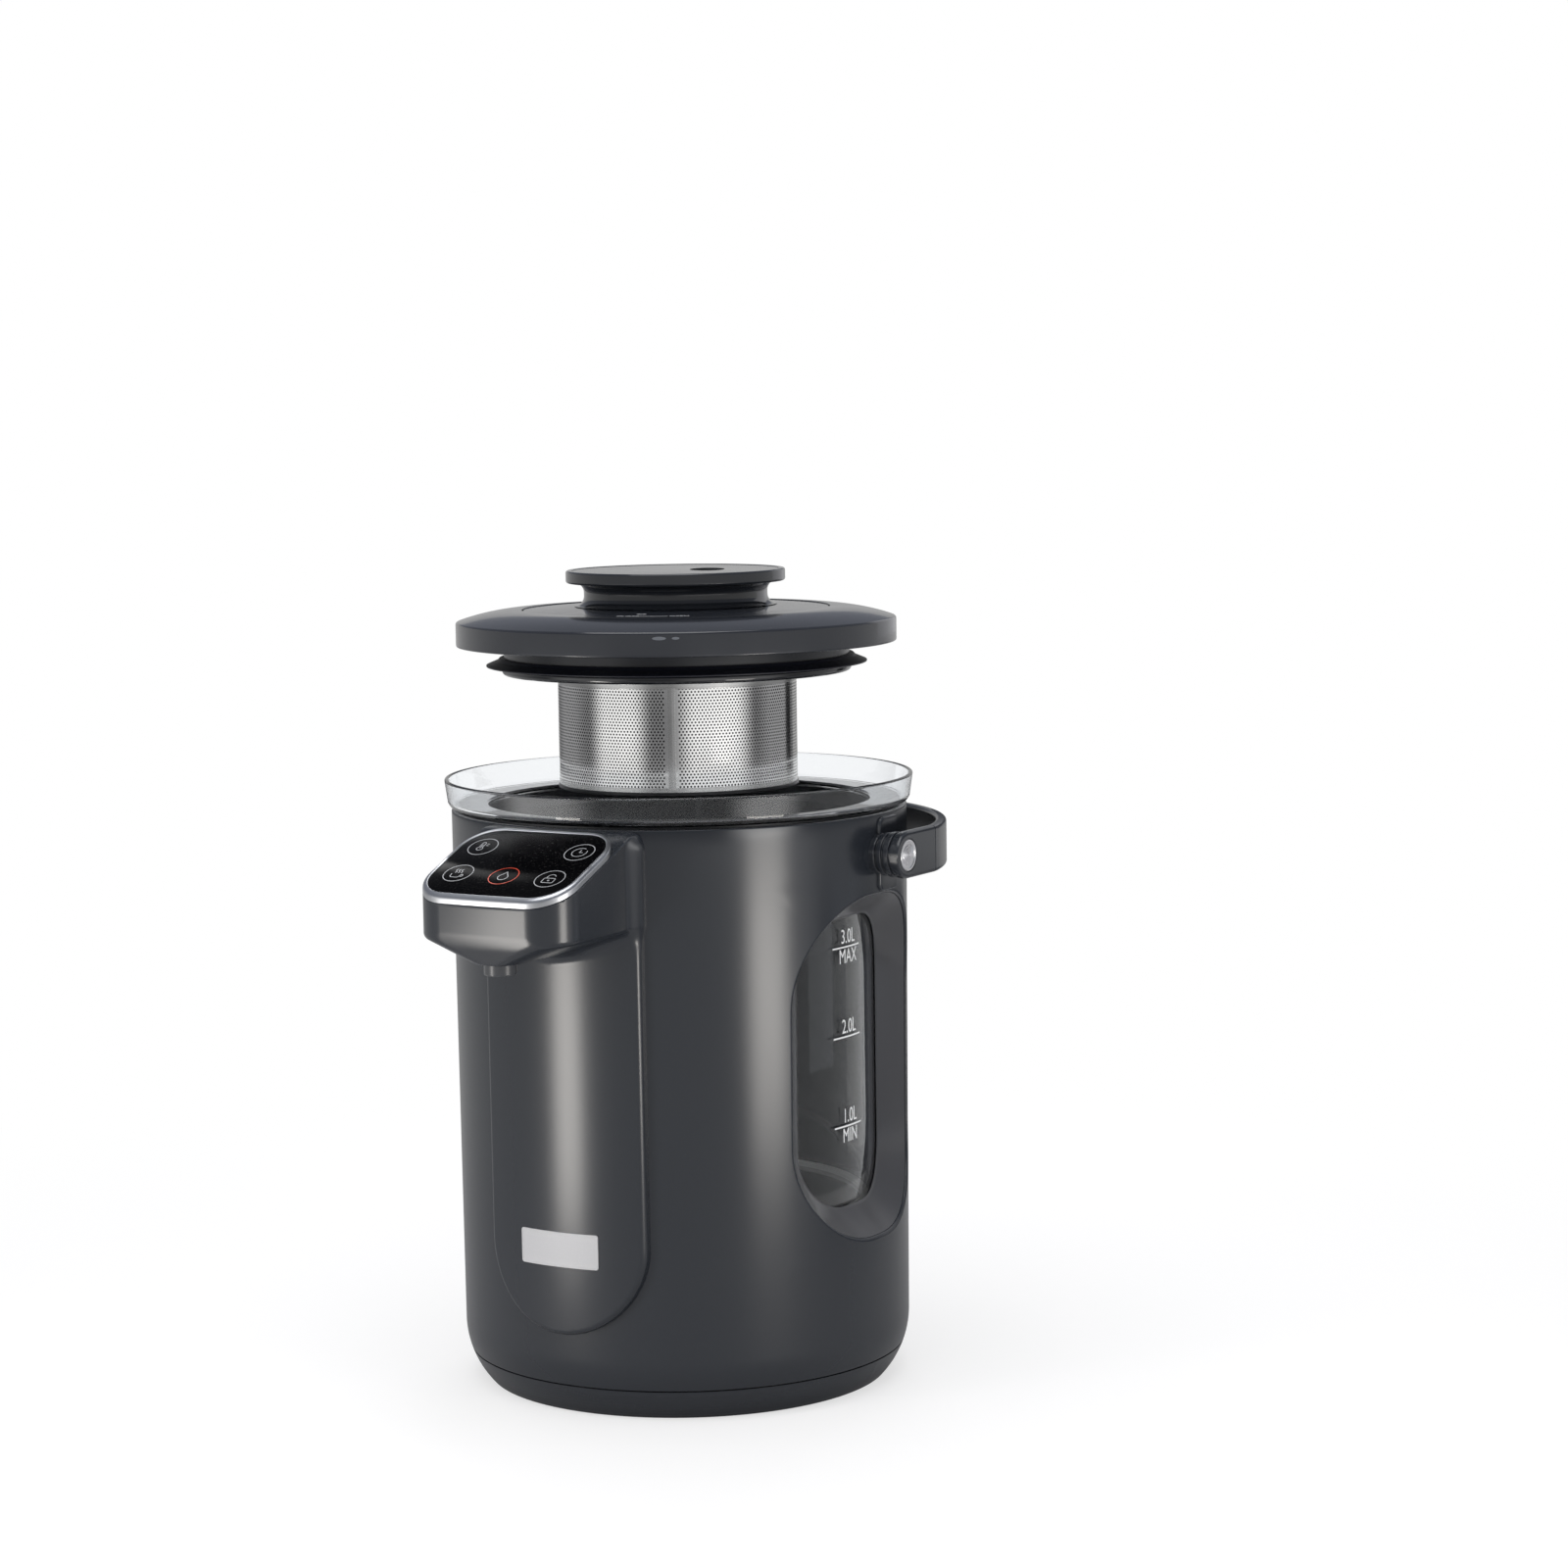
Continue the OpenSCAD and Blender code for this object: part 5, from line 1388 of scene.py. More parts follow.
@dataclass
class SpoutColumn:
    """The raised column, the spout head in one moulding with it, and the head's tapered underside."""

    shop: Workshop
    half_w: float = 41.4
    proud: float = COLUMN_PROUD
    low: float = 39.3
    top: float = 267.5
    top_corner: float = 7.0
    edge: float = 2.2
    head_edge: float = 4.0
    head_low: float = 212.0
    head_change: float = 14.0
    skirt_z: float = 225.6
    keel_z: float = 215.2
    keel_half_w: float = 10.0
    keel_front: float = -160.7
    keel_corner: float = 8.0
    keel_round: float = 0.8
    skirt_round: float = 1.6
    rim_depth: float = 3.4
    rim_round: float = 0.5
    wall: float = 2.2
    seat: float = 1.2
    hatch_in: float = 4.5
    step: float = 1.0
    fillet: float = 8.0
    head_fillet: float = 6.5

    def share(self, z: Array) -> Array:
        """Return 0 on the column's free length, 1 beside the head, with a soft change between."""
        t = np.clip((z - self.head_low) / self.head_change, 0, 1)
        return t * t * (3 - 2 * t)

    def column(self, x: Array, y: Array, z: Array) -> Array:
        """Work out the distance to the raised column.

        Args:
            x: Places across.
            y: Places from front to back.
            z: Heights.

        Returns:
            The distances, negative inside.
        """
        round_z = self.low + self.half_w
        lower = np.hypot(x, z - round_z) - self.half_w
        upper = box_distance(x, z, self.half_w, 2 * round_z - self.top, self.top, self.top_corner)
        pill = np.where(z < round_z, lower, upper)
        face = np.hypot(x, y) - SIDE.radius(z) - self.proud
        edge = self.edge + (self.head_edge - self.edge) * self.share(z)
        return np.maximum(round_both(pill, face, edge), y)

    def cut(self, x: Array, y: Array, z: Array) -> Array:
        """Work out the distance within a level plane to the tapered underside, carried on upwards.

        Args:
            x: Places across.
            y: Places from front to back.
            z: Heights.

        Returns:
            The distances, negative inside.
        """
        t = (self.skirt_z - z) / (self.skirt_z - self.keel_z)
        half_w = PANEL.half_w + (self.keel_half_w - PANEL.half_w) * t
        front = PANEL.front + (self.keel_front - PANEL.front) * t
        bend = np.maximum(PANEL.corner + (self.keel_corner - PANEL.corner) * t, 1.0)
        return box_distance(x, y, half_w, front, -front, bend)

    def taper(self, x: Array, y: Array, z: Array, reach: float = 0.5) -> Array:
        """Return the true distance to the tapered underside, from the slope of its level cuts."""
        lean = (self.cut(x, y, z + reach) - self.cut(x, y, z - reach)) / (2 * reach)
        return self.cut(x, y, z) / np.sqrt(1 + lean * lean)

    def head(self, x: Array, y: Array, z: Array) -> Array:
        """Work out the distance to the spout head up to the panel's rim.

        Args:
            x: Places across.
            y: Places from front to back.
            z: Heights.

        Returns:
            The distances, negative inside.
        """
        inner_y = y - PANEL.bowed(x, y)
        walls = box_distance(x, inner_y, PANEL.half_w, PANEL.front, -PANEL.front, PANEL.corner)
        tray = round_both(self.taper(x, inner_y, z), self.keel_z - z, self.keel_round)
        body = round_both(walls, tray, self.skirt_round)
        under_rim = (y - PANEL.back) * -math.sin(PANEL.lean) + (z - PANEL.back_z) * math.cos(PANEL.lean)
        lid = np.maximum(under_rim + self.rim_depth, z - self.top)
        return np.maximum(round_both(body, lid, self.rim_round), y)

    def outer(self, x: Array, y: Array, z: Array) -> Array:
        """Return the distance to the whole moulding as a solid."""
        radius = self.fillet + (self.head_fillet - self.fillet) * self.share(z)
        return round_either(self.column(x, y, z), self.head(x, y, z), radius)

    def shell(self, x: Array, y: Array, z: Array) -> Array:
        """Work out the distance to the hollow moulding, open to the panel and to the housing.

        Args:
            x: Places across.
            y: Places from front to back.
            z: Heights.

        Returns:
            The distances, negative inside.
        """
        solid = self.outer(x, y, z)
        seat = SIDE.radius(z) - self.seat - np.hypot(x, y)
        hatch = box_distance(x, y, PANEL.half_w - self.hatch_in, PANEL.front + self.hatch_in,
                             PANEL.back - self.hatch_in, PANEL.corner - self.hatch_in)
        hollow = np.minimum(solid + self.wall, np.maximum(hatch, self.skirt_z - z))
        return np.maximum(np.maximum(solid, seat), -hollow)

    def build(self) -> None:
        """Mesh the moulding and make its piece."""
        space = FieldSkin(self.shell, (-self.half_w - 3, PANEL.front - 2, self.low - 3),
                          (self.half_w + 3, -88.0, self.top + 3), self.step)
        self.shop.make("spout_column", space.build(), "root", "body_plastic", ["column_cover", "head_tray"])


class Icon(Enum):
    """The five touch icons, with their places as (across, down the slope)."""

    THERMOMETER = (-25.7, 18.3)
    CLOCK = (25.7, 18.3)
    STEAM = (-24.2, 41.8)
    DROP = (0.0, 41.8)
    PADLOCK = (24.2, 41.8)


@dataclass
class TouchPanel:
    """The silver trim rim, the black glass and the icons printed on it."""

    shop: Workshop
    rim_w: float = 2.3
    rim_h: float = 3.4
    lip: float = 2.2
    glass_drop: float = 0.3
    glass_t: float = 1.8
    icon_r: float = 7.0
    stroke: float = 0.38
    print_h: float = 0.04

    def ring(self, inset: float, depth: float) -> Array:
        """Draw the panel's outline.

        Args:
            inset: How far it is drawn in.
            depth: How far it is moved out of the panel's plane.

        Returns:
            Its points.
        """
        spots = np.array(round_box(PANEL.half_w - inset, PANEL.front + inset, PANEL.back - inset,
                                   PANEL.corner - inset, 18, 12))
        spots[:, 1] += PANEL.bowed(spots[:, 0], spots[:, 1])
        return np.column_stack([spots, PANEL.height(spots[:, 1], depth)])

    def rim(self) -> Shape:
        """Loft the trim rim with its rounded top and its inner lip.

        Returns:
            The rim.
        """
        under = -self.glass_drop - self.glass_t - 0.02
        section = rounded([
            (0.0, -self.rim_h), (self.rim_w + self.lip, -self.rim_h), (self.rim_w + self.lip, under),
            (self.rim_w, under), (self.rim_w, 0.0, 0.4), (0.0, 0.0, 1.7),
        ], step=9)
        return loft([self.ring(inset, depth) for inset, depth in section], around=True)

    def glass(self) -> Shape:
        """Loft the touch glass with its eased edge.

        Returns:
            The glass.
        """
        top, gap, ease = -self.glass_drop, 0.06, 0.25
        steps = [(gap, top - self.glass_t), (gap, top - ease), (gap + ease * 0.3, top - ease * 0.3),
                 (gap + ease, top)]
        return loft([self.ring(self.rim_w + inset, depth) for inset, depth in steps])

    def strokes(self, icon: Icon) -> list[tuple[Outline, bool]]:
        """Draw an icon inside its ring.

        Args:
            icon: Which of the icons.

        Returns:
            Its lines as (path, closed).
        """
        if icon is Icon.THERMOMETER:
            bulb = arc(-0.9, -1.6, 1.5, 125, 415, 20)
            stem = arc(-0.9, 2.9, 0.85, 0, 180, 8)
            ticks = [([(0.9, v), (2.2, v)], False) for v in (2.6, 1.2)]
            return [(bulb + stem, True), ([(-0.9, 1.8), (-0.9, -1.4)], False)] + ticks
        if icon is Icon.CLOCK:
            face = arc(0, 0, 3.6, 62, 388, 36)
            return [(face, False), ([(0.0, 2.1), (0.0, -0.1), (1.7, -0.1)], False)]
        if icon is Icon.STEAM:
            cup = [(-3.1, -0.6), (-2.7, -2.9), (-2.0, -3.5), (1.2, -3.5), (1.9, -2.9), (2.3, -0.6)]
            ear = arc(2.3, -1.8, 1.0, -80, 70, 8)
            wave = [(0.45 * math.sin(t * 2.1), 0.2 + t) for t in np.linspace(0, 3.2, 12)]
            waves = [([(u + shift, v) for u, v in wave], False) for shift in (-1.9, -0.4, 1.1)]
            return [(cup, False), (ear, False)] + waves
        if icon is Icon.DROP:
            belly = arc(0, -0.9, 2.4, 155, 385, 26)
            return [(belly + [(0.9, 1.9), (0.0, 3.4), (-0.9, 1.9)], True)]
        body = round_box(2.9, -3.3, 0.5, 0.7, 4, 2)
        shackle = [(-2.0, 0.5), (-2.0, 1.6)] + arc(0, 1.6, 2.0, 180, 20, 12)[1:]
        keyhole = arc(0, -1.4, 0.35, 0, 360, 10)[:-1]
        return [(body, True), (shackle, False), (keyhole, True)]

    def build(self) -> None:
        """Make the rim, the glass and the icons."""
        self.shop.make("panel_trim", self.rim(), "root", "trim_silver", ["panel_rim"])
        self.shop.make("panel_glass", self.glass(), "root", "panel_black", ["touch_glass"], sharp=50)
        low, high = -self.glass_drop - 0.02, -self.glass_drop + self.print_h
        for icon in Icon:
            across, down = icon.value
            place = PANEL.matrix() @ Matrix.Translation((across, -down, 0))
            ring = ribbon(circle(self.icon_r, 48), self.stroke, low, high, closed=True)
            lines = [ribbon(path, self.stroke, low, high, closed) for path, closed in self.strokes(icon)]
            name = icon.name.lower()
            for title, shape, ink in (("ring_", ring, "icon_red" if icon is Icon.DROP else "icon_grey"),
                                      ("icon_", joined(lines), "icon_grey")):
                self.shop.make(title + name, shape.moved(place), "root", "badge_silver", material=ink)


@dataclass
class Spout:
    """The nozzle under the head."""

    shop: Workshop
    y: float = -151.0
    radius: float = 7.3
    bore: float = 2.7
    bottom: float = 210.2
    top: float = 217.0

    def build(self) -> None:
        """Turn the nozzle."""
        outline = rounded([
            (self.bore, self.bottom + 1.8), (self.radius - 1.7, self.bottom + 1.8, 0.5),
            (self.radius - 1.5, self.bottom, 0.5), (self.radius, self.bottom, 0.6),
            (self.radius, self.top), (self.bore, self.top),
        ], step=15)
        shape = lathe(outline, 96).moved(Matrix.Translation((0, self.y, 0)))
        self.shop.make("nozzle", shape, "root", "nozzle_plastic", ["spout_nozzle"])


@dataclass
class Badge:
    """The bare plate on the column, with a fine raised border."""

    shop: Workshop
    half_w: float = 20.5
    low: float = 71.0
    high: float = 87.0
    corner: float = 1.2
    thick: float = 0.6
    border: float = 0.9
    sunk: float = -0.3
    ease: float = 0.15
    cells: tuple[int, int] = (48, 6)

    def on_face(self, across: Array, z: Array, depth: float) -> Array:
        """Return places on the column's face, raised by depth."""
        radius = SIDE.radius(z) + COLUMN_PROUD + depth
        return from_front(radius, across / (SIDE.foot_r + COLUMN_PROUD), z)

    def ring(self, inset: float, depth: float) -> Array:
        """Draw the plate's outline on the column's face.

        Args:
            inset: How far it is drawn in.
            depth: How far it is raised.

        Returns:
            Its points.
        """
        corner = max(self.corner - inset, self.ease)
        spots = round_box(self.half_w - inset, self.low + inset, self.high - inset, corner, 4, 18)
        return self.on_face(*np.array(spots).T, depth)

    def field_plate(self) -> Shape:
        """Make the plate inside the border, as a curved grid with a back.

        Returns:
            The plate.
        """
        wide, tall = self.cells
        inset = self.border - 0.05
        across = np.linspace(-self.half_w + inset, self.half_w - inset, wide + 1)
        up = np.linspace(self.low + inset, self.high - inset, tall + 1)
        u, v = [a.ravel() for a in np.meshgrid(across, up)]
        firsts = [j * (wide + 1) + i for j in range(tall) for i in range(wide)]
        faces = [(a, a + 1, a + wide + 2, a + wide + 1) for a in firsts]
        return thickened(self.on_face(u, v, self.thick - 0.2), self.on_face(u, v, self.sunk), faces)

    def build(self) -> None:
        """Loft the border and make the plate inside it."""
        frame = loft([self.ring(inset, depth) for inset, depth in (
            (0, self.sunk), (0, self.thick - self.ease), (self.ease, self.thick),
            (self.border - 0.1, self.thick), (self.border, self.thick - self.ease),
            (self.border, self.sunk))], around=True)
        for name, shape in (("badge_frame", frame), ("badge_field", self.field_plate())):
            self.shop.make(name, shape, "root", "badge_silver", ["badge_plate"])


@dataclass
class Tank:
    """The clear tank with its flared collar and its marks."""

    shop: Workshop
    outer_r: float = 90.9
    bore: float = 87.4
    foot: float = 80.0
    neck_r: float = 93.1
    mouth: float = 89.6
    mouth_low: float = 252.0
    floor: float = 273.0
    floor_t: float = 2.0
    collar_foot_r: float = 108.6
    collar_rim_r: float = 110.2
    collar_top: float = 284.5
    collar_wall: float = 2.0
    mark_at: float = 88.5
    mark_w: float = 23.5
    marks: tuple[tuple[float, str, str], ...] = (
        (124.5, "1.0L", "MIN"), (166.2, "2.0L", ""), (208.0, "3.0L", "MAX"))

    def outline(self) -> Outline:
        """Draw the tank's section.

        Returns:
            Its points.
        """
        return rounded([
            (self.bore, self.foot), (self.outer_r, self.foot), (self.outer_r, self.mouth_low - 4, 3.0),
            (self.neck_r, self.mouth_low, 1.5), (self.neck_r, self.floor - self.floor_t, 1.0),
            (self.collar_foot_r - 0.3, self.floor - self.floor_t, 3.6),
            (self.collar_rim_r, self.collar_top, 0.9),
            (self.collar_rim_r - self.collar_wall, self.collar_top, 0.9),
            (self.collar_foot_r - self.collar_wall, self.floor, 1.8),
            (self.mouth, self.floor, 1.2), (self.mouth, self.mouth_low, 1.5),
            (self.bore, self.mouth_low - 3, 3.0),
        ], step=9)

    def mark_prints(self) -> Shape:
        """Make the three volume marks with their numbers and words.

        Returns:
            All of them, bent round the tank.
        """
        letter_h, squeeze, line_h, gap, deep, shift = 6.6, 0.78, 0.75, 1.3, 0.04, 0.7
        parts = []
        for z, over, under in self.marks:
            across = np.linspace(-self.mark_w / 2, self.mark_w / 2, 13)
            line = ribbon([(u, 0.0) for u in across], line_h, -deep / 2, deep / 2)
            parts.append(wrapped(line, self.outer_r, self.mark_at, z, 0.03))
            for word, way in ((over, 1), (under, -1)):
                if word:
                    letters = self.shop.lettering(word, letter_h, deep, squeeze)
                    middle = z + way * (gap + letter_h / 2)
                    parts.append(wrapped(letters, self.outer_r, self.mark_at + shift, middle, 0.03))
        return joined(parts)

    def build(self) -> None:
        """Make the tank and its marks."""
        self.shop.make("tank_glass", lathe(self.outline(), 224), "root", "clear_tank", ["glass_tank"])
        self.shop.make("volume_marks", self.mark_prints(), "root", "silicone_white", material="mark_white")


@dataclass
class Handle:
    """The bail, its turned silver caps and the stepped bosses that it hangs on."""

    shop: Workshop
    pivot_z: float = PIVOT_Z
    arm_out: float = 122.6
    round_out: float = 125.7
    thick: float = 5.2
    tall: float = 21.6
    edge: float = 1.7
    cap_r: float = 7.4
    cap_sink: float = 1.4
    groove_y: float = 26.0
    rib_box: tuple[float, ...] = (9.8, 234.0, 268.4, 4.0)
    rib_at: float = 4.75

    def section(self, inset: float) -> Array:
        """Draw the strap's section.

        Args:
            inset: How far it is drawn in.

        Returns:
            Its points as (outward, up).
        """
        half_t, half_h = self.thick / 2 - inset, self.tall / 2 - inset
        corners = [(half_t, -half_h), (half_t, half_h), (-half_t, half_h), (-half_t, -half_h)]
        return np.array(rounded([(a, b, self.edge) for a, b in corners], step=15))

    def stations(self) -> list[tuple[Vector, Vector, float, float]]:
        """Lay out the strap's path, from its right end round the back to its left end.

        Returns:
            The stations as (place, outward way, height share, inset).
        """
        mid = self.arm_out - self.thick / 2
        out = Vector((1, 0))
        path: list[tuple[Vector, Vector, float, float]] = []
        for a in np.radians(range(10, 91, 10)):
            path.append((Vector((mid, -self.tall / 2 * math.cos(a))), out, math.sin(a), 0.0))
        for y in (5.0, 10.0, 15.0, 20.0):
            path.append((Vector((mid, y)), out, 1.0, 0.0))
        for y, inset in ((-0.55, 0.0), (-0.3, 0.0), (-0.15, 0.4), (0.15, 0.4), (0.3, 0.0), (0.55, 0.0)):
            path.append((Vector((mid, self.groove_y + y)), out, 1.0, inset))
        mirrored = [(Vector((-p.x, p.y)), Vector((-w.x, w.y)), h, i) for p, w, h, i in reversed(path)]
        radius = self.round_out - self.thick / 2
        start = math.degrees(math.asin((self.groove_y + 4) / radius))
        for angle in np.radians(np.linspace(start, 180 - start, 73)):
            way = Vector((math.cos(angle), math.sin(angle)))
            spot = way * radius
            spot.x = max(-mid, min(mid, spot.x))
            path.append((spot, way, 1.0, 0.0))
        return path + mirrored

    def strap(self) -> Shape:
        """Loft the bail.

        Returns:
            The bail.
        """
        rings = []
        for spot, way, share, inset in self.stations():
            out, up = self.section(inset).T
            z = self.pivot_z + up * share
            rings.append(np.column_stack([spot.x + way.x * out, spot.y + way.y * out, z]))
        return loft(rings)

    def on_pivot(self, outline: Outline, side: int, count: int = 96) -> Shape:
        """Return an outline turned about the handle's axis on one side."""
        turn = Matrix.Rotation(math.radians(90 * side), 4, "Y")
        return lathe(outline, count).moved(Matrix.Translation((0, 0, self.pivot_z)) @ turn).outward()

    def rib(self, side: int) -> Shape:
        """Loft the low pad on the housing behind a boss, with its rounded edges.

        Args:
            side: 1 for the right side, -1 for the left.

        Returns:
            The pad.
        """
        half_w, low, high, corner = self.rib_box
        rings = []
        for inset, depth in ((0.0, -0.6), (0.0, 0.5), (0.25, 1.05), (0.7, 1.35), (1.3, 1.4), (4.0, 1.4),
                             (7.0, 1.4), (9.5, 1.4)):
            across, z = np.array(round_box(half_w - inset, low + inset, high - inset,
                                           max(corner - inset, 0.2), 6, 8)).T
            angle = math.radians(self.rib_at) + across / SIDE.foot_r
            radius = SIDE.radius(z) + depth
            rings.append(np.stack([side * radius * np.cos(angle), radius * np.sin(angle), z], 1))
        return loft(rings)

    def cap(self, seat: float, face: float) -> Outline:
        """Draw a cap's section, with fine rings turned in its face.

        Args:
            seat: Distance of its back from the body axis.
            face: Distance of its front.

        Returns:
            Its points as (radius, distance).
        """
        outline = rounded([(0.0, seat), (self.cap_r, seat), (self.cap_r, face, 0.5),
                           (self.cap_r - 1.1, face, 0.3), (self.cap_r - 1.5, face - 0.5, 0.3)],
                          step=18, hold=0.1)
        reach, dip, swell, ring_h, rings = outline[-1][0], 0.75, 0.6, 0.13, 8.5
        for share in np.linspace(0.96, 0.0, 49):
            rise = swell * (1 - share ** 2) + ring_h * math.cos(share * rings * math.pi)
            outline.append((reach * share, face - dip + rise))
        return outline

    def boss(self) -> Outline:
        """Draw a boss's stepped section.

        Returns:
            Its points as (radius, distance).
        """
        bore, back, front = 4.1, 105.0, 117.1
        return rounded([
            (bore, back), (9.4, back), (9.4, 109.4, 0.7), (8.5, 109.4, 0.3), (8.5, 110.4, 0.3),
            (10.0, 110.4, 0.6), (10.0, 113.0, 0.6), (9.2, 113.0, 0.3), (9.2, 113.9, 0.3),
            (10.5, 113.9, 0.7), (10.5, front, 0.5), (bore, front),
        ], step=18, hold=0.12)

    def build(self) -> None:
        """Make the bail, cut the caps' seats in it, and make caps, bosses and pads."""
        bail = self.shop.make("bail", self.strap(), "handle", "body_plastic", ["handle_bail"])
        face = self.arm_out - 0.05
        seat = face - self.cap_sink
        holes = ((self.cap_r + 0.25, seat, seat + 9, 96), (4.15, 110.0, seat + 2, 48))
        for side, word in ((1, "right"), (-1, "left")):
            for radius, low, high, count in holes:
                hole = [(0.0, low), (radius, low), (radius, high), (0.0, high)]
                self.shop.carve(bail, self.on_pivot(hole, side, count))
            cap, boss = self.on_pivot(self.cap(seat + 0.02, face), side), self.on_pivot(self.boss(), side)
            self.shop.make("turned_cap_" + word, cap, "handle", "cap_silver", ["handle_cap_" + word])
            self.shop.make("stepped_boss_" + word, boss, "root", "body_plastic", ["pivot_boss_" + word])
            self.shop.make("pivot_rib_" + word, self.rib(side), "root", "body_plastic")


@dataclass
class LidPart:
    """A part of the lid group, with its heights counted from the lid's base."""

    shop: Workshop
    base_z: float = 346.3

    def turned(self, outline: Outline, count: int = 224) -> Shape:
        """Return an outline turned and set at the lid's height."""
        return lathe(outline, count).raised(self.base_z)


@dataclass
class Lid(LidPart):
    """The lid's fixed parts: dome, plug wall, lip seal and glossy bottom plate."""

    radius: float = 103.2
    rim_h: float = 11.1
    wall: float = 2.4
    disc_bore: float = 72.2
    dome_top: float = 16.5
    ledge_r: float = 61.2
    plug_r: float = 81.0
    plug_low: float = -10.3
    lip_r: float = 89.3
    plate_r: float = 81.9
    plate_low: float = -13.6
    screws_r: float = 71.0
    mark_rise: float = 8.6
    marks: tuple[tuple[float, float, float], ...] = ((27.5, 3.1, 0.8), (31.6, 1.7, 0.6))

    def dome_z(self, r: float) -> float:
        """Work out the dome's height.

        Args:
            r: Radius of the place.

        Returns:
            The height there.
        """
        rise = self.dome_top - self.rim_h
        bend = ((self.radius - self.disc_bore) ** 2 + rise ** 2) / (2 * rise)
        return self.dome_top - bend + math.sqrt(bend ** 2 - (r - self.disc_bore) ** 2)

    def shell(self) -> Outline:
        """Draw the dome's section, with the ledge that the disc turns on.

        Returns:
            Its points.
        """
        radii = np.linspace(self.radius - 3.0, self.disc_bore + 2.0, 14)
        dome = [(r, self.dome_z(r)) for r in radii]
        inside = [(r, self.dome_z(r) - self.wall) for r in reversed(radii[1:-1])]
        top, low = 13.0, 11.0
        return rounded([
            (self.radius - self.wall, 0.0), (self.radius, 0.0, 0.7), (self.radius, self.rim_h, 1.3), *dome,
            (self.disc_bore, self.dome_top, 0.35), (self.disc_bore, top), (self.ledge_r, top),
            (self.ledge_r, low), (self.disc_bore + self.wall, low), *inside, (self.radius - self.wall, 8.0),
        ])

    def seal(self) -> Outline:
        """Draw the lip seal's section.

        Returns:
            Its points.
        """
        low, grip, root = self.plug_low, self.plug_r + 0.02, self.plug_r + 2
        return rounded([
            (grip, low + 0.05), (root, low + 0.05, 0.4), (root + 1, low + 0.9, 0.4),
            (self.lip_r, low + 0.6, 0.2), (self.lip_r, low + 1.2, 0.2), (root + 1.2, low + 3.3, 2.2),
            (root, low + 4.6, 0.6), (grip, low + 4.6),
        ], hold=0.1)

    def rim_marks(self) -> Shape:
        """Make the two small oval marks on the rim's side, under the words on the disc.

        Returns:
            Both marks.
        """
        deep, parts = 0.05, []
        for azimuth, half_w, half_h in self.marks:
            flat = plate([(x * half_w, y * half_h) for x, y in circle(1, 24)], -deep, deep)
            parts.append(wrapped(flat, self.radius, azimuth, self.base_z + self.mark_rise).outward())
        return joined(parts)

    def build(self) -> None:
        """Turn the four parts, add the marks and cut the screws' seats."""
        self.shop.make("lid_dome", self.turned(self.shell()), "lid", "lid_gloss", ["lid_shell"])
        self.shop.make("rim_marks", self.rim_marks(), "lid", "badge_silver", material="rim_grey")
        plug_in, rim_in, low = self.plug_r - self.wall, self.radius - self.wall, self.plug_low
        plug = rounded([(plug_in, low), (self.plug_r, low), (self.plug_r, 0.3, 1.2), (rim_in, 0.3),
                        (rim_in, 2.7), (plug_in, 2.7)])
        self.shop.make("plug_wall", self.turned(plug), "lid", "lid_plug", ["lid_base"])
        self.shop.make("lip_seal", self.turned(self.seal()), "lid", "seal_black", ["lid_seal"],
                       material="lip_navy")
        bore, seat = self.ledge_r + 0.1, low - 0.02
        section = rounded([(bore, self.plate_low), (self.plate_r, self.plate_low, 1.6),
                           (self.plate_r, seat, 0.6), (bore, seat)])
        bottom = self.shop.make("bottom_plate", self.turned(section), "lid", "lid_plate_gloss",
                                ["lid_plate"])
        hole = [(0.0, -15.0), (2.8, -15.0), (2.8, -12.0), (1.5, -12.0), (1.5, -9.0), (0.0, -9.0)]
        for angle in np.radians([30, 150, 270]):
            place = Matrix.Translation(Vector((math.cos(angle), math.sin(angle), 0)) * self.screws_r)
            self.shop.carve(bottom, self.turned(hole, 32).moved(place))


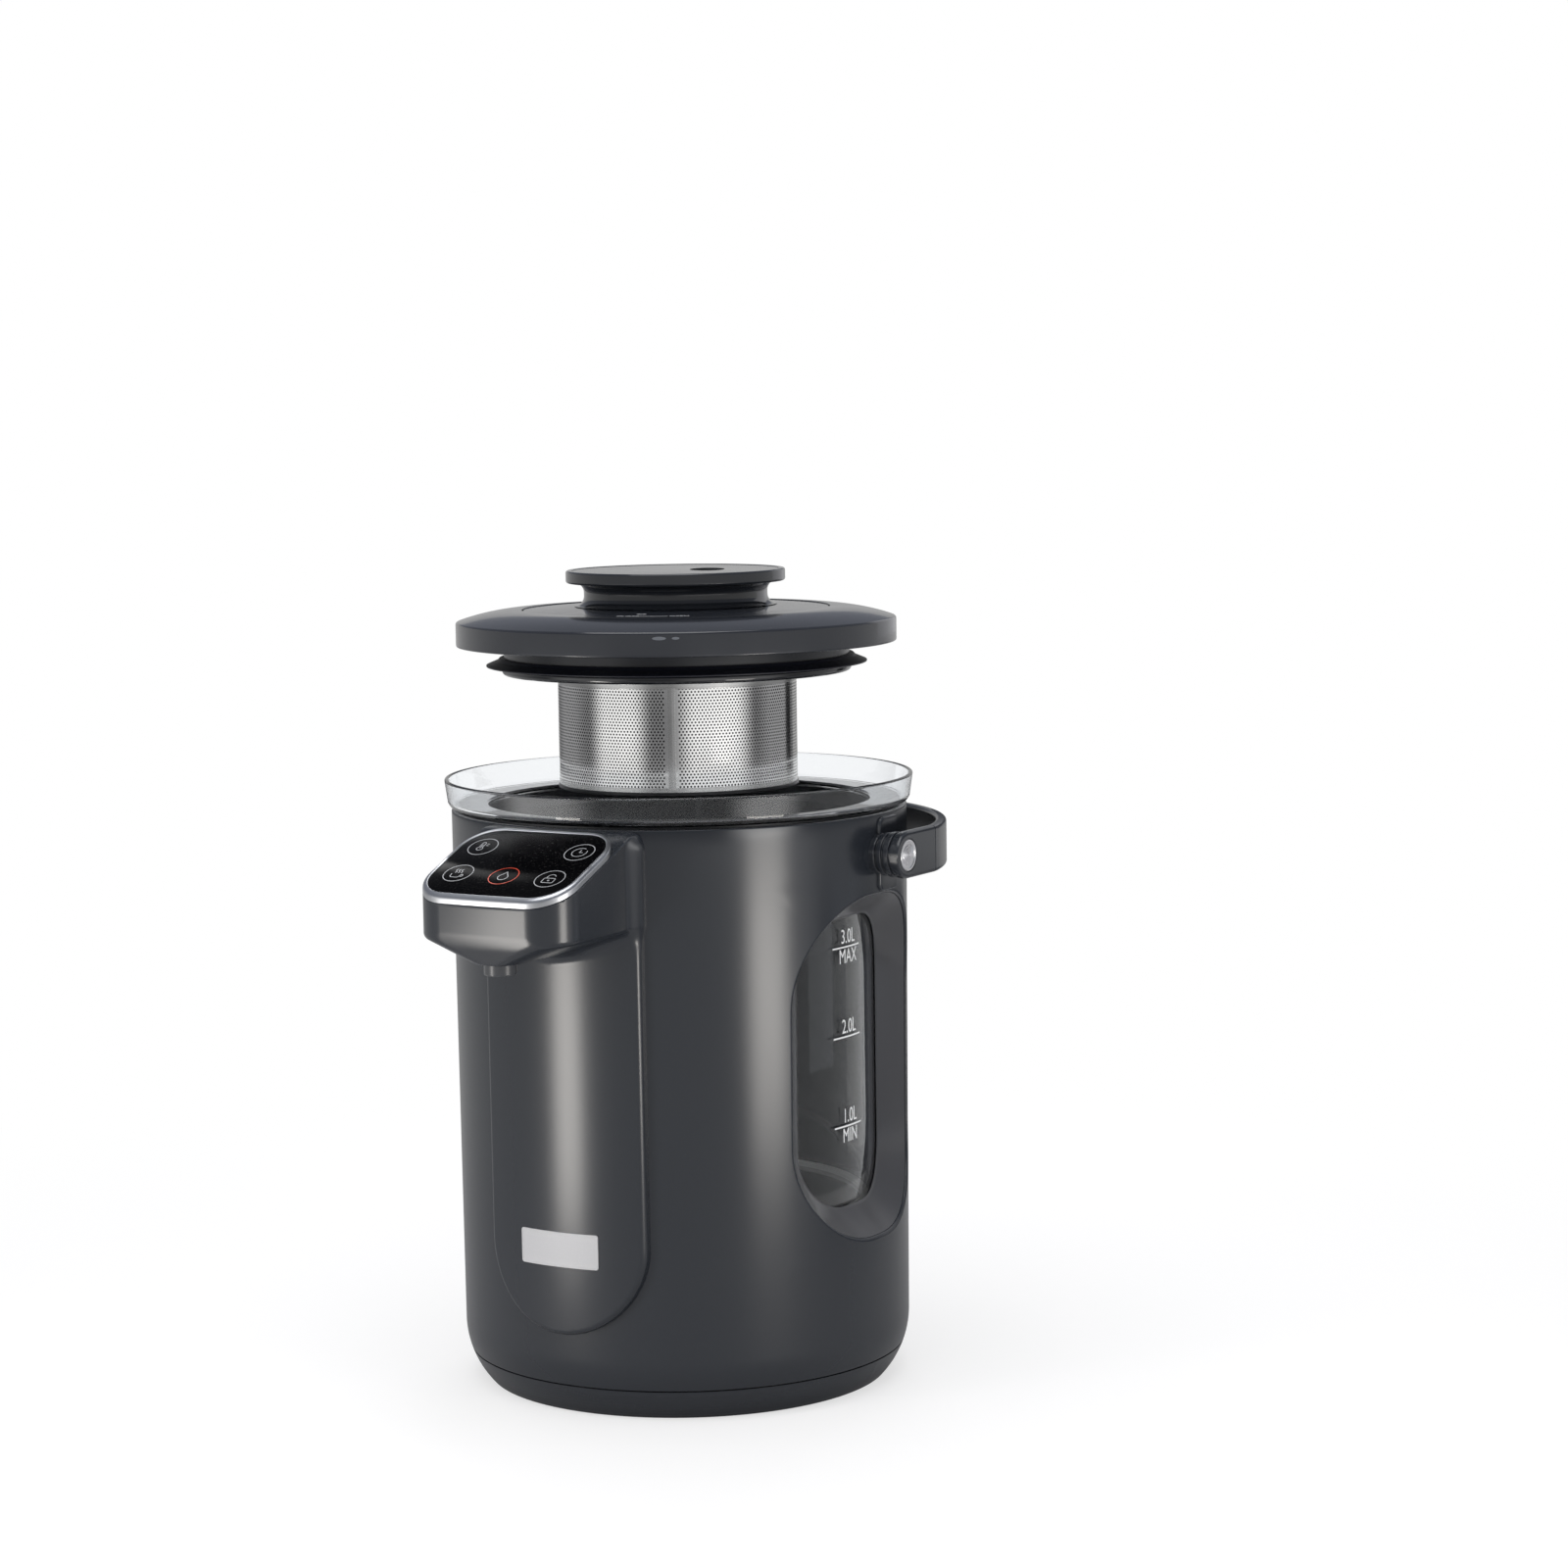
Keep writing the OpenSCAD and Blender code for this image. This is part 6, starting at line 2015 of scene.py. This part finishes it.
@dataclass
class TurningKnob(LidPart):
    """The inner disc that turns in the lid, with its neck, flange and cap."""

    disc_r: float = 71.7
    disc_top: float = 16.1
    disc_slope: float = 0.0627
    neck_low: float = 17.9
    neck_r: float = 43.0
    neck_bore: float = 40.6
    neck_bend: float = 4.5
    flange_low: float = 28.6
    flange_r: float = 51.4
    top: float = 34.4
    cap_r: float = 48.35
    words_at: float = 23.0
    words_r: float = 68.5
    vent_at: tuple[float, float] = (15.0, 4.0)
    vent_turn: float = -58.0

    def bent(self, flat: Shape, proud: float = 0.03) -> Shape:
        """Lay flat letters round the disc's sloping top.

        Args:
            flat: The letters, with X across and Y inwards.
            proud: How far they stand off the disc.

        Returns:
            The bent letters.
        """
        across, inward, out = flat.points.T
        angle, r = math.radians(self.words_at) + across / self.words_r, self.words_r - inward
        z = self.disc_top + (self.disc_r - r) * self.disc_slope + out + proud
        return Shape(from_front(r, angle, z), flat.faces)

    def words(self) -> Shape:
        """Make the small raised words, the line between them and the arrow over it.

        Returns:
            All of them, laid on the disc.
        """
        letter, squeeze, deep, apart, arrow_v = 2.6, 0.95, 0.12, 12.0, 8.0
        parts = []
        for text, side in (("CLOSE", -1), ("OPEN", 1)):
            flat = self.shop.lettering(text, letter, deep, squeeze)
            parts.append(flat.moved(Matrix.Translation((side * apart, 0, 0))))
        parts.append(ribbon([(u, 0.0) for u in np.linspace(-6.9, 6.7, 9)], 0.4, -deep / 2, deep / 2))
        for tip, root in ((-10.0, -8.6), (-4.8, -6.2)):
            head = [(tip, arrow_v), (root, arrow_v - 1.1), (root, arrow_v + 1.1)]
            parts.append(plate(head, -deep / 2, deep / 2))
        shaft = [(u, arrow_v) for u in np.linspace(-8.5, -6.3, 4)]
        parts.append(ribbon(shaft, 0.5, -deep / 2, deep / 2))
        return self.bent(joined(parts))

    def disc(self) -> Outline:
        """Draw the section of the disc and of the sleeve that hangs from it.

        Returns:
            Its points.
        """
        sleeve_in, sleeve_out, sleeve_low, under = 59.0, 61.0, -11.6, 13.3
        return rounded([
            (self.disc_r, under), (self.disc_r, self.disc_top, 0.45), (self.neck_r, self.neck_low),
            (self.neck_bore, self.neck_low), (self.neck_bore, 15.5), (sleeve_in, 14.3),
            (sleeve_in, sleeve_low), (sleeve_out, sleeve_low), (sleeve_out, under),
        ])

    def grip(self) -> Outline:
        """Draw the grip's section, with the hollow bend of its neck.

        Returns:
            Its points.
        """
        middle, bend, seat = self.neck_r + self.neck_bend, self.neck_bend, self.cap_r + 0.05
        foot = arc(middle, self.neck_low + bend, bend, -90, -180, 9)
        under = arc(middle, self.flange_low - bend, bend, 180, 90, 9)
        rim = rounded([
            (self.flange_r, self.flange_low, 1.1), (self.flange_r, self.top, 1.0),
            (seat, self.top, 0.25), (seat, self.top - 1.4), (0.0, self.top - 1.4),
            (0.0, self.top - 3.8), (self.neck_bore, self.top - 3.8), (self.neck_bore, self.neck_low),
            (self.neck_r, self.neck_low), (self.neck_r, self.flange_low),
        ])
        return rim[:-2] + foot + [p for p in under if p[1] > foot[-1][1] + 0.01]

    def in_vent(self, shape: Shape) -> Shape:
        """Return a shape set in the cap's oval vent, with its length along X."""
        place = Matrix.Translation((*self.vent_at, self.base_z))
        return shape.moved(place @ Matrix.Rotation(math.radians(self.vent_turn), 4, "Z"))

    def oval(self, half_l: float, half_w: float, low: float, high: float) -> Shape:
        """Return an upright oval block in the vent."""
        return self.in_vent(plate([(x * half_l, y * half_w) for x, y in circle(1, 48)], low, high))

    def build(self) -> None:
        """Turn the disc, the grip and the cap, and add the vent and the words."""
        self.shop.make("turning_disc", self.turned(self.disc()), "plug", "lid_gloss", ["lid_disc"])
        self.shop.make("knob_grip_skin", self.turned(self.grip(), 192), "plug", "knob_gloss", ["knob_grip"])
        high, low, edge = self.top - 0.2, self.top - 1.38, self.cap_r - 0.1
        section = rounded([(0.0, low), (edge, low), (edge, high, 0.35), (0.0, high)])
        cap = self.shop.make("knob_cap_skin", self.turned(section, 192), "plug", "knob_gloss", ["knob_cap"])
        self.shop.carve(cap, self.oval(14.0, 8.2, high - 0.9, high + 2))
        # The vent's floor is a near-black sheet, painted shade in the recess.
        floor = self.oval(13.8, 8.0, high - 0.95, high - 0.8)
        self.shop.make("vent_floor", floor, "plug", "seal_black", material="seam_dark")
        bars = [ribbon([(u, v) for v in (-5.6, 0.0, 5.6)], 1.1, high - 0.85, high - 0.35)
                for u in (-7.2, -3.6, 0.0, 3.6, 7.2)]
        self.shop.make("vent_bars", self.in_vent(joined(bars)), "plug", "seal_black")
        self.shop.make("disc_words", self.words().raised(self.base_z), "plug", "badge_silver",
                       material="icon_grey")


@dataclass
class Infuser(LidPart):
    """The perforated steel basket with its lining, bands, weld strip and foot ring."""

    radius: float = 56.0
    wall: float = 0.5
    low: float = -63.9
    high: float = -17.3
    bottom: float = -66.6
    columns: int = 216
    row_pitch: float = 1.4
    hole: float = 0.5
    floor_r: float = 52.5
    floor_pitch: float = 2.1
    floor_row: float = 1.82
    floor_hole: float = 0.62
    lining_gap: float = 0.5
    lining: float = 0.6
    weave: float = 0.12
    waves: int = 36
    weld_at: float = 28.8
    weld_w: float = 3.4
    weld_swell: tuple[float, ...] = (0.04, 0.1, 0.05, 0.16, 0.05, 0.1, 0.04)

    def cells(self, centres: Array, solid: Array, pitch_u: float, pitch_v: float,
              hole: float) -> tuple[Array, Faces]:
        """Lay six-sided cells with a six-sided hole in each.

        Args:
            centres: Middle of each cell as (u, v).
            solid: True for each cell without a hole.
            pitch_u: Distance between cells across.
            pitch_v: Distance between rows.
            hole: Radius of a hole.

        Returns:
            The flat points, with shared corners merged, and the faces.
        """
        corner = [(0.5, 1 / 3), (0.0, 2 / 3), (-0.5, 1 / 3), (-0.5, -1 / 3), (0.0, -2 / 3), (0.5, -1 / 3)]
        rim = np.array([(a * pitch_u, b * pitch_v) for a, b in corner])
        turns = np.radians([30, 90, 150, 210, 270, 330])
        inner = np.stack([np.cos(turns), np.sin(turns)], 1) * hole
        outer_points = (centres[:, None, :] + rim[None]).reshape(-1, 2)
        inner_points = (centres[:, None, :] + inner[None]).reshape(-1, 2)
        keys = np.round(outer_points * 1000).astype(np.int64)
        _, first, back = np.unique(keys, axis=0, return_index=True, return_inverse=True)
        number = back.ravel().tolist()
        kept = [outer_points[first]]
        faces: Faces = []
        start = len(first)
        for c in range(len(centres)):
            ids = number[c * 6:c * 6 + 6]
            if solid[c]:
                faces.append(tuple(ids))
                continue
            kept.append(inner_points[c * 6:c * 6 + 6])
            for k in range(6):
                n = (k + 1) % 6
                faces.append((ids[k], ids[n], start + n, start + k))
            start += 6
        return np.concatenate(kept), faces

    def wall_sheet(self) -> Shape:
        """Make the perforated wall, which is plain under the weld strip.

        Returns:
            The wall.
        """
        girth = 2 * math.pi * self.radius
        pitch = girth / self.columns
        rows = round((self.high - self.low) / self.row_pitch)
        centres, solid = [], []
        weld = math.radians(self.weld_at) * self.radius
        for j in range(rows + 1):
            for i in range(self.columns):
                u = (i + 0.5 * (j % 2)) * pitch
                centres.append((u, self.low + j * self.row_pitch))
                apart = (u - weld + girth / 2) % girth
                solid.append(abs(apart - girth / 2) < self.weld_w / 2 + pitch)
        flat, faces = self.cells(np.array(centres), np.array(solid), pitch, self.row_pitch, self.hole)
        around = np.round((flat[:, 0] / girth) % 1, 7) % 1
        keys = np.round(np.column_stack([around * 1e5, flat[:, 1] * 1e3])).astype(np.int64)
        _, first, back = np.unique(keys, axis=0, return_index=True, return_inverse=True)
        number = back.ravel().tolist()
        faces = [tuple(number[i] for i in face) for face in faces]
        angle, z = around[first] * 2 * math.pi, flat[first, 1]
        inner = from_front(self.radius - self.wall, angle, z)
        return thickened(from_front(self.radius, angle, z), inner, faces).outward()

    def floor_sheet(self) -> Shape:
        """Make the perforated floor.

        Returns:
            The floor.
        """
        pitch, row = self.floor_pitch, self.floor_row
        across, along = math.ceil(self.floor_r / pitch) + 2, math.ceil(self.floor_r / row) + 1
        centres = []
        for j in range(-along, along + 1):
            for i in range(-across, across + 1):
                u, v = (i + 0.5 * (j % 2)) * pitch, j * row
                if math.hypot(u, v) < self.floor_r:
                    centres.append((u, v))
        flat, faces = self.cells(np.array(centres), np.zeros(len(centres)), pitch, row, self.floor_hole)
        low = np.column_stack([flat, np.full(len(flat), self.bottom + 0.15)])
        return thickened(low + np.array([0, 0, self.wall]), low, faces).outward()

    def gauze(self) -> Shape:
        """Turn the fine dark gauze that lines the wall, with its waves.

        Returns:
            The lining.
        """
        front = self.radius - self.wall - self.lining_gap
        back = front - self.lining
        rows = np.linspace(self.low + 0.4, self.high - 0.4, self.waves * 4 + 1)
        skin = [(front + self.weave * math.sin(k * math.pi / 2), z) for k, z in enumerate(rows)]
        return self.turned([(back, rows[0]), *skin, (back, rows[-1])])

    def ring(self, r_out: float, r_in: float, low: float, high: float, ease: float = 0.15) -> Shape:
        """Return a plain band with eased edges."""
        corners = [(r_in, low, ease), (r_out, low, ease), (r_out, high, ease), (r_in, high, ease)]
        return self.turned(rounded(corners, step=30, hold=0.08))

    def weld(self) -> Shape:
        """Loft the weld strip with its low ridges.

        Returns:
            The strip.
        """
        middle, half = math.radians(self.weld_at), self.weld_w / 2 / self.radius
        back, z = self.radius - 0.2, np.array([self.low, self.low, self.high, self.high])
        rings = []
        for angle, out in zip(np.linspace(middle - half, middle + half, 7), self.weld_swell):
            front = self.radius + out
            rings.append(from_front(np.array([back, front, front, back]), angle, z))
        return loft(rings).raised(self.base_z)

    def build(self) -> None:
        """Make the wall, the floor, the lining, the bands, the weld strip and the foot ring."""
        out, inside, low = self.radius + 0.04, self.radius - self.wall - 0.04, self.bottom
        bands = joined([self.ring(out, inside, self.high - 0.6, -8.0),
                        self.ring(out, inside, low + 0.3, self.low + 0.9),
                        self.ring(self.radius - 0.3, self.floor_r - 0.9, low + 0.1, low + 0.75)])
        foot = self.ring(self.radius + 0.5, self.radius - 0.9, low - 0.2, low + 1.5, 0.35)
        for name, sheet in (("infuser_wall", self.wall_sheet()), ("infuser_floor", self.floor_sheet())):
            self.shop.make(name, sheet.raised(self.base_z), "infuser", "steel_mesh", ["infuser_basket"],
                           sharp=60)
        self.shop.make("infuser_gauze", self.gauze(), "infuser", "steel_mesh", material="gauze_dark")
        for name, shape in (("infuser_bands", bands), ("infuser_weld", self.weld())):
            self.shop.make(name, shape, "infuser", "steel_brushed", ["infuser_basket"])
        self.shop.make("infuser_foot_ring", foot, "infuser", "infuser_trim", ["infuser_foot"])


# Studio


WARM = (1.0, 0.965, 0.92)
WHITE = (1.0, 1.0, 1.0, 1.0)
# Distance, low and high of the cards that the basket and the collar mirror, in metres
MESH_BAND = (0.5, 0.2375, 0.306)
COLLAR_BAND = (0.14, 0.2622, 0.2745)
MESH_DIM = tone(124, 124, 126)
MESH_SIDE = tone(168, 168, 170)
COLLAR_DIM = tone(84, 84, 88)


def grey(level: float) -> Colour:
    """Return a grey of a linear level, which may be brighter than white."""
    return (level, level, level, 1.0)


@dataclass(frozen=True)
class Softbox:
    """A soft lamp that faces the dispenser, with its sizes in metres and its power in watts.

    Attributes:
        azimuth: Its direction from the front towards +X, in degrees.
        size: Its width and height.
        aim: Height of the point that it faces.
        mirrored: Whether reflections show it.
    """

    name: str
    azimuth: float
    distance: float
    height: float
    size: tuple[float, float]
    power: float
    aim: float = 0.2
    mirrored: bool = True
    tint: tuple[float, float, float] = (1.0, 1.0, 1.0)

    def build(self) -> None:
        """Add the lamp."""
        lamp = bpy.data.lights.new(self.name, "AREA")
        lamp.shape = "RECTANGLE"
        lamp.size, lamp.size_y = self.size
        lamp.energy = self.power
        lamp.color = self.tint
        holder = linked(self.name, lamp)
        holder.location = from_front(self.distance, math.radians(self.azimuth), self.height)
        away = Vector((0, 0, self.aim)) - holder.location
        holder.rotation_euler = away.to_track_quat("-Z", "Y").to_euler()
        holder.visible_glossy = self.mirrored
        holder.visible_camera = False
        holder.visible_transmission = False


@dataclass(frozen=True)
class Card:
    """A bent studio card that only reflections show, with its sizes in metres.

    Attributes:
        start: Direction of its first edge from the front towards +X, in degrees.
        end: Direction of its last edge.
        soft: Angle over which it fades in from each end, in degrees.
        edge: Colour that it fades from.
        through: Whether rays that came through the clear collar show it too.
    """

    name: str
    start: float
    end: float
    distance: float
    low: float
    high: float
    shade: Colour
    soft: float = 0.0
    edge: Colour = WHITE
    through: bool = False

    def fade(self, board: NodeBoard) -> Socket:
        """Let the card's colour fade towards both ends.

        Args:
            board: The material's node board.

        Returns:
            The colour's socket.
        """
        x, y, _ = board.axes(board.place())
        turn = board.calc("ARCTAN2", x, board.calc("MULTIPLY", y, -1.0))
        middle, half = math.radians(self.start + self.end) / 2, math.radians(self.end - self.start) / 2
        apart = board.calc("ABSOLUTE", board.calc("SUBTRACT", turn, middle))
        share = board.ramp(apart, half, half - math.radians(self.soft), interpolation_type="SMOOTHSTEP")
        return board.mix(share, self.edge, self.shade)

    def build(self) -> None:
        """Bend the card round the dispenser and stand it up."""
        steps = 16
        turns = np.radians(np.linspace(self.start, self.end, steps + 1))
        points = [tuple(from_front(self.distance, a, z)) for z in (self.low, self.high) for a in turns]
        faces = [(i, i + 1, i + steps + 2, i + steps + 1) for i in range(steps)]
        stage_piece(self.name, points, faces, self.shade, self.fade if self.soft else None, self.through)


def stage_piece(name: str, points: list[tuple[float, ...]], faces: Faces, shade: Colour,
                fade: Callable[[NodeBoard], Socket] | None = None, through: bool = False) -> None:
    """Add a cloth or card of even shade that only reflections show.

    Args:
        name: The piece's name.
        points: Its points, in metres.
        faces: Its faces.
        shade: Its colour.
        fade: Gives the colour's socket where the colour changes over the piece.
        through: Whether rays that came through glass show it too.
    """
    mesh = new_mesh(name, points, faces)
    material = bpy.data.materials.new(name)
    material.use_nodes = True
    board = NodeBoard(material.node_tree)
    glow = board.add("Emission", Color=fade(board) if fade else shade)
    board.feed(material.node_tree.nodes["Material Output"], "Surface", glow.outputs[0])
    mesh.materials.append(material)
    piece = linked(name, mesh)
    for ray in ("camera", "diffuse", "transmission", "volume_scatter", "shadow"):
        setattr(piece, f"visible_{ray}", through and ray == "transmission")
    piece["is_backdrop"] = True


@dataclass
class Studio:
    """Camera, lamps, pale floor and white surround."""

    camera_at: tuple[float, float, float] = (0.92351, -1.48846, 0.46357)
    yaw: float = 30.2
    pitch: float = -6.03
    roll: float = 0.825
    lens: float = 85.79
    ambient: float = 0.45
    mirrored: float = 0.1
    floor_rings: tuple[float, ...] = (0.3, 0.8, 1.6, 3.2)
    floor_fill: float = 0.62
    floor_fade: tuple[float, float] = (0.28, 0.75)
    hood: tuple[tuple[float, float], ...] = ((2.7, 0.85), (2.2, 1.35), (1.5, 1.8), (0.6, 2.0))
    lamps: tuple[Softbox, ...] = (
        Softbox("left_softbox", -19.2, 0.445, 0.09, (0.095, 0.165), 0.42, aim=0.09, tint=WARM),
        Softbox("head_softbox", -19.2, 0.445, 0.198, (0.045, 0.05), 0.074, aim=0.198, tint=WARM),
        Softbox("right_softbox", 72.2, 0.70, 0.0985, (0.22, 0.187), 0.95, aim=0.0985, tint=WARM),
        Softbox("top_softbox", 10.0, 0.3, 1.5, (1.1, 1.1), 9.0),
        Softbox("back_softbox", 200.0, 1.4, 0.8, (0.9, 0.9), 6.0, mirrored=False),
    )
    cards: tuple[Card, ...] = (
        Card("dark_flag", 97.0, 175.0, 0.5, 0.001, 0.175, tone(70, 72, 78)),
        Card("ramp_panel", 83.0, 96.0, 0.5, 0.03, 0.24, tone(225, 225, 228)),
        Card("upper_panel", 150.0, 185.0, 0.5, 0.32, 0.6, tone(215, 215, 218)),
        Card("mesh_left", -58.0, 9.0, *MESH_BAND, grey(1.35), 20.0, MESH_DIM, True),
        Card("mesh_right", 25.0, 108.0, *MESH_BAND, grey(1.4), 24.0, MESH_DIM, True),
        Card("mesh_middle", 9.0, 25.0, *MESH_BAND, MESH_DIM, through=True),
        Card("mesh_edge_left", -126.0, -58.0, *MESH_BAND, MESH_SIDE, 26.0, MESH_DIM, True),
        Card("mesh_edge_right", 108.0, 172.0, *MESH_BAND, MESH_SIDE, 20.0, MESH_DIM, True),
        Card("mesh_bar", 154.0, 165.0, 0.498, *MESH_BAND[1:], tone(20, 20, 22), through=True),
        Card("cap_panel", 140.0, 153.5, 0.497, 0.188, 0.2374, tone(238, 238, 240)),
        Card("collar_left", -32.0, 9.0, *COLLAR_BAND, grey(3.6), 15.0, COLLAR_DIM),
        Card("collar_right", 44.0, 72.0, *COLLAR_BAND, grey(3.6), 11.0, COLLAR_DIM),
        Card("collar_middle", 9.0, 44.0, *COLLAR_BAND, COLLAR_DIM),
        Card("collar_end_left", -110.0, -32.0, *COLLAR_BAND, COLLAR_DIM),
        Card("collar_end_right", 72.0, 150.0, *COLLAR_BAND, COLLAR_DIM),
        Card("side_panel", 105.0, 124.0, 0.495, 0.075, 0.186, tone(172, 176, 184)),
        Card("back_panel", 137.0, 157.0, 0.495, 0.02, 0.186, tone(150, 150, 150)),
    )

    def camera(self) -> None:
        """Add the camera at the photograph's place."""
        yaw, pitch, roll = (math.radians(a) for a in (self.yaw, self.pitch, self.roll))
        look = Vector((-math.sin(yaw) * math.cos(pitch), math.cos(yaw) * math.cos(pitch), math.sin(pitch)))
        right = Vector((math.cos(yaw), math.sin(yaw), 0))
        up = right.cross(look)
        x_axis = right * math.cos(roll) - up * math.sin(roll)
        y_axis = right * math.sin(roll) + up * math.cos(roll)
        matrix = Matrix((x_axis, y_axis, -look)).transposed().to_4x4()
        matrix.translation = Vector(self.camera_at)
        data = bpy.data.cameras.new("photo_view")
        data.lens = self.lens
        data.sensor_width = 36.0
        data.clip_start = 0.05
        holder = linked("photo_view", data)
        holder.matrix_world = matrix
        bpy.context.scene.camera = holder

    def seen(self, board: NodeBoard) -> Socket:
        """Find the rays that show the white surround.

        Args:
            board: The node board of the world or the material.

        Returns:
            A socket with 1 for camera and transmitted rays, a small share for glossy ones, else 0.
        """
        path = board.add("LightPath").outputs
        mirrored = board.calc("MULTIPLY", path["Is Glossy Ray"], self.mirrored)
        both = board.calc("ADD", path["Is Camera Ray"], mirrored, clamp=True)
        return board.calc("ADD", both, path["Is Transmission Ray"], clamp=True)

    def white(self, board: NodeBoard) -> Socket:
        """Return the surround's strength, which is 1 where it shows and less where it lights."""
        extra = board.calc("MULTIPLY", self.seen(board), 1.0 - self.ambient)
        return board.calc("ADD", extra, self.ambient)

    def surround(self) -> None:
        """Make the world white where it shows and soft where it lights."""
        world = bpy.data.worlds.new("white_surround")
        world.use_nodes = True
        board = NodeBoard(world.node_tree)
        shade = world.node_tree.nodes["Background"]
        board.feed(shade, "Color", WHITE)
        board.feed(shade, "Strength", self.white(board))
        bpy.context.scene.world = world

    def floor_material(self) -> bpy.types.Material:
        """Make the floor's material, which fades into the white surround far out.

        Returns:
            The material.
        """
        material = bpy.data.materials.new("pale_floor")
        material.use_nodes = True
        board = NodeBoard(material.node_tree)
        shader = material.node_tree.nodes["Principled BSDF"]
        board.feed(shader, "Base Color", tone(176, 176, 178))
        board.feed(shader, "Roughness", 0.9)
        fill = board.calc("MULTIPLY", self.seen(board), self.floor_fill)
        near, blend = board.add("AddShader"), board.add("MixShader")
        board.feed(near, 0, shader.outputs[0])
        board.feed(near, 1, board.add("Emission", Strength=fill).outputs[0])
        x, y, _ = board.axes(board.place())
        far = board.ramp(board.length(x, y), *self.floor_fade, interpolation_type="SMOOTHSTEP")
        white = board.add("Emission", Strength=self.white(board))
        for number, source in enumerate((far, near.outputs[0], white.outputs[0])):
            board.feed(blend, number, source)
        board.feed(material.node_tree.nodes["Material Output"], "Surface", blend.outputs[0])
        return material

    def floor(self) -> None:
        """Lay the pale floor as rings round a middle point."""
        count = 96
        points = [(0.0, 0.0, 0.0)] + [(x, y, 0.0) for r in self.floor_rings for x, y in circle(r, count)]
        faces: Faces = [(0, 1 + i, 1 + (i + 1) % count) for i in range(count)]
        for a in range(1, len(points) - count, count):
            b = a + count
            faces += [(a + i, b + i, b + (i + 1) % count, a + (i + 1) % count) for i in range(count)]
        mesh = new_mesh("pale_floor", points, faces)
        mesh.materials.append(self.floor_material())
        ground = linked("pale_floor", mesh)
        ground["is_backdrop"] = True

    def dark_hood(self) -> None:
        """Hang the dark cloth hood that only reflections show, so that gloss keeps its depth."""
        count = 48
        points = [(x, y, z) for r, z in self.hood for x, y in circle(r, count)]
        last = len(points) - count
        faces: Faces = []
        for a in range(0, last, count):
            b = a + count
            faces += [(a + i, a + (i + 1) % count, b + (i + 1) % count, b + i) for i in range(count)]
        faces += [(last + i, last + (i + 1) % count, len(points)) for i in range(count)]
        points.append((0.0, 0.0, self.hood[-1][1]))
        stage_piece("dark_hood", points, faces, tone(126, 129, 138))

    def build(self) -> None:
        """Set the view and build everything round the dispenser."""
        bpy.context.scene.view_settings.view_transform = "Standard"
        self.camera()
        self.surround()
        self.floor()
        self.dark_hood()
        for part in (*self.lamps, *self.cards):
            part.build()


def dress_kept_nodes(frame: dict, shop: Workshop) -> None:
    """Give every CAD node that still shows its procedural material.

    Args:
        shop: The workshop with the materials.
    """
    for name, node in sorted(frame["nodes"].items()):
        for holder in node.material_slots:
            slot = holder.material.name.split(".")[0] if holder.material else "inner_plastic"
            if slot in shop.materials:
                holder.material = shop.materials[slot]
        LOG.info("dressed %s", name)


def corners(box: tuple[Vector, Vector]) -> list[list[float]]:
    """Return a box's two corners as plain lists of numbers."""
    return [[float(value) for value in corner] for corner in box]


def main() -> None:
    """Build the scene, piece by piece."""
    logging.basicConfig(level=logging.INFO, format="%(name)s: %(message)s")
    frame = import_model()
    cad_box = corners(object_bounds())
    shop = Workshop()
    Studio().build()
    dress_kept_nodes(frame, shop)
    for assembly in (Housing, WindowBezel, SpoutColumn, TouchPanel, Spout, Badge, Tank, Handle, Lid,
                     TurningKnob, Infuser):
        assembly(shop).build()
        LOG.info("built %s", assembly.__name__)
    {"cad": cad_box, "visual": corners(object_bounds())}


if __name__ == "__main__":
    main()
